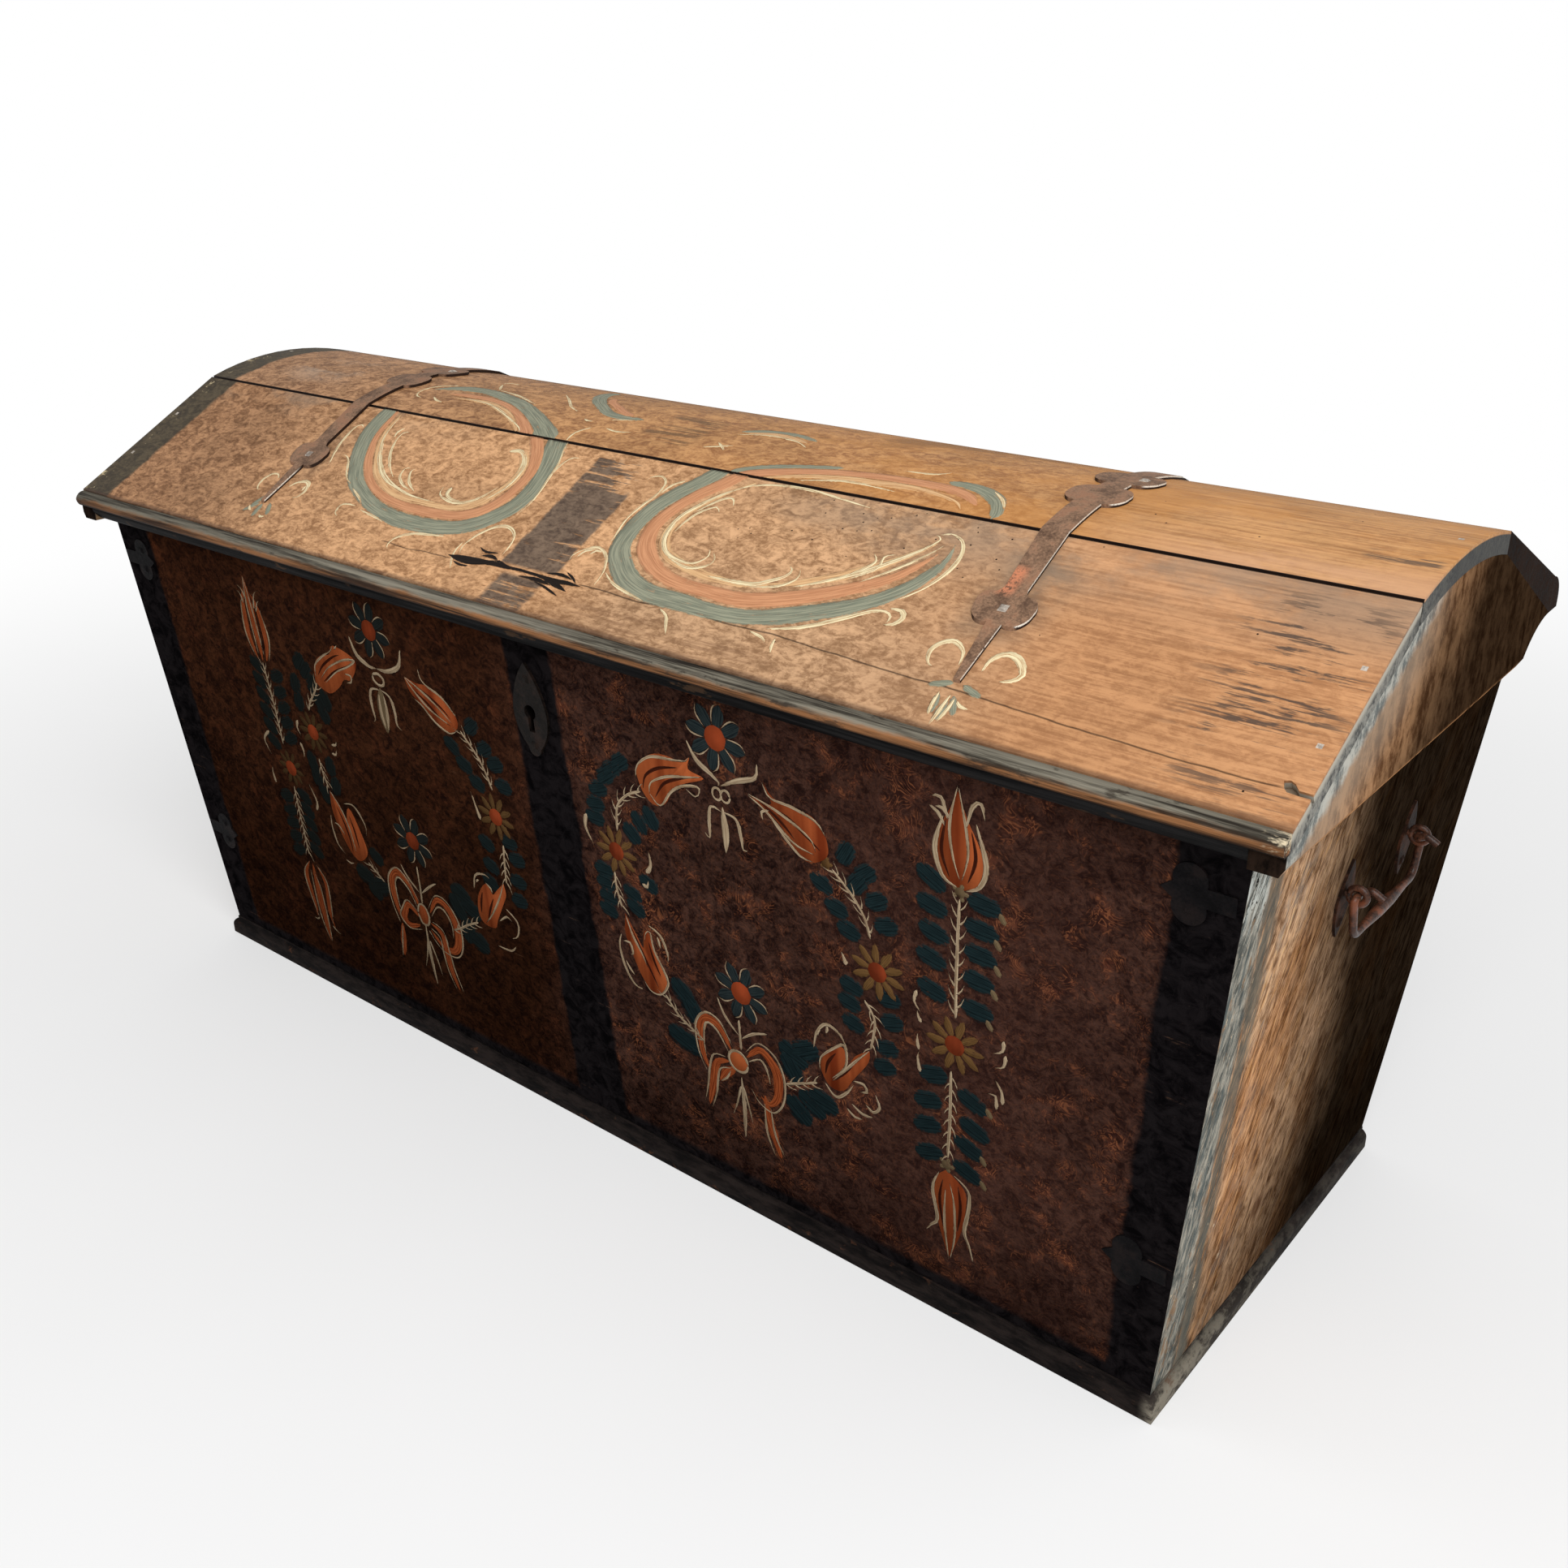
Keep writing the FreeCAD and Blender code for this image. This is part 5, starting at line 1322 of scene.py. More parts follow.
class CrownFace:
    """The curved board of the lid: across, and back from the lid's front edge."""

    body = "lid"

    def wrap(self, u: float, v: float, h: float) -> Vector:
        """Places a point of the board, h millimetres proud, in metres.

        Args:
            u: place across.
            v: place down or back.
            h: height over the wood.

        Returns:
            The point.
        """
        across = v + TRUNK.lid_front - TRUNK.crown_centre_y
        radius = TRUNK.crown_radius
        rise = math.sqrt(radius * radius - across * across)
        share = 1.0 + h / radius
        return Vector((u, TRUNK.crown_centre_y + across * share, TRUNK.crown_centre_z + rise * share)) * MM

    def trim(self, flat: bmesh.types.BMesh) -> None:
        """Cuts the work off at the joint."""
        cut(flat, TRUNK.joint_y - TRUNK.lid_front + JOINT_STRIP)


def cut(flat: bmesh.types.BMesh, level: float) -> None:
    """Cuts away the flat work before a level and closes what is left.

    Args:
        flat: the work.
        level: the second coordinate of the cut.
    """
    geometry = flat.verts[:] + flat.edges[:] + flat.faces[:]
    result = bmesh.ops.bisect_plane(flat, geom=geometry, dist=1e-4, plane_co=(0.0, level, 0.0),
                                    plane_no=(0.0, -1.0, 0.0), clear_outer=True)
    edges = [item for item in result["geom_cut"] if isinstance(item, bmesh.types.BMEdge)]
    bmesh.ops.holes_fill(flat, edges=edges, sides=0)


def smooth_path(points: list[Point], step: float) -> list[tuple[float, float, float]]:
    """Runs a smooth line through given points.

    Args:
        points: points with their widths.
        step: spacing of the result in millimetres.

    Returns:
        Points with their widths.
    """
    ends = [points[0], *points, points[-1]]
    result = []
    for index in range(1, len(ends) - 2):
        a, b, c, d = ends[index - 1:index + 3]
        count = max(2, math.ceil(math.dist(b[:2], c[:2]) / step))
        for k in range(count):
            t = k / count
            result.append(tuple(
                0.5 * (2 * b[i] + (c[i] - a[i]) * t + (2 * a[i] - 5 * b[i] + 4 * c[i] - d[i]) * t * t
                       + (3 * b[i] - a[i] - 3 * c[i] + d[i]) * t ** 3)
                for i in range(3)))
    result.append(tuple(points[-1]))
    return result


def oval(x: float, v: float, across: float, down: float, count: int) -> tuple[Point, ...]:
    """Gives even points round an oval.

    Args:
        x: its centre across.
        v: its centre down.
        across: its reach across.
        down: its reach down.
        count: number of points.

    Returns:
        The points.
    """
    turns = (math.tau * index / count for index in range(count))
    return tuple((x + across * math.cos(turn), v + down * math.sin(turn)) for turn in turns)


class Panel:
    """Brushwork on one face, kept flat in millimetres until it is wrapped onto the wood.

    Constants: how far a stroke is sunk in the wood; height of the first layer; rise from layer to
    layer; extra height along the middle; spacing of points along a stroke and round an outline;
    width from which a stroke has four strips; bare share of its length at each end; width of an
    outline's rim and half width that its wear is read with.
    """

    sunk = -0.25
    base = 0.08
    rise = 0.05
    dome = 0.06
    step = 4.0
    outline_step = 5.0
    broad = 8.0
    tip = 0.004
    rim = 1.4
    rim_half = 1.5

    def __init__(self, name: str, face: FrontFace | SlopeFace | CrownFace, paint: BoardPaint,
                 slot: str) -> None:
        """Starts the work on a face.

        Args:
            name: start of the pieces' names.
            face: the face that it lies on.
            paint: the paint below it.
            slot: the record's slot of that paint; not used.
        """
        self.name = name
        self.face = face
        self.paint = paint
        self.slot = slot
        self.flats: dict[Ink, bmesh.types.BMesh] = {}

    def flat(self, ink: Ink) -> bmesh.types.BMesh:
        """Gives the flat work in one colour.

        Args:
            ink: the colour.

        Returns:
            The mesh.
        """
        if ink not in self.flats:
            self.flats[ink] = bmesh.new()
            self.flats[ink].verts.layers.float_vector.new("brush")
        return self.flats[ink]

    def raise_up(self, flat: bmesh.types.BMesh, faces: list[bmesh.types.BMFace], ink: Ink) -> None:
        """Gives flat faces their thickness.

        Args:
            flat: the work.
            faces: the faces.
            ink: their colour, which sets the height.
        """
        for vert in {vert for face in faces for vert in face.verts}:
            vert.co.z = self.sunk
        lifted = bmesh.ops.extrude_face_region(flat, geom=faces, use_keep_orig=True)
        brush = flat.verts.layers.float_vector["brush"]
        top = self.base + self.rise * ink.value.layer
        for item in lifted["geom"]:
            if isinstance(item, bmesh.types.BMVert):
                item.co.z = top + self.dome * (1.0 - abs(item[brush].y))

    def brush(self, ink: Ink, width: float, stroke: Stroke, *lines: tuple[Point, ...]) -> None:
        """Lays strokes of one colour.

        Args:
            ink: the colour.
            width: full width in millimetres where a point gives none.
            stroke: how the width changes.
            *lines: points of each stroke, each with its own width if it has a third number.
        """
        flat = self.flat(ink)
        layer = flat.verts.layers.float_vector["brush"]
        for line in lines:
            path = smooth_path([(p[0], p[1], p[2] if len(p) > 2 else width) for p in line], self.step)
            lengths = [0.0]
            for a, b in zip(path, path[1:]):
                lengths.append(lengths[-1] + math.dist(a[:2], b[:2]))
            count = len(path)
            wide = max(p[2] for p in path)
            grid = bmesh.ops.create_grid(flat, x_segments=count - 1, y_segments=2 if wide < self.broad else 4,
                                         size=1.0)
            for vert in grid["verts"]:
                index = round((vert.co.x + 1.0) / 2.0 * (count - 1))
                across = vert.co.y
                a, b = path[max(index - 1, 0)], path[min(index + 1, count - 1)]
                run = math.dist(a[:2], b[:2]) or 1.0
                share = min(max(lengths[index] / lengths[-1], self.tip), 1.0 - self.tip)
                half = 0.5 * path[index][2] * stroke.share(share)
                side = ((b[1] - a[1]) / run, -(b[0] - a[0]) / run)
                vert.co = (path[index][0] + side[0] * half * across, path[index][1] + side[1] * half * across,
                           0.0)
                vert[layer] = (lengths[index], across, half)
            faces = list({face for vert in grid["verts"] for face in vert.link_faces})
            self.raise_up(flat, faces, ink)

    def fill(self, ink: Ink, *outlines: tuple[Point, ...]) -> None:
        """Lays filled shapes of one colour.

        Args:
            ink: the colour.
            *outlines: points round each shape.
        """
        flat = self.flat(ink)
        layer = flat.verts.layers.float_vector["brush"]
        for outline in outlines:
            ring = smooth_path([(*p[:2], 0.0) for p in (*outline, outline[0])], self.outline_step)[:-1]
            made = bmesh.ops.create_circle(flat, cap_ends=True, segments=len(ring), radius=1.0)
            for vert, place in zip(made["verts"], ring):
                vert.co = (place[0], place[1], 0.0)
                vert[layer] = (place[0], 1.0, self.rim_half)
            face = made["verts"][0].link_faces[0]
            rim = bmesh.ops.inset_region(flat, faces=[face], thickness=self.rim,
                                         use_even_offset=False)["faces"]
            for vert in face.verts:
                vert[layer] = (vert.co.x, 0.0, self.rim_half)
            self.raise_up(flat, [face, *rim], ink)

    def leaves(self, ink: Ink, length: float, width: float, lean: float, *centres: Point) -> None:
        """Lays single leaves.

        Args:
            ink: their colour.
            length: length of a leaf.
            width: width of a leaf.
            lean: angle of a leaf in degrees, where 0 points across and 90 points down.
            *centres: centre of each leaf, with its own angle if it has a third number.
        """
        for centre in centres:
            angle = math.radians(centre[2] if len(centre) > 2 else lean)
            dx, dy = math.cos(angle) * length / 2, math.sin(angle) * length / 2
            x, v = centre[:2]
            self.brush(ink, width, Stroke.BLOB, ((x - dx, v - dy), (x, v), (x + dx, v + dy)))

    def material(self, ink: Ink) -> bpy.types.Material:
        """Gives a colour's material over this face's paint.

        Args:
            ink: the colour.

        Returns:
            The material.
        """
        recipe = ink.value
        s = Shade(f"{self.name}_{recipe.name}")
        coat = self.paint.lay(s)
        attribute = s.add("ShaderNodeAttribute", attribute_name="brush")
        along, across, half = s.split(attribute.outputs["Vector"])
        side = s.times(across, half)
        hair = s.noise(1.0, 3.0, 0.6, at=s.join(s.times(along, 0.035), s.times(side, 0.9), 0.0), seed=4.0)
        age = s.noise(4.5, 5.0, 0.72, seed=95.0)
        inner = s.times(s.away(s.sum("ABSOLUTE", across)), half)
        ragged = s.plus(inner, s.times(s.plus(s.plus(age, s.times(hair, 0.7)), -0.85), recipe.soft * 2.2))
        edge = s.span(ragged, -0.1 * recipe.soft, 0.55 * recipe.soft)
        worn = s.plus(s.times(hair, recipe.streak), s.times(age, 1.0 - recipe.streak))
        kept = s.span(worn, 0.26 + 0.4 * recipe.worn, 0.36 + 0.5 * recipe.worn)
        pigment = s.mix(s.span(hair, 0.35, 0.65), tone(*recipe.deep), tone(*recipe.pale))
        # On the front, the board's age step adds painted shade to the stroke.
        colour = s.mix(s.times(edge, kept), coat.colour, self.paint.age(s, pigment, recipe.layer))
        relief = s.plus(coat.height, s.times(hair, 0.5))
        return s.finish(colour, 0.55, relief, 0.35, gloss=coat.gloss)

    def finish(self) -> None:
        """Wraps the work onto the wood, one piece for each colour."""
        for ink, flat in self.flats.items():
            self.face.trim(flat)
            for vert in flat.verts:
                vert.co = self.face.wrap(*vert.co)
            bmesh.ops.recalc_face_normals(flat, faces=flat.faces[:])
            name = f"{self.name}_{ink.value.name}"
            mesh = bpy.data.meshes.new(name)
            flat.to_mesh(mesh)
            flat.free()
            mesh.materials.append(self.material(ink))
            mesh.shade_smooth()
            piece = bpy.data.objects.new(name, mesh)
            bpy.context.scene.collection.objects.link(piece)
            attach(piece, self.face.body)
            LOG.info("%s: %d faces", name, len(mesh.polygons))


@dataclass(frozen=True)
class Daisy:
    """A round flower.

    Fields: centre; reach of its petals; radius of its eye; number of petals; first petal's angle;
    colour of the petals; whether they have cream edges; colour of the eye.
    """

    x: float
    v: float
    reach: float
    eye: float
    petals: int
    start: float
    ink: Ink
    edged: bool = False
    eye_ink: Ink = Ink.RED

    def paint(self, panel: Panel) -> None:
        """Lays the flower on a panel.

        Args:
            panel: the panel.
        """
        for index in range(self.petals):
            angle = math.radians(self.start + 360.0 * index / self.petals)
            c, d = math.cos(angle), math.sin(angle)
            near, far = self.eye * 0.7, self.reach
            width = 2.0 * math.pi * self.reach * (0.56 if self.edged else 0.5) / self.petals
            spine = tuple((self.x + c * r, self.v + d * r) for r in (near, 0.55 * (near + far), far))
            panel.brush(self.ink, width, Stroke.LEAF, spine)
            if self.edged:
                out = 0.46 * width
                rim = tuple((self.x + c * r + d * o, self.v + d * r - c * o) for r, o in (
                    (near + 3.0, out * 0.7), (0.55 * (near + far), out), (far - 3.0, out * 0.75),
                    (far + 1.0, 0.0)))
                panel.brush(Ink.CREAM, 1.5, Stroke.SWELL, rim)
        panel.fill(self.eye_ink, oval(self.x, self.v, self.eye, self.eye, 8))


@dataclass(frozen=True)
class Stem:
    """A cream stem with thorns.

    Fields: its points; width; spacing of the thorns; their length; 1 for thorns that point back to its start.
    """

    points: tuple[Point, ...]
    width: float = 2.4
    every: float = 8.0
    thorn: float = 12.0
    back: float = 1.0

    def paint(self, panel: Panel) -> None:
        """Lays the stem on a panel.

        Args:
            panel: the panel.
        """
        panel.brush(Ink.CREAM, self.width, Stroke.LINE, self.points)
        if not self.every:
            return
        path = smooth_path([(*p[:2], 0.0) for p in self.points], 1.0)
        gone, side = 0.0, 1.0
        for a, b in zip(path, path[1:]):
            step = math.dist(a[:2], b[:2])
            gone += step
            if gone < self.every / 2 or not step:
                continue
            gone, side = 0.0, -side
            dx, dy = (b[0] - a[0]) / step * self.back, (b[1] - a[1]) / step * self.back
            thorn = tuple((a[0] - self.thorn * (dx * along - side * dy * out),
                           a[1] - self.thorn * (dy * along + side * dx * out))
                          for along, out in ((0.0, 0.0), (0.38, 0.32), (0.86, 0.5)))
            panel.brush(Ink.CREAM, 1.8, Stroke.COMMA, thorn)


# ---------------------------------------------------------------- decoration


class FrontDecoration:
    """Wreaths, garlands, bows and flowers on the front of the case."""

    def left_garland(self, p: Panel) -> None:
        """Lays the tulips, stem and daisy at the far left.

        Args:
            p: the panel.
        """
        p.leaves(
            Ink.TEAL, 24, 16, 30, *((-391, v) for v in range(118, 200, 16)),
            *((-361, v, -25) for v in range(124, 200, 16)), *((-391, v, -20) for v in range(258, 324, 15)),
            *((-360, v, 25) for v in range(250, 312, 15)))
        Daisy(-371.8, 222.6, 20, 8, 10, 8, Ink.OCHRE).paint(p)
        p.brush(
            Ink.ORANGE, 8, Stroke.LEAF, ((-385, 112), (-392, 87), (-390, 58), (-384, 40)),
            ((-372, 112), (-365, 88), (-368, 58), (-375, 44)))
        p.brush(Ink.ORANGE, 10, Stroke.LEAF, ((-378, 112), (-378.5, 75), (-380.4, 28)))
        p.brush(
            Ink.CREAM, 2.2, Stroke.SWELL, ((-387.8, 110), (-396.5, 86.6), (-392, 55.7), (-382.9, 52)),
            ((-366.8, 110), (-359.9, 86.6), (-364.3, 58)), ((-380.4, 28.5), (-384, 60), (-382.9, 106.4)),
            ((-380, 30), (-376, 66), (-374.2, 106.4)))
        p.brush(
            Ink.CREAM, 2.6, Stroke.COMMA, ((-382.9, 52), (-387.8, 42), (-394, 39.6)),
            ((-387.8, 57), (-391.5, 47), (-396, 46)), ((-373, 59.4), (-368, 44.5), (-359.4, 39)),
            ((-370.5, 61.8), (-365.6, 52), (-361.1, 49.5)))
        Stem(((-379.2, 113.8), (-376.7, 148.4), (-376, 197.9)), back=1.0).paint(p)
        Stem(((-374.2, 242.5), (-375, 280), (-375.5, 319)), back=-1.0).paint(p)
        p.brush(
            Ink.CREAM, 4.2, Stroke.COMMA, ((-396.5, 189), (-407.6, 200.4), (-401.4, 215)),
            ((-405.2, 247.4), (-406.5, 236), (-404, 227.6)), ((-345.8, 188), (-343, 196), (-344.5, 204)),
            ((-343.3, 259.8), (-339.6, 249.9), (-347, 232.6)))
        p.brush(
            Ink.ORANGE, 8, Stroke.LEAF, ((-378, 328), (-389, 348), (-385, 383), (-386, 396)),
            ((-367, 329), (-357, 348), (-361, 383), (-358, 400)))
        p.brush(Ink.ORANGE, 10, Stroke.LEAF, ((-373, 328), (-373.5, 370), (-370.5, 420)))
        p.brush(
            Ink.CREAM, 2.2, Stroke.SWELL, ((-378, 327.8), (-391.5, 346.4), (-386.6, 383.5), (-382.9, 395.8)),
            ((-366.8, 329), (-354.4, 346.4), (-358.2, 383.5), (-361.9, 398.3)),
            ((-379.2, 337.7), (-379.2, 390.9), (-370.5, 420.6)),
            ((-374.2, 337.7), (-368, 358.7), (-368, 395.8), (-369.3, 420.6)))
        p.brush(
            Ink.CREAM, 2.6, Stroke.COMMA, ((-382.9, 395.8), (-387, 399), (-392.8, 398.3)),
            ((-361.9, 398.3), (-357, 402), (-350.7, 404.5)))

    def left_wreath(self, p: Panel) -> None:
        """Lays the wreath on the left half.

        Args:
            p: the panel.
        """
        Daisy(-200.3, 43.8, 27, 9.5, 8, 15, Ink.PETAL, True).paint(p)
        p.brush(
            Ink.CREAM, 5, Stroke.SWELL, ((-231.5, 55.7), (-224.6, 71.7), (-209.7, 78.7), (-199.8, 78.7)),
            ((-161.5, 53.2), (-167.6, 69.3), (-185, 77.9), (-199.8, 78.7)))
        p.brush(
            Ink.CREAM, 3, Stroke.LINE,
            ((-207.5, 86), (-200.3, 83.5), (-193, 87), (-194, 93), (-201, 94.5), (-207, 91), (-207.5, 86)))
        p.brush(Ink.PALE, 15, Stroke.LEAF, ((-200.3, 97), (-201.5, 118), (-201, 141)))
        p.brush(
            Ink.CREAM, 4, Stroke.LEAF, ((-203.5, 103), (-205, 120), (-202, 138)),
            ((-197, 103), (-196.5, 120), (-199, 138)))
        p.brush(
            Ink.CREAM, 3.6, Stroke.SWELL,
            ((-201, 99), (-213.4, 101.4), (-217.1, 113.8), (-215.9, 131.1), (-219.6, 133.6)),
            ((-199.8, 99), (-188.7, 102.7), (-185, 116.3), (-185, 128.7), (-178.8, 132.4)))
        p.fill(
            Ink.ORANGE,
            ((-297.5, 115), (-295, 99), (-283.9, 86.6), (-266.6, 80.4), (-259.2, 70.5), (-229.5, 78.7),
             (-240.6, 99), (-251.8, 101.4), (-261.7, 111.3), (-279, 121.2)),
            ((-313.6, 230), (-301.2, 243.7), (-296.3, 257.3), (-291.4, 243.7), (-285.2, 243.7),
             (-275.3, 267.2), (-272.1, 284.5), (-281.5, 295.6), (-291.4, 298.1), (-301.2, 289.5),
             (-311.1, 269.7), (-316.1, 249.9)),
            ((-74.9, 251.1), (-86, 262.2), (-92.2, 268.4), (-97.1, 259.8), (-103.3, 262.2), (-113.2, 277.1),
             (-116.2, 294.4), (-110.7, 304.3), (-95.9, 304.3), (-91, 294.4), (-79.8, 274.6), (-73.6, 262.2)),
            ((-162.7, 77.2), (-148, 80), (-133, 79.2), (-115.7, 85.4), (-101.5, 99), (-101.5, 110),
             (-113.2, 117.5), (-130.5, 111.3), (-145.4, 99), (-157.8, 90)))
        p.brush(
            Ink.CREAM, 2.4, Stroke.SWELL,
            ((-295, 108.9), (-292.6, 96.5), (-279, 85.4), (-264.1, 76.7), (-259.2, 70.5)),
            ((-258, 74.2), (-253, 69.3)),
            ((-287.6, 108.9), (-271.6, 94), (-246.8, 81.6), (-230.7, 78.7), (-241.9, 86.6), (-261.7, 96.5),
             (-281.5, 111.3)), ((-249.3, 95.3), (-240.6, 95.3), (-241.4, 101.4), (-249.3, 103.9)),
            ((-295, 238.7), (-279, 236.3), (-266.6, 252.4), (-267.9, 264.7)),
            ((-321, 258.5), (-322.3, 272.1), (-318.6, 289.5), (-308.7, 298.1)),
            ((-317.3, 266), (-311.1, 266), (-303.7, 274.6)), ((-311.1, 304.3), (-304, 306), (-298.8, 304.3)),
            ((-313.6, 230), (-301, 246), (-294, 264), (-291, 290)),
            ((-141.7, 66), (-140, 74), (-133, 79.2), (-115.7, 85.4), (-100.9, 99)),
            ((-100.9, 111.3), (-113.2, 117.5), (-130.5, 111.3), (-145.4, 99), (-157.8, 94)),
            ((-162.7, 77.2), (-146, 84), (-128, 93), (-108, 107)),
            ((-162.7, 77.2), (-150, 90), (-132, 102), (-110, 110)),
            ((-116.9, 270.9), (-112, 254.8), (-98.4, 249.9), (-93.4, 252.4)),
            ((-108.3, 258.5), (-111, 260), (-112, 262.2)), ((-99.6, 258.5), (-93.4, 262.2), (-92.2, 267.2)),
            ((-88.5, 294.4), (-77.4, 285.7), (-69.9, 289.5)),
            ((-77.4, 277.1), (-63.8, 287), (-66.2, 301.8), (-76.1, 308)),
            ((-95.9, 322.8), (-78.6, 321.6), (-71.2, 314.2)),
            ((-74.9, 251.1), (-84, 270), (-97, 290), (-108, 303)))
        p.brush(
            Ink.UMBER, 3.2, Stroke.SWELL, ((-291, 106), (-280, 94), (-262, 82), (-252, 78)),
            ((-284, 111), (-266, 98), (-248, 89), (-238, 84)),
            ((-308, 244), (-300, 262), (-296, 280), (-296, 292)), ((-290, 250), (-286, 266), (-284, 284)),
            ((-150, 82), (-134, 88), (-118, 96), (-108, 104)), ((-150, 88), (-136, 96), (-122, 106)),
            ((-92, 272), (-98, 284), (-104, 298)), ((-106, 270), (-110, 282), (-112, 294)))
        p.leaves(
            Ink.TEAL, 23, 18, -50, (-311, 106), (-318.6, 99), (-288.9, 131, 70), (-296.3, 146, 60),
            (-259, 284.5, 30), (-271.6, 326.6, 30), (-304, 118), (-332, 124, 100), (-332, 142, 100),
            (-332, 204, 80), (-304, 202, 100), (-302, 222, 110), (-330, 220, 80), (-322, 236, 60),
            (-300, 134, 60))
        p.leaves(
            Ink.TEAL, 22, 17, 0, (-83.5, 103.9, -40), (-71.2, 121.2, -30), (-60, 132.4, -20),
            (-113.2, 128.7, 30), (-100.9, 143.5, 20), (-87.2, 157.1, 20), (-53.8, 150.9, 0),
            (-88.5, 215.2, 20), (-87.2, 237.5, 20), (-51.4, 220.2, -10), (-53.8, 242.5, -10),
            (-56.3, 262.2, -10), (-58, 205, 0), (-92, 255, 20))
        p.leaves(
            Ink.TEAL, 29, 23, 20, (-138, 284.5), (-127, 296), (-123.1, 329), (-146, 300, 60),
            (-136, 322, 100), (-262, 318, -20), (-283, 312, 10))
        Stem(((-296.3, 115), (-301.2, 123.7), (-313.6, 138.5), (-318.6, 148.4))).paint(p)
        Stem(((-319.8, 197.9), (-318, 214), (-313.6, 227.6)), back=-1.0).paint(p)
        Stem(((-274, 295.6), (-261.7, 304.3), (-253, 310.5))).paint(p)
        Stem(((-98.4, 111.3), (-78.6, 133.6), (-68.7, 158.3))).paint(p)
        Stem(((-66.2, 210.3), (-68.7, 232.6), (-70, 249.9)), back=-1.0).paint(p)
        Stem(((-119.4, 306.8), (-135.5, 315.4), (-146.6, 322.8), (-158, 329))).paint(p)
        Daisy(-319.8, 170.7, 22, 8, 10, 0, Ink.OCHRE).paint(p)
        Daisy(-70, 184.3, 23, 8, 10, 10, Ink.OCHRE).paint(p)
        p.brush(
            Ink.CREAM, 4.4, Stroke.COMMA, ((-293.8, 176.9), (-287, 175), (-285.2, 170.7)),
            ((-296, 186), (-290, 186), (-288, 181)), ((-91, 193), (-94.7, 180.6), (-98.4, 168.2)),
            ((-342, 164), (-345, 172), (-341, 180)))
        Daisy(-196.1, 247.4, 27, 9, 8, 22, Ink.PETAL, True).paint(p)
        Stem(((-197.3, 274.6), (-198, 296), (-199.8, 316)), every=0).paint(p)
        p.brush(
            Ink.CREAM, 3, Stroke.SWELL, ((-222, 280), (-214, 292), (-200, 304)),
            ((-172, 284), (-184, 292), (-198, 304)))
        self.left_bow(p)

    def left_bow(self, p: Panel) -> None:
        """Lays the bow below the left wreath.

        Args:
            p: the panel.
        """
        loops = (((-205, 322), (-214.7, 300), (-229.5, 291), (-240, 299), (-242.5, 314), (-241, 331),
                  (-236, 348)),
                 ((-190, 322), (-177.5, 304), (-163.5, 306.5), (-154, 322), (-155.5, 344), (-165, 355),
                  (-182.5, 353), (-194, 342)),
                 ((-208, 333), (-222.1, 324), (-230, 333), (-233, 342), (-226, 348), (-209, 342)))
        p.brush(Ink.ORANGE, 10, Stroke.SWELL, *loops)
        p.brush(
            Ink.ORANGE, 9, Stroke.SWELL, ((-238, 350), (-241.9, 372), (-245, 390)),
            ((-192, 334), (-178, 341), (-175.6, 360), (-173, 380), (-166, 400)))
        p.brush(
            Ink.CREAM, 2.2, Stroke.SWELL,
            ((-203.5, 315.4), (-214.7, 296.9), (-229.5, 286.5), (-243.5, 296.9), (-248.3, 311.7),
             (-247, 331.5), (-241, 350)),
            ((-208, 324), (-216, 307), (-229, 297), (-236, 304), (-237.5, 318), (-236, 334)),
            ((-207.2, 329), (-222.1, 319.1), (-231.5, 329), (-238.2, 341.4), (-227, 351.3), (-207.2, 346.4)),
            ((-238.2, 352), (-243.5, 372), (-248, 392)),
            ((-192.4, 319.1), (-177.5, 299), (-161, 301), (-148.5, 321.6), (-150, 346.4), (-161, 360.5),
             (-182.5, 359), (-197, 344)), ((-189, 326), (-177, 311), (-166, 313), (-160, 326), (-162, 343)),
            ((-190, 331.5), (-175.1, 336.9), (-171, 358.7), (-168, 378.5), (-161, 399)),
            ((-193, 340), (-182, 346), (-180.5, 362), (-178, 382), (-170, 401)))
        p.brush(Ink.CREAM, 4.6, Stroke.SWELL, ((-201, 338.9), (-202, 372), (-200, 405.7)))
        p.brush(
            Ink.CREAM, 3, Stroke.COMMA, ((-202, 356), (-207, 374), (-213.4, 390.9)),
            ((-199, 356), (-193, 374), (-188.7, 393.4)))
        p.fill(Ink.ORANGE, ((-209, 328), (-205, 318), (-197, 318), (-193, 328), (-197, 338), (-205, 338)))
        p.brush(
            Ink.CREAM, 2.4, Stroke.LINE,
            ((-209, 328), (-205, 317.5), (-197, 317.5), (-193, 328), (-197, 338), (-205, 338), (-209, 328)))

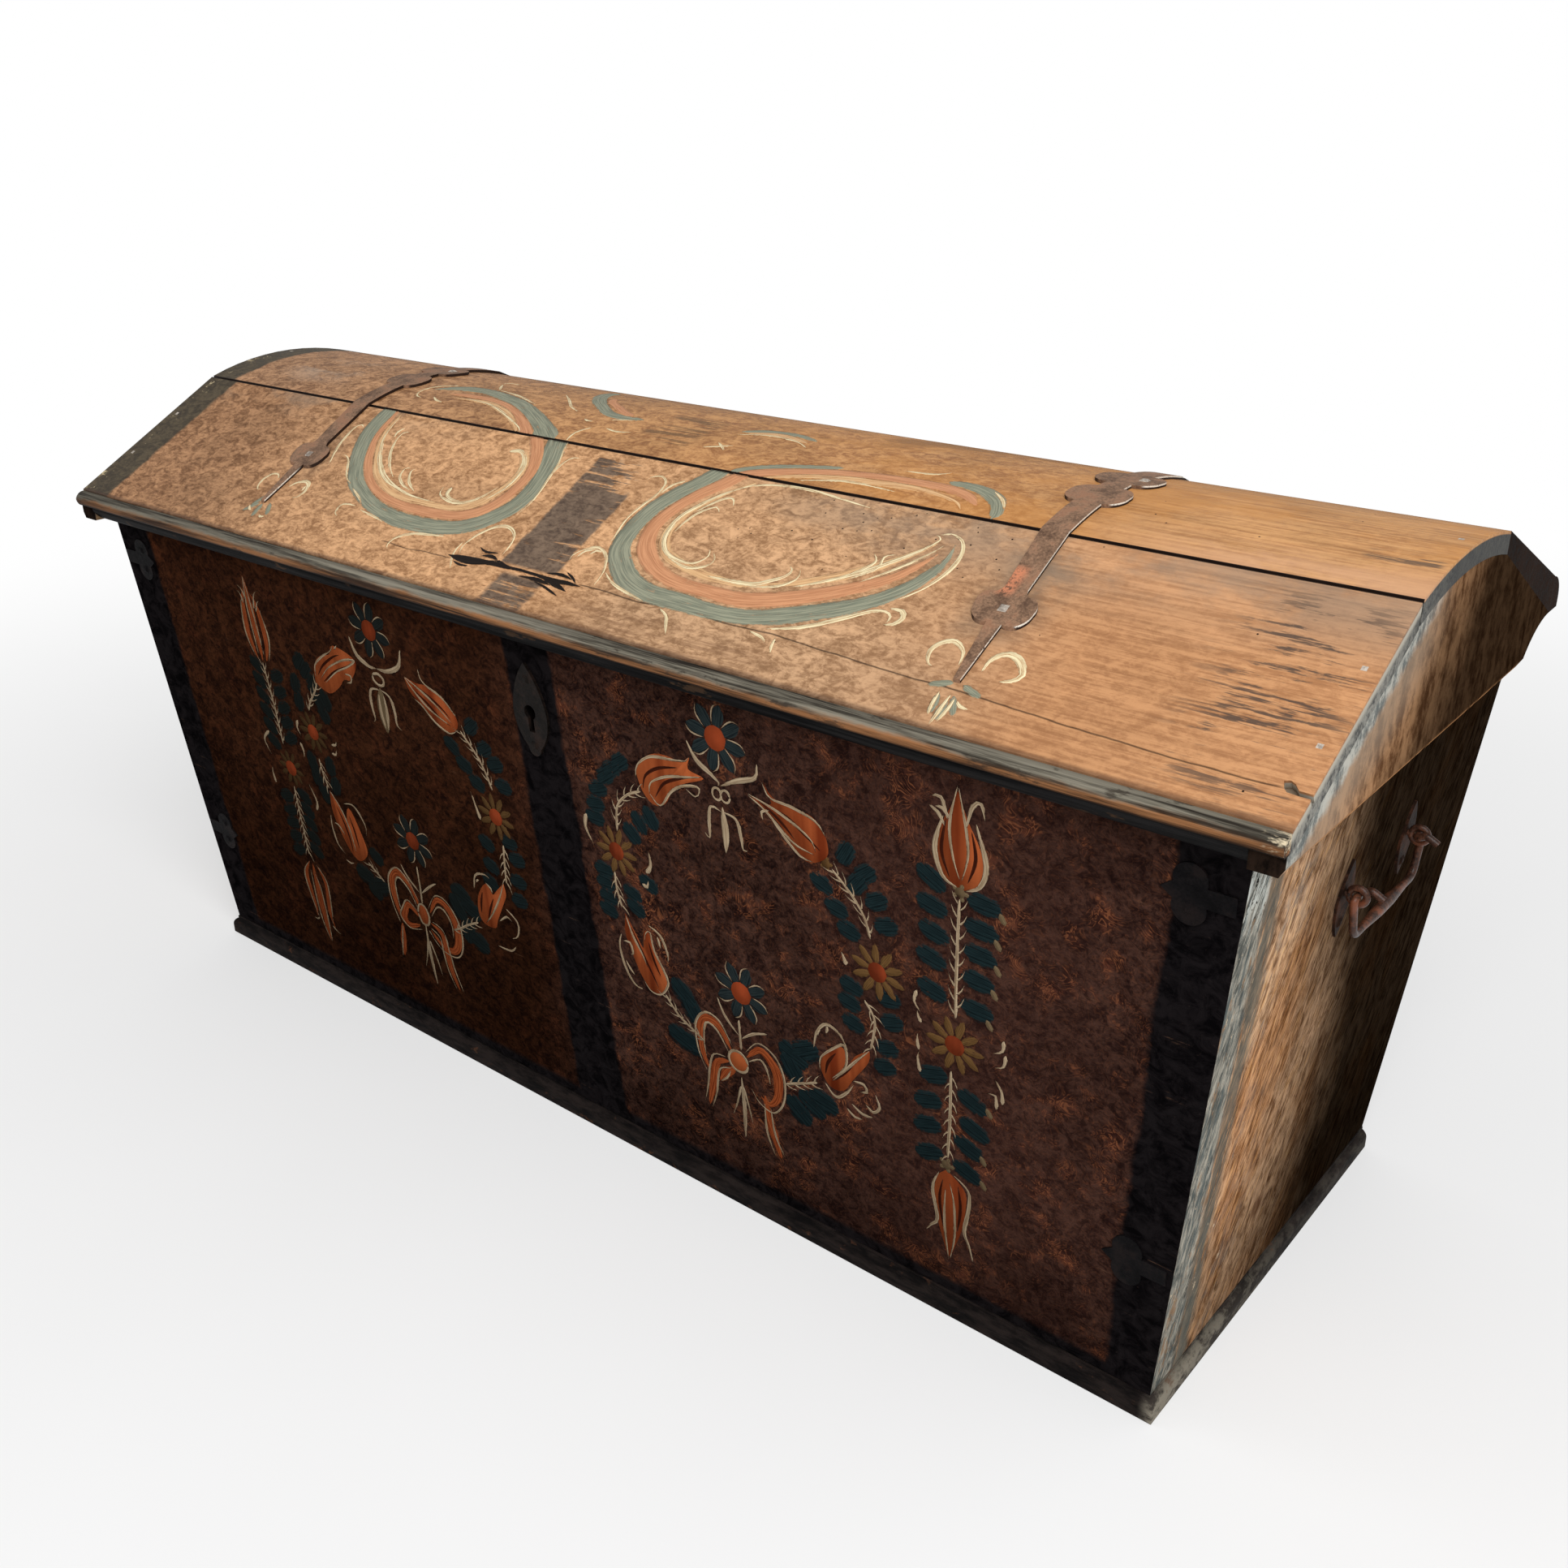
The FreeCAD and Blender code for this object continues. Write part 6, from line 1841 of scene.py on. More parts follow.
    def right_wreath(self, p: Panel) -> None:
        """Lays the wreath on the right half.

        Args:
            p: the panel.
        """
        Daisy(190.1, 41.6, 28, 10, 8, 12, Ink.PETAL, True).paint(p)
        p.brush(
            Ink.CREAM, 4.6, Stroke.SWELL,
            ((161.7, 50.7), (170.3, 64.3), (182.7, 71.7), (190.1, 76.7), (188.9, 79.6)),
            ((227.2, 51.9), (224.8, 63.1), (207.4, 70.5), (191.4, 79.1)))
        for x in (187.2, 195.2):
            eyelet = oval(x, 86.6, 4.4, 5, 8)
            p.brush(Ink.CREAM, 2, Stroke.LINE, (*eyelet, eyelet[0]))
        p.brush(Ink.CREAM, 7, Stroke.LEAF, ((191.4, 96), (192.5, 115), (191.4, 134.5)))
        p.brush(
            Ink.CREAM, 3.4, Stroke.SWELL,
            ((190.9, 100.2), (180.2, 98.9), (177.3, 111.3), (176.5, 126.1), (171.6, 122.4)),
            ((191.4, 100.2), (203.7, 102.6), (207.4, 116.2), (208.7, 126.1), (213.6, 124.9)))
        p.fill(
            Ink.ORANGE,
            ((106, 91.5), (113.5, 79.1), (128.3, 70.5), (143.1, 69.3), (154.3, 70.5), (162.9, 64.3),
             (160.5, 74.2), (175.3, 77.9), (160.5, 85.3), (153, 89), (143.1, 96.5), (133.3, 111.3),
             (120.9, 115), (111, 106.4)),
            ((75.1, 227.6), (86.3, 247.3), (91.2, 254.8), (93.7, 239.9), (98.6, 236.2), (104.8, 254.8),
             (114.7, 272.1), (114.7, 284.4), (106, 294.3), (96.1, 295.6), (86.3, 284.4), (78.8, 267.1),
             (72.6, 247.3)),
            ((217.3, 77.9), (232.2, 80.4), (238.4, 79.1), (232.2, 65.5), (239.6, 74.2), (256.9, 76.7),
             (274.2, 79.1), (284.1, 89), (286.6, 103.9), (279.2, 112.5), (266.8, 116.3), (254.4, 106.4),
             (244.6, 94), (229.7, 84.1)),
            ((315, 258.5), (301.4, 269.6), (294, 282), (291.5, 267.1), (281.7, 269.6), (270.5, 284.4),
             (269.3, 296.8), (276.7, 307.9), (289.1, 306.7), (299, 291.9), (313.8, 269.6)))
        p.brush(
            Ink.CREAM, 2.6, Stroke.SWELL,
            ((105.5, 96.5), (108.5, 85.3), (123.4, 74.2), (148.1, 70.5), (159.2, 68), (162.4, 63.8)),
            ((118.4, 106.4), (120.9, 96.5), (138.2, 86.6), (158, 81.6), (174.1, 77.2)),
            ((118.4, 106.4), (128.3, 113.8), (140.7, 98.9), (153, 90.3), (167.9, 86.6), (169.9, 90.3),
             (165.4, 95.2), (156.7, 91.5)), ((75.1, 228.8), (81.3, 247.3), (88.7, 259.7), (93.7, 272.1)),
            ((93.7, 247.3), (96.1, 238.7), (101.1, 236.2), (103.6, 252.3), (114.7, 274.5), (113.5, 284.4),
             (104.8, 294.3), (93.7, 294.3), (86.3, 284.4)),
            ((230.9, 64.8), (233.4, 70.5), (238.4, 75.4), (256.9, 76.7), (276.7, 81.6), (285.4, 91.5)),
            ((217.3, 77.9), (239.6, 82.9), (261.9, 91.5), (273, 98.9), (275.5, 106.4)),
            ((217.3, 79.1), (232.2, 86.6), (247, 98.9), (259.4, 106.4), (274.2, 108.8)),
            ((235.9, 85.3), (228.5, 89), (229.7, 95.2)),
            ((237.1, 91.5), (249.5, 103.9), (261.9, 113.8), (273, 115)),
            ((268, 296.8), (269.3, 284.4), (281.7, 270.8), (291.5, 263.4), (294, 272.1), (291.5, 284.4),
             (279.2, 299.3)), ((315, 258.5), (301.4, 274.5), (291.5, 286.9), (279.2, 301.8)))
        p.brush(
            Ink.CREAM, 3, Stroke.SWELL, ((99.9, 230), (112.2, 235), (118.4, 249.8), (117.9, 258.5)),
            ((108.5, 237.4), (110, 242), (111, 247.3)),
            ((67.7, 248.6), (64, 262.2), (67.7, 282), (76.4, 295.6), (87.5, 296.8)),
            ((68.9, 256), (76.4, 254.8), (78.8, 264.7), (75.1, 265.9)),
            ((68.9, 274.5), (73, 281), (77.6, 285.7)),
            ((271.8, 306.7), (281.7, 315.4), (291.5, 307.9), (299, 296.8)),
            ((263.1, 278.3), (266.8, 262.2), (276.7, 251.1), (289.1, 256), (295.3, 268.4)),
            ((270.5, 258.5), (268, 261), (268, 264.7)), ((276.7, 252.3), (277, 256), (275.5, 259.7)),
            ((299, 293.1), (308.9, 291.9), (311.3, 298), (303.9, 300.5)),
            ((318.8, 296.8), (322.5, 306.7), (316.3, 314.1), (308.9, 309.2)),
            ((296.5, 315.4), (306.4, 320.3), (316.3, 319.1)), ((291.5, 321.5), (299, 326.5), (306.4, 325.2)))
        p.brush(
            Ink.UMBER, 3.4, Stroke.SWELL, ((112, 104), (116, 92), (130, 82), (150, 76)),
            ((124, 108), (134, 94), (148, 86), (164, 80)), ((80, 238), (88, 256), (98, 276), (104, 288)),
            ((98, 246), (102, 262), (108, 276)), ((234, 82), (252, 86), (268, 96), (280, 104)),
            ((226, 80), (244, 90), (258, 102)), ((302, 274), (292, 288), (282, 300)),
            ((284, 274), (276, 286), (273, 298)))
        p.leaves(
            Ink.TEAL, 22, 17, -35, (88.7, 89), (71.4, 105.1), (61.5, 118.7, -20), (56.6, 133.6, -10),
            (54.1, 145.9, 0), (115.9, 128.6, 60), (103.6, 136, 50), (93.7, 148.4, 40), (56.6, 192.9, 0),
            (56.6, 205.3, 0), (56.6, 230, 10), (86.3, 205.3, 20), (88.7, 217.7, 20), (79, 97), (58, 218, 5),
            (106, 190, 20))
        p.leaves(
            Ink.TEAL, 22, 17, 0, (301.4, 98.9, -60), (317.5, 110.1, -40), (326.2, 128.6, -30),
            (279.2, 129.9, 20), (291.5, 145.9, 10), (333.6, 145.9, -20), (301.4, 160.8, 10),
            (301.4, 207.8, 10), (299, 222.6, 10), (301.4, 239.9, 10), (336.1, 225.1, -20),
            (331.1, 249.8, -20), (328.7, 267.1, -20), (334, 206, -10), (310, 120, -50))
        p.leaves(
            Ink.TEAL, 30, 23, 20, (242.1, 294.3), (254, 286, -30), (269.3, 326.5, 10), (258, 334, 30),
            (244.6, 346.3, 40), (130.8, 282, 40), (123.4, 329, 20), (140, 296, 60), (136, 330, 10),
            (240, 308, 60))
        Stem(((108.5, 107.6), (93.7, 115), (81.3, 128.6), (77.6, 150.9))).paint(p)
        Stem(((68.9, 190.5), (69, 206), (72.6, 222.6)), back=-1.0).paint(p)
        Stem(((111, 291.9), (123.4, 306.7), (139.4, 315.4), (150, 322))).paint(p)
        Stem(((289.1, 115), (303.9, 128.6), (315, 143.5), (320, 160.8))).paint(p)
        Stem(((312.6, 215.2), (321.2, 230), (316.3, 257.2)), back=-1.0).paint(p)
        Stem(((264.3, 310.4), (252, 316.6), (232.2, 326.5))).paint(p)
        Daisy(73.9, 170.7, 23, 8, 10, 0, Ink.OCHRE).paint(p)
        Daisy(324.9, 186.7, 24, 8, 10, 14, Ink.OCHRE).paint(p)
        Daisy(284.1, 112.5, 6, 4, 5, 0, Ink.OCHRE, eye_ink=Ink.OCHRE).paint(p)
        p.brush(
            Ink.CREAM, 5, Stroke.COMMA, ((44.2, 145.9), (41.7, 158.3), (49.1, 173.1)),
            ((104.8, 180), (110.5, 172), (109.7, 158.3)), ((99, 192), (104, 193), (106, 187)),
            ((297.7, 191), (296.5, 187), (294, 181)))
        Daisy(193.8, 257.2, 27, 10, 8, 20, Ink.PETAL, True).paint(p)
        p.brush(Ink.CREAM, 2.6, Stroke.LINE, ((188.9, 284.4), (188.9, 298), (188.9, 313)))
        p.brush(
            Ink.CREAM, 3, Stroke.SWELL, ((167.9, 270.8), (175.3, 286.9), (187.7, 299.3)),
            ((217.3, 285.7), (202.5, 291.9), (190.1, 301.8)))
        self.right_bow(p)

    def right_bow(self, p: Panel) -> None:
        """Lays the bow below the right wreath.

        Args:
            p: the panel.
        """
        p.brush(
            Ink.ORANGE, 10, Stroke.SWELL,
            ((178, 318), (166, 299), (153, 297.5), (147, 308), (146.5, 331), (152, 348)),
            ((194, 318), (207.4, 305), (218, 310), (225, 324), (223, 344), (215, 355), (206, 351)))
        p.brush(
            Ink.ORANGE, 10, Stroke.SWELL, ((175, 330), (162, 336), (157.5, 350), (153.5, 366), (148.5, 385)),
            ((210, 348), (213, 372), (218, 390), (222.3, 406)), ((182, 334), (172, 342), (163, 355)))
        p.brush(
            Ink.CREAM, 2.4, Stroke.SWELL,
            ((180.2, 314.1), (167.9, 294.3), (153, 291.5), (141.5, 306.7), (141.5, 331.4), (149, 350)),
            ((176, 322), (164, 304), (153, 301.8), (149, 321.5), (150.5, 336)),
            ((172.8, 327), (158.5, 330), (152.5, 346.3), (149, 363.6), (143.5, 384)),
            ((177, 336), (165, 341), (161, 352), (158, 368), (151, 387)),
            ((175.3, 338.9), (171, 348), (162.9, 355)),
            ((192.6, 314.1), (207.4, 298.5), (224, 305), (231.5, 324), (229, 346.3), (218, 361.5), (204, 358),
             (196, 347)), ((195, 322), (208, 314), (214.5, 322), (217, 335)),
            ((209, 356), (209.5, 385), (217, 407)), ((215, 358), (218, 384), (227, 404)))
        p.brush(Ink.CREAM, 4.4, Stroke.SWELL, ((186.4, 341), (187, 370), (185.2, 402)))
        p.brush(
            Ink.CREAM, 3, Stroke.COMMA, ((185.2, 350), (180, 368), (174.1, 383.4)),
            ((187.7, 350), (192, 368), (195.1, 385.9)))
        ring = oval(184.7, 326, 10, 10, 10)
        p.fill(Ink.ORANGE, ring)
        p.brush(Ink.CREAM, 2.6, Stroke.LINE, (*ring, ring[0]))

    def right_garland(self, p: Panel) -> None:
        """Lays the tulips, stem, leaves and daisy at the far right.

        Args:
            p: the panel.
        """
        p.leaves(
            Ink.TEAL, 26, 18, 12, (371.7, 94, 30), (371.7, 115), (373, 136), (370.5, 157), (370.5, 183),
            (370.5, 254.8, -20), (365.5, 279.5, -20), (364.3, 301.8, -20), (365.5, 326.5, -20))
        p.leaves(
            Ink.TEAL, 27, 18, 3, (412.5, 101.4), (410.1, 121.2), (408.8, 141), (407.6, 162), (406.4, 185.5),
            (402.6, 264.7, 20), (403.9, 288.2, 20), (398.9, 306.7, 20), (397.7, 329, 20))
        p.leaves(
            Ink.PALE, 9, 5, 60, (426, 107), (422.4, 128), (422.4, 148), (420, 167.7), (416.2, 193.7),
            (416.2, 268), (411.3, 312.4), (411.3, 334.7))
        p.fill(
            Ink.ORANGE,
            ((393, 24), (400.5, 44), (407, 56), (412.3, 72), (408.8, 87), (398, 95), (390, 94), (380.4, 87),
             (376.5, 70), (381, 50), (387, 38)))
        p.brush(
            Ink.UMBER, 3.4, Stroke.SWELL, ((384, 46), (380, 70), (386, 89)),
            ((403, 50), (406, 70), (400, 89)), ((377, 346), (374, 366), (377, 392)),
            ((390, 346), (392, 366), (389, 390)))
        p.brush(
            Ink.CREAM, 4.4, Stroke.SWELL, ((381.6, 45), (374.9, 69.3), (380.4, 89), (391.5, 94.8)),
            ((406.4, 43.8), (413.8, 71.7), (408.8, 89), (397.7, 95.5)))
        p.brush(
            Ink.CREAM, 2.4, Stroke.SWELL, ((393, 19.8), (386.6, 49.5), (389, 74.2), (394, 89)),
            ((393.5, 21), (398.9, 49.5), (400.2, 69.3), (395.2, 89)))
        p.brush(
            Ink.CREAM, 3.4, Stroke.SWELL, ((385.3, 47), (380.4, 32.2), (373, 33.1)),
            ((386.6, 45.8), (381.6, 39.6), (375.7, 39.8)),
            ((398.9, 49.5), (403.9, 32.2), (410.1, 28.4), (413, 39.6)), ((383, 52), (378, 44), (371, 40)))
        Daisy(394, 98, 7, 4, 5, 0, Ink.PALE, eye_ink=Ink.PALE).paint(p)
        Stem(((393.5, 103), (391, 153.4), (389.5, 199)), 2.8, 10.0, 13.0, 1.0).paint(p)
        Daisy(388.5, 221.9, 24, 8, 10, 0, Ink.OCHRE).paint(p)
        p.brush(
            Ink.CREAM, 4, Stroke.COMMA, ((358.1, 188), (355.7, 197.9), (361.8, 206.5)),
            ((361.3, 214), (359, 210), (358.1, 205)), ((358.6, 238), (357.5, 231), (358.1, 223.8)),
            ((359.4, 257.2), (357.4, 244.9), (359.4, 238.7)),
            ((427.4, 201.6), (426.6, 210.2), (418.7, 215.2)), ((429, 212.7), (427.4, 222.6), (420, 226.3)),
            ((426.6, 254.8), (426.1, 244.9), (420, 235)), ((421.9, 261), (421, 249.8), (413.8, 251)))
        Stem(((385.3, 245), (384.1, 284.4), (381.6, 324)), 2.8, 10.0, 11.0, -1.0).paint(p)
        Daisy(380.4, 331, 7, 4, 5, 0, Ink.PALE, eye_ink=Ink.PALE).paint(p)
        p.fill(
            Ink.ORANGE,
            ((380, 336), (390, 342), (396.5, 350), (396.5, 364), (393.5, 384), (388, 402), (381.6, 418),
             (376, 402), (371.5, 384), (369.5, 360), (372, 345)))
        p.brush(
            Ink.CREAM, 3.6, Stroke.SWELL,
            ((373.7, 340.6), (368, 358.7), (371.7, 385.9), (366, 395), (360.6, 403.2)),
            ((386.6, 338), (398.9, 346.3), (398.9, 363.6), (395.2, 385.9), (399, 398), (402.4, 412)))
        p.brush(
            Ink.CREAM, 2.4, Stroke.SWELL, ((379.1, 353.7), (377.9, 385.9), (381.1, 422)),
            ((382.9, 346.3), (386.6, 366.1), (386.6, 395.7), (382.1, 420.5)))

    def build(self) -> None:
        """Lays everything on the front."""
        panel = Panel("front_brush", FrontFace(), FrontPaint(), "panel_paint")
        self.left_garland(panel)
        self.left_wreath(panel)
        self.right_wreath(panel)
        self.right_garland(panel)
        panel.finish()


class LidDecoration:
    """Rings, C-scrolls and strap-tip scrolls on the two boards of the lid."""

    def slope_ring(self, p: Panel) -> None:
        """Lays the ring on the left of the slope.

        Args:
            p: the panel.
        """
        p.brush(
            Ink.LID_TEAL, 18, Stroke.LINE,
            ((-324, -14, 20), (-322, 7, 20), (-320.2, 31.5, 20), (-311, 51.2, 20), (-295.3, 74.1, 18),
             (-276.3, 93, 16), (-254.2, 104.9, 15), (-230.5, 114.4, 14), (-202.1, 120.7, 15),
             (-178.4, 123, 17), (-150, 122.5, 17), (-122, 118, 17), (-103, 109, 19), (-91, 97, 20),
             (-82.5, 84, 20), (-79.5, 70, 20), (-81, 54, 19), (-87.5, 34, 21), (-97, 15, 24), (-111, -8, 27)))
        p.brush(
            Ink.SALMON, 10, Stroke.LINE,
            ((-311, -6, 4), (-310, 8, 6), (-307, 32, 7), (-299, 50, 8), (-284, 70, 9), (-265, 86, 9),
             (-242, 98, 9), (-218, 105, 9), (-195, 108, 10), (-171, 108.5, 12), (-150, 107.6, 11),
             (-128, 104.5, 12), (-109, 94, 13), (-100, 79, 13), (-96.5, 63, 12), (-97.5, 46, 12),
             (-107, 28, 13), (-121, 12, 13), (-141, -8, 15)))
        p.brush(
            Ink.WASH, 8, Stroke.LINE,
            ((-303, 8, 3), (-299, 33, 6), (-289, 50, 8), (-275, 66, 9), (-256, 82, 10), (-234, 92.5, 9),
             (-211, 98.5, 8), (-187, 100, 7), (-160, 99.5, 7), (-138, 97.5, 8), (-120, 87, 10),
             (-110, 70, 10), (-107, 56, 9), (-111, 40, 9), (-122, 28, 9), (-134, 23, 7)))
        p.brush(
            Ink.LID_CREAM, 3.2, Stroke.SWELL,
            ((-301, 12), (-296, 36), (-281, 58), (-262, 75), (-240, 87), (-214, 93)),
            ((-290, 44), (-272, 64), (-250, 80), (-222, 91), (-196, 96), (-168, 97)),
            ((-281, 23.6), (-285, 29.9), (-282.6, 37.8)),
            ((-271.6, 27.5), (-277.1, 29.9), (-277.1, 39.4), (-268.4, 55.2), (-252.6, 71), (-236, 82)),
            ((-228.9, 67), (-233.7, 69.4), (-230.5, 78.8), (-217.9, 86.7), (-204, 91)),
            ((-221, 67), (-224.2, 70.2), (-214.7, 82), (-198.9, 90.7)),
            ((-172.1, 78.8), (-170.5, 85.2), (-164.2, 89.9), (-145.3, 93.1), (-131, 88.3), (-121.6, 78.8),
             (-115, 66)), ((-118, 84), (-109, 70), (-106.5, 54), (-111, 38), (-124, 26), (-136, 24)))
        p.brush(
            Ink.LID_CREAM, 5, Stroke.COMMA, ((-163, 78), (-161, 86), (-151.6, 90), (-140, 90)),
            ((-140, 27), (-128, 25), (-117, 33), (-111, 46), (-110, 60)))
        p.brush(
            Ink.LID_CREAM, 2.4, Stroke.SWELL,
            ((-322.1, 71), (-318.9, 68.6), (-309.5, 72.5), (-301.6, 80.4), (-288.9, 93.1), (-277.9, 97.8)),
            ((-270, 102.5), (-252.6, 110.4), (-243.2, 116)),
            ((-246.3, 119.9), (-254.2, 119.9), (-262.1, 121.5), (-263.7, 126.2), (-260.5, 132.5),
             (-255, 134.9)), ((-238.4, 123), (-214.7, 126.2), (-198.9, 129.4)),
            ((-93.2, -8), (-86.8, 12.5), (-79, 28.3), (-72.6, 52), (-69.5, 66.2), (-68.7, 80.4),
             (-72.6, 94.6)), ((-61.6, 20.4), (-67.9, 20.4), (-73.4, 26.7), (-75, 44.1), (-71, 58.3)),
            ((-97.9, 129.4), (-96.3, 142), (-85.3, 157)))
        p.brush(
            Ink.LID_CREAM, 3.4, Stroke.SWELL,
            ((-120, 127.8), (-135.8, 130.2), (-151.6, 132.5), (-164.2, 137.3), (-170.5, 143.6),
             (-171.3, 149.9), (-167.4, 153.9), (-163.4, 153.1)),
            ((-90, 140.4), (-93.9, 134.1), (-91.6, 121.5), (-82.1, 108.8), (-69.5, 104.1), (-56.8, 108.8),
             (-50.5, 118.3), (-48.2, 132.5)), ((-330, 34), (-336, 30), (-342, 36), (-338, 60), (-326, 84)))

    def slope_middle(self, p: Panel) -> None:
        """Lays the strokes beside the middle band and the open crack in it.

        Args:
            p: the panel.
        """
        p.brush(
            Ink.LID_CREAM, 2.8, Stroke.SWELL,
            ((20.5, 29.9), (22.1, 23.6), (31.6, 20.4), (40.3, 26.7), (41.1, 39.4), (36.3, 55.2), (34, 71),
             (37.9, 89.9), (39.5, 99.4)), ((43.4, 38.6), (47.4, 26.7), (56.9, 18.8)),
            ((17.4, 121.5), (15.8, 115.2), (23.7, 105.7), (33.2, 102.5), (45.8, 108.8), (55.3, 123.1),
             (57.6, 138.8)), ((21.3, 116.7), (23.7, 108.8), (33.2, 104.1)),
            ((30, 112), (33.2, 105.7), (39.5, 106.5)),
            ((56.9, 123.1), (71.1, 131), (86.9, 135.7), (110.5, 140.4)))
        p.brush(
            Ink.CRACK, 4, Stroke.LINE,
            ((-100, 144.5, 2), (-84, 145, 7), (-70, 144.5, 8), (-56, 142.5, 5), (-46, 141, 7), (-34, 142, 4),
             (-20, 141.5, 3), (0, 142, 3), (20, 143, 5), (34, 142, 4), (50, 142, 1)))
        p.brush(
            Ink.CRACK, 2.4, Stroke.SWELL, ((-76, 130), (-66, 133), (-52, 131)),
            ((-68, 138), (-58, 136, 4), (-47, 138)), ((2, 148), (18, 151), (36, 156)),
            ((-16, 147), (4, 146, 4), (22, 148)), ((6, 138), (22, 136, 3.4), (36, 138)),
            ((24, 132), (34, 136), (42, 141)), ((-90, 149), (-80, 151), (-70, 150)),
            ((10, 145), (24, 146, 5), (40, 150)))

    def slope_scroll(self, p: Panel) -> None:
        """Lays the large C-scroll on the right of the slope.

        Args:
            p: the panel.
        """
        p.brush(
            Ink.LID_TEAL, 17, Stroke.LINE,
            ((90, -14, 22), (84, -5, 20), (72, 16, 18), (58, 35, 18), (49, 54, 18), (46.5, 76, 19),
             (51, 98, 19), (65, 113, 19), (83, 125, 19), (108, 132, 18), (136, 132.8, 17), (169, 134, 15),
             (200, 131.5, 15), (230, 121.5, 17), (262, 106, 16), (286, 89.5, 14), (302, 70, 12), (311, 48, 8),
             (309.5, 30, 4)))
        p.brush(
            Ink.SALMON, 15, Stroke.LINE,
            ((112, -14, 15), (106, -6, 15), (93, 13, 15), (78, 31, 14), (68, 49, 14), (63.5, 69, 15),
             (69, 86, 16), (81, 99, 16), (98, 109.5, 14), (120, 116, 13), (152.6, 118, 13), (185, 117.5, 15),
             (212, 110.5, 16), (240, 98, 15), (264, 84, 13), (283, 70, 10), (297, 51, 7), (303, 38, 3)))
        p.brush(
            Ink.WASH, 10, Stroke.SWELL,
            ((118, 8), (97, 28), (84, 48), (79, 67), (84, 82), (97, 94), (120, 101), (150, 105), (182, 104),
             (206, 95)), ((196, 100), (222, 90), (248, 76), (272, 58), (291, 38), (297, 28)))
        p.brush(
            Ink.LID_CREAM, 4.4, Stroke.SWELL,
            ((118.4, 9.4), (96.3, 28.3), (80.5, 52), (79, 67.8), (83.7, 82), (96.3, 93.1), (118.4, 97),
             (127.9, 93.1), (131.1, 86.7), (127.9, 80.4)),
            ((144.5, 104.6), (182, 102.9), (195, 96.4), (204.8, 88.3), (205.7, 81.7), (201.6, 79.3)),
            ((216, 97), (234.2, 87), (258.7, 70), (279.9, 50), (289.7, 39.3), (296.2, 27.9), (291, 24.6)))
        p.brush(
            Ink.LID_CREAM, 2.8, Stroke.SWELL,
            ((109, 44.1), (102.6, 39.4), (91.6, 48.8), (86.9, 61.5), (85.3, 74.1)),
            ((116.8, 36.2), (110.5, 28.3), (101.1, 31.5), (86.9, 50.4)),
            ((98, 96), (122, 101.5), (136, 96), (138.9, 91), (137.4, 86.7), (132.6, 82)),
            ((182, 106), (204.8, 98.9), (214.6, 88.3), (211.4, 80.1), (208.9, 79.3)),
            ((244, 82), (258.7, 66), (262, 58), (256.3, 52)),
            ((252, 80), (266.8, 64.5), (265.6, 53.4), (272.5, 49.1)),
            ((262, 80), (282, 60), (298, 40), (303, 30)),
            ((128.2, 142.9), (137.9, 147), (144.5, 155.2), (151, 163.3)),
            ((211.4, 142.1), (224.4, 144.6), (229.3, 148.6)),
            ((234.2, 142.1), (235.8, 148.6), (239.1, 155.2)),
            ((104, 20), (122, 10), (142, 6), (166, 5), (196, 8), (230, 12)))
        p.brush(
            Ink.LID_CREAM, 3.6, Stroke.SWELL,
            ((293, 24.6), (301.1, 21.2), (311.9, 25.3), (318.4, 36.1), (319.2, 49.1), (316, 62.2), (309, 75),
             (298, 88)))
        p.brush(
            Ink.LID_CREAM, 4.6, Stroke.SWELL,
            ((222, 137), (240, 131), (255.4, 123.5), (275, 109.8), (286.4, 101.5), (296.2, 99.1),
             (302.7, 102.3), (303.4, 109)),
            ((297.8, 95.6), (307.6, 95.6), (311.9, 101.3), (308.4, 108), (302, 110)))

    def strap_scrolls(self, p: Panel) -> None:
        """Lays the small scrolls and leaves at the two strap tips.

        Args:
            p: the panel.
        """
        p.leaves(
            Ink.LID_TEAL, 17, 6, 90, (-364, 139, 115), (-354.5, 150, 80), (-342, 146, 50), (368, 144, 160),
            (391, 144, 20), (373, 160, 80), (380, 164, 92), (386, 158, 60), (-366, 148, 130))
        p.brush(
            Ink.LID_CREAM, 4.4, Stroke.SWELL,
            ((371.3, 127.4), (368, 116), (358.2, 109.5), (350.1, 112.7), (346, 120.9), (350.1, 130.7),
             (354.9, 132.6)),
            ((-345.8, 118.3), (-342.6, 112), (-333.2, 107.3), (-325.3, 109.6), (-320.8, 118.3),
             (-323.7, 126.2), (-329.2, 127.8)))
        p.brush(
            Ink.LID_CREAM, 6, Stroke.SWELL,
            ((388.4, 127.4), (389.2, 116), (397.4, 109.5), (407.2, 112.7), (414.5, 122.5), (410.4, 129.1),
             (403.1, 131.5)))
        p.brush(
            Ink.LID_CREAM, 3.2, Stroke.SWELL,
            ((-367.9, 112), (-374.2, 106.5), (-382.1, 108.1), (-386.1, 115.2), (-384.5, 123.1),
             (-380.5, 127.8), (-375.8, 126.2)), ((-326.8, 112), (-326, 115), (-325.3, 118.3)),
            ((-369.5, 146.7), (-366, 150), (-361.6, 151.9)), ((-345.8, 154.6), (-342, 156), (-337.9, 154.6)),
            ((386, 153.5), (390, 157), (396.7, 157.8)), ((379.4, 150), (379.4, 164), (379.4, 177)),
            ((371, 150), (372, 160), (374.5, 170)), ((383.5, 152), (384, 162), (382.4, 173.5)))

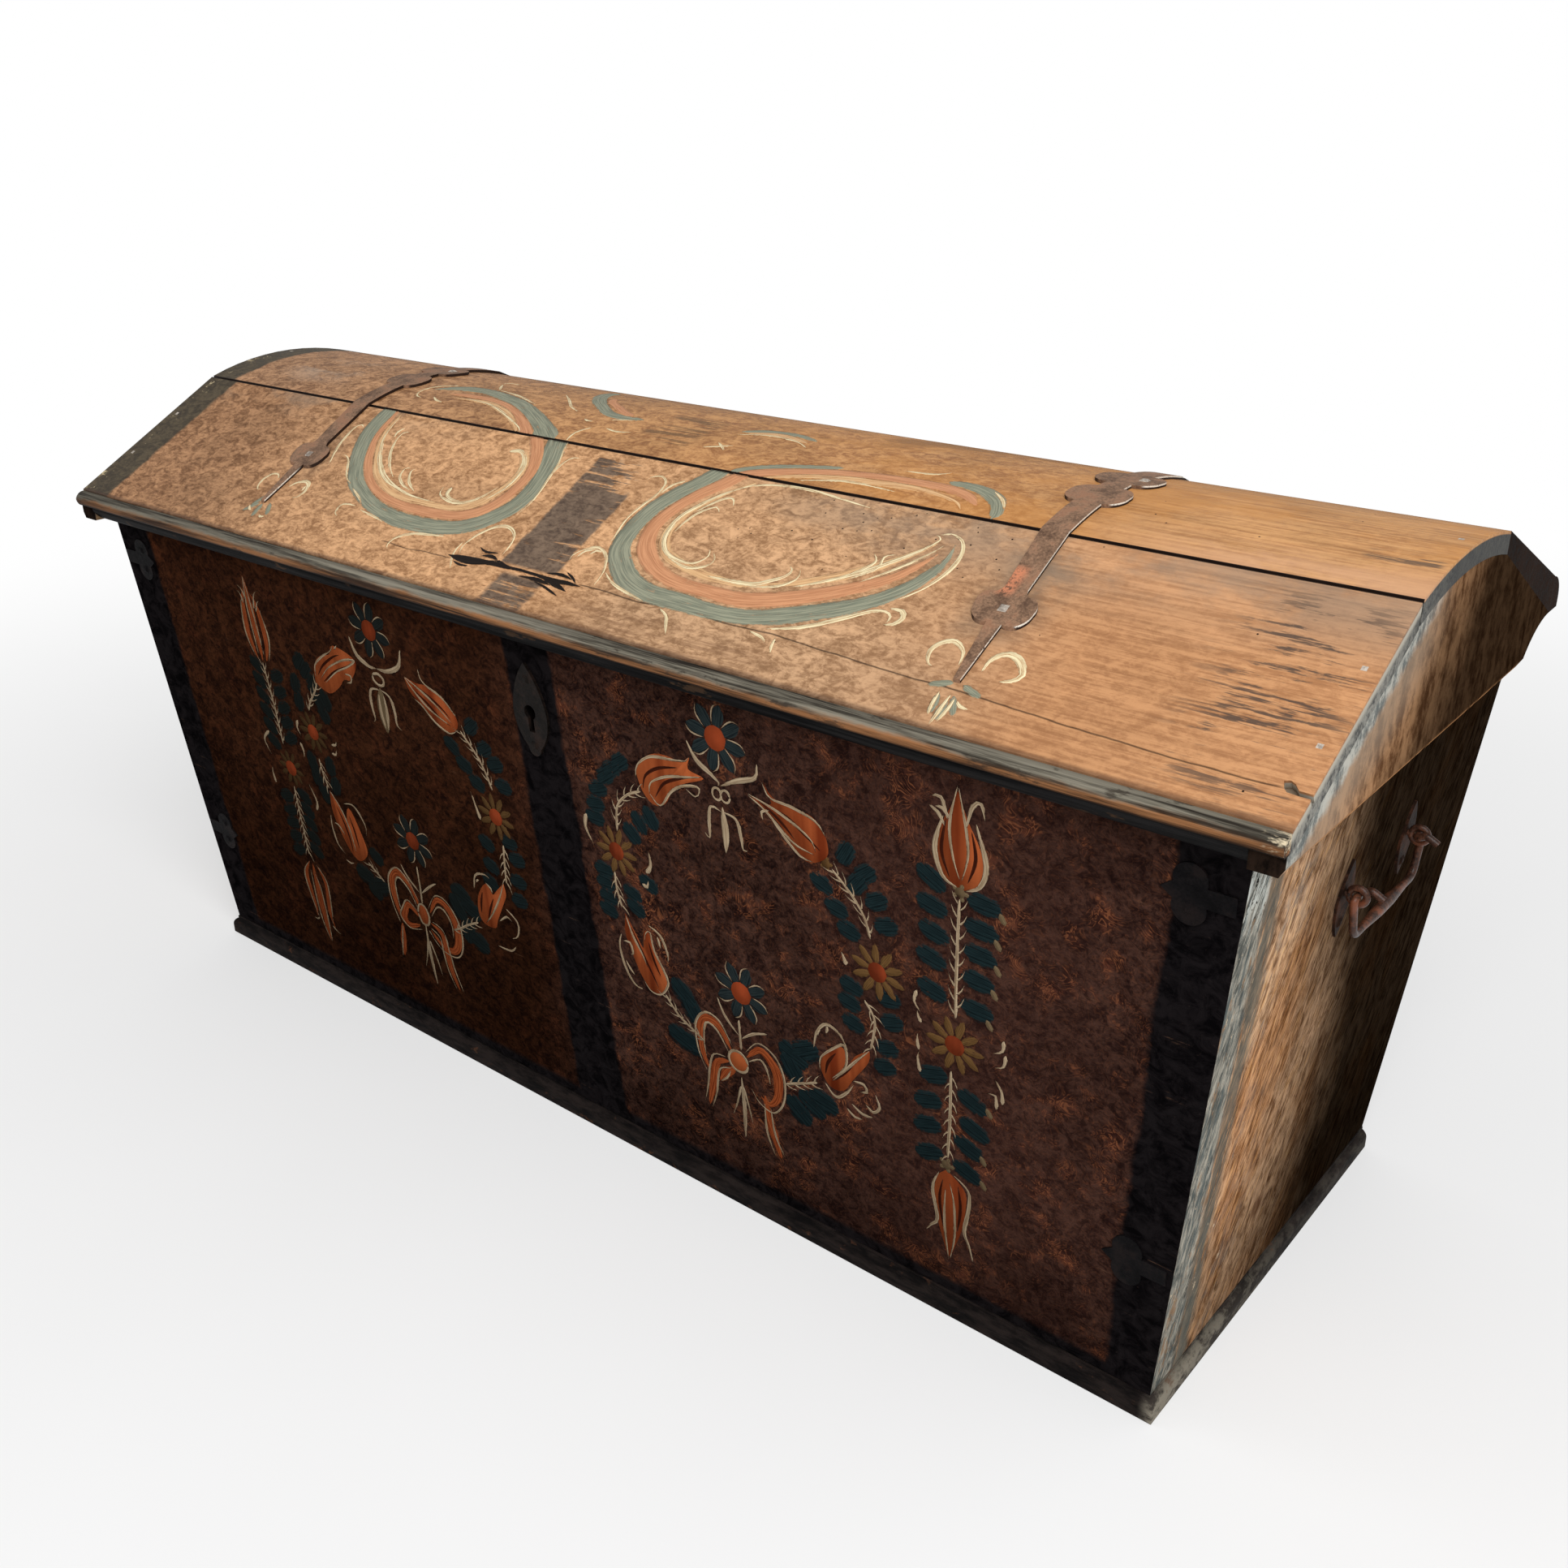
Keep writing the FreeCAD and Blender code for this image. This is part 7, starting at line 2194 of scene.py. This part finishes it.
    def crown(self, p: Panel) -> None:
        """Lays the work on the crown board.

        Args:
            p: the panel.
        """
        p.brush(
            Ink.LID_TEAL, 14, Stroke.LINE,
            ((-318, 203, 4), (-306, 211, 9), (-285, 218.5, 14), (-256, 219.5, 14), (-226, 213, 15),
             (-199, 204.8, 15), (-178, 194.2, 17), (-154, 181, 19), (-132, 168, 21), (-115, 156, 24),
             (-108, 150, 26)),
            ((-163.2, 292, 12), (-156.8, 267, 14), (-142, 245.8, 14), (-121, 229, 12), (-98, 215.3, 11),
             (-74.7, 212, 10), (-58, 214, 9)),
            ((87.4, 158, 8), (108.4, 170, 8), (140, 181, 7), (172, 189, 6)),
            ((261, 196, 8), (287.4, 193.2, 12), (308.4, 182.6, 13), (319, 166.8, 10), (320, 158, 6)),
            ((42, 224, 6), (60, 234, 9), (88, 237, 9), (114, 230, 5)))
        p.brush(
            Ink.SALMON, 12, Stroke.LINE,
            ((-292, 200, 3), (-272, 203, 8), (-240, 203, 9), (-208, 196, 9), (-182, 184, 10), (-158, 170, 11),
             (-140, 157, 13), (-134, 152, 14)),
            ((-135.8, 258.4, 9), (-125.3, 245.8, 9), (-108.4, 235.3, 9), (-91.6, 224.7, 9),
             (-74.7, 218.4, 8)),
            ((92, 152, 14), (104, 158, 13), (124.2, 166.8, 12), (163.7, 178.7, 11), (203.2, 185.3, 11),
             (255.8, 186.9, 11), (284, 181.6, 10), (299.9, 171, 8)))
        p.brush(
            Ink.WASH, 9, Stroke.SWELL,
            ((-274, 194), (-241, 196), (-216, 191), (-186, 179), (-160, 162), (-152, 154)),
            ((112, 154), (150, 168), (196, 176), (246, 178), (280, 172), (292, 163)),
            ((46, 222), (76, 230), (112, 222)))
        p.brush(
            Ink.LID_CREAM, 3, Stroke.SWELL,
            ((-310.5, 183.7), (-321, 186.8), (-326.3, 197.4), (-323.2, 207.9), (-314.7, 216.3), (-300, 224)),
            ((-264.2, 196.3), (-241, 195.3), (-220, 191.1), (-188.4, 178.4), (-156.8, 163.7), (-150, 156)),
            ((-272.6, 250), (-266.3, 255.2), (-253.7, 254.2)),
            ((-268.4, 245.8), (-260, 235.3), (-251.7, 226.8)),
            ((-251.6, 227.8), (-220, 221.5), (-182, 207.9)),
            ((-184.2, 245.8), (-167.4, 233.2), (-146.3, 216.3), (-127.4, 207.9)),
            ((-110.5, 197), (-104, 194), (-98, 195)), ((-85.3, 202.6), (-74.7, 206.8), (-64.2, 210)),
            ((-74.7, 186.8), (-60, 184), (-45.3, 186.8)), ((-93.7, 158), (-95.7, 172), (-88.5, 184.6)),
            ((150, 162), (190, 171.5), (232, 169.5)), ((219, 201), (242.6, 203.7), (253.2, 211.6)),
            ((300.5, 193.2), (313.7, 182.6), (321.3, 172)), ((36, 184), (46, 188), (60, 195)),
            ((42, 196), (50, 190), (58, 184)), ((44, 216), (70, 225), (100, 222), (118, 212)),
            ((-300, 190), (-290, 184), (-278, 182)))

    def build(self) -> None:
        """Lays everything on the lid."""
        slope = Panel("slope_brush", SlopeFace(), LidPaint(), "lid_paint")
        self.slope_ring(slope)
        self.slope_middle(slope)
        self.slope_scroll(slope)
        self.strap_scrolls(slope)
        slope.finish()
        crown = Panel("crown_brush", CrownFace(), CrownPaint(), "lid_paint")
        self.crown(crown)
        crown.finish()


# ---------------------------------------------------------------- dressing and studio


def both(*stems: str) -> tuple[str, ...]:
    """Names the left and the right part of each pair."""
    return tuple(f"{stem}_{side}" for stem in stems for side in ("left", "right"))


@dataclass
class Wardrobe:
    """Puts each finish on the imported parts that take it."""

    black_iron: ForgedIron = ForgedIron("black_iron", (8, 7, 8), (22, 20, 21), (40, 28, 24), 0.25, 0.0, 0.6,
                                        0.03)
    key_iron: ForgedIron = ForgedIron("key_iron", (9, 7, 6), (30, 25, 22), (46, 30, 24), 0.4, 0.0, 0.55, 0.05)
    lock_iron: ForgedIron = ForgedIron("lock_iron", (42, 36, 34), (92, 84, 80), (112, 62, 38), 0.6, 0.5, 0.5)
    strap_iron: ForgedIron = ForgedIron("strap_iron", (88, 66, 52), (160, 126, 100), (136, 90, 66), 0.5, 0.0,
                                        0.55, 0.1,
                                        (362.0, 373.0, -137.0, -115.0), True)
    handle_iron: ForgedIron = ForgedIron("handle_iron", (24, 15, 12), (92, 58, 42), (124, 70, 46), 0.6, 0.0,
                                         0.36, 0.26)
    plate_iron: ForgedIron = ForgedIron("plate_iron", (20, 13, 10), (62, 40, 29), (86, 50, 32), 0.5, 0.0, 0.6,
                                        0.04)
    # The nails' pale tones are a painted glint.
    nail_iron: ForgedIron = ForgedIron("nail_iron", (120, 108, 98), (214, 204, 190), (120, 84, 64), 0.3, 0.1,
                                       0.4)

    def coats(self) -> tuple[tuple[BoardPaint | ForgedIron, tuple[str, ...]], ...]:
        """Gives the finishes and the parts that take each.

        Returns:
            Pairs of a finish and its parts' names.
        """
        return (
            (CasePaint(), ("case_front", *both("case_side"), "case_back")),
            (BackPaint(True), ("lid_back_board",)),
            (LidPaint(), ("lid_front_board",)),
            (CrownPaint(), ("lid_crown_board",)),
            (GablePaint(), both("lid_gable")),
            (BeadPaint(), ("lid_bead",)),
            (LipPaint(), ("lid_lip",)),
            (MouldingPaint(), ("base_moulding_front", *both("base_moulding"), "base_moulding_right_rear")),
            (PinePaint(), ("bottom_board_front", "bottom_board_rear")),
            (PinePaint((1.0, 0.05, 1.0)), ("till_side", "till_bottom")),
            (self.key_iron, ("escutcheon", "escutcheon_nails")),
            (self.black_iron, (*both("corner_iron_upper", "corner_iron_lower"), "corner_iron_nails")),
            (self.lock_iron, ("lock_plate", "lock_guides", "lock_spring", "lock_bolt", "lid_hasp",
                              *both("hinge_leaf", "hinge_pin", "hinge_leaf_nails"))),
            (self.strap_iron, both("hinge_strap")),
            (self.plate_iron, both("handle_plates", "handle_plate_nails")),
            (self.handle_iron, both("handle_eyes", "handle_bail")),
            (self.nail_iron, (*both("hinge_strap_nails"), "lid_brads")),
        )

    def dress(self) -> None:
        """Makes the finishes and puts them on."""
        left = set(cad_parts)
        for finish, names in self.coats():
            material = finish.material()
            for name in names:
                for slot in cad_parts[name].material_slots:
                    slot.material = material
            left.difference_update(names)
            LOG.info("%s on %d parts", finish.name, len(names))
        if left:
            raise RuntimeError(f"parts without a finish: {sorted(left)}")


@dataclass(frozen=True)
class Lamp:
    """A soft lamp.

    Fields: name; where it hangs; the point that it faces; its width in metres; its power in watts.
    """

    name: str
    place: Triple
    aim: Triple
    size: float
    watts: float

    def hang(self) -> None:
        """Hangs the lamp in the scene."""
        data = bpy.data.lights.new(self.name, "AREA")
        data.shape = "DISK"
        data.size = self.size
        data.energy = self.watts
        lamp = bpy.data.objects.new(self.name, data)
        lamp.location = self.place
        lamp.rotation_euler = (Vector(self.aim) - Vector(self.place)).to_track_quat("-Z", "Y").to_euler()
        bpy.context.scene.collection.objects.link(lamp)


@dataclass
class Studio:
    """Pale floor, soft light and the photograph's camera.

    Fields: reach of the floor and how far it lies below the trunk, in metres; where it fades to
    white, in millimetres; place of the camera and its turn in degrees; lens, sensor and clipping;
    strength of the room's light; lamps.
    """

    floor_reach: float = 14.0
    floor_drop: float = 0.0005
    fade: tuple[float, float] = (700.0, 2300.0)
    place: Triple = (0.87542, -0.97227, 0.85565)
    turn: Triple = (65.5175, 0.6610, 39.3232)
    lens: float = 36.23
    sensor: float = 36.0
    clip: tuple[float, float] = (0.05, 60.0)
    room_light: float = 0.5
    lamps: tuple[Lamp, ...] = (
        Lamp("key", (1.7, -1.5, 2.5), (0.1, 0.0, 0.35), 2.2, 72.0),
        Lamp("fill", (-2.4, -1.2, 1.8), (0.0, 0.0, 0.4), 2.2, 10.0),
    )

    def camera(self) -> None:
        """Sets up the camera."""
        data = bpy.data.cameras.new("camera")
        data.lens = self.lens
        data.sensor_width = self.sensor
        data.clip_start, data.clip_end = self.clip
        camera = bpy.data.objects.new("camera", data)
        camera.location = self.place
        camera.rotation_euler = tuple(math.radians(angle) for angle in self.turn)
        bpy.context.scene.collection.objects.link(camera)
        bpy.context.scene.camera = camera

    def floor(self) -> None:
        """Lays the floor, which fades to white far from the trunk."""
        flat = bmesh.new()
        bmesh.ops.create_circle(flat, cap_ends=True, segments=64, radius=self.floor_reach)
        for vert in flat.verts:
            vert.co.z = -self.floor_drop
        mesh = bpy.data.meshes.new("floor")
        flat.to_mesh(mesh)
        flat.free()
        s = Shade("floor")
        out = next(node for node in s.tree.nodes if node.type == "OUTPUT_MATERIAL")
        s.finish(s.mix(s.noise(400.0, 3.0, 0.5), tone(236, 236, 236), tone(243, 243, 243)), 0.9, gloss=0.1)
        white = s.add("ShaderNodeEmission")
        path = s.add("ShaderNodeLightPath")
        seen = s.most(path.outputs["Is Camera Ray"], path.outputs["Is Glossy Ray"],
                      path.outputs["Is Transmission Ray"])
        far = s.hypotenuse(s.x, s.y)
        blend = s.add("ShaderNodeMixShader")
        s.feed(blend.inputs[0], s.times(seen, s.span(far, *self.fade, 0.35, 1.0)))
        s.tree.links.new(s.body.outputs[0], blend.inputs[1])
        s.tree.links.new(white.outputs[0], blend.inputs[2])
        s.tree.links.new(blend.outputs[0], out.inputs["Surface"])
        mesh.materials.append(s.material)
        floor = bpy.data.objects.new("floor", mesh)
        bpy.context.scene.collection.objects.link(floor)

    def world(self) -> None:
        """Lights the room and leaves its background white."""
        world = bpy.data.worlds.new("room")
        world.use_nodes = True
        tree = world.node_tree
        tree.nodes.clear()
        out = tree.nodes.new("ShaderNodeOutputWorld")
        soft = tree.nodes.new("ShaderNodeBackground")
        soft.inputs["Strength"].default_value = self.room_light
        white = tree.nodes.new("ShaderNodeBackground")
        path = tree.nodes.new("ShaderNodeLightPath")
        blend = tree.nodes.new("ShaderNodeMixShader")
        for shader in (soft, white):
            shader.inputs["Color"].default_value = (1.0, 1.0, 1.0, 1.0)
        tree.links.new(path.outputs["Is Camera Ray"], blend.inputs[0])
        tree.links.new(soft.outputs[0], blend.inputs[1])
        tree.links.new(white.outputs[0], blend.inputs[2])
        tree.links.new(blend.outputs[0], out.inputs[0])
        bpy.context.scene.world = world

    def build(self) -> None:
        """Sets the studio up."""
        self.camera()
        self.floor()
        self.world()
        for lamp in self.lamps:
            lamp.hang()
        bpy.context.scene.view_settings.view_transform = "Standard"


def main() -> None:
    """Builds the whole scene in order."""
    logging.basicConfig(level=logging.INFO, format="%(name)s %(message)s")
    Studio().build()
    Wardrobe().dress()
    FrontDecoration().build()
    LidDecoration().build()


if __name__ == "__main__":
    main()
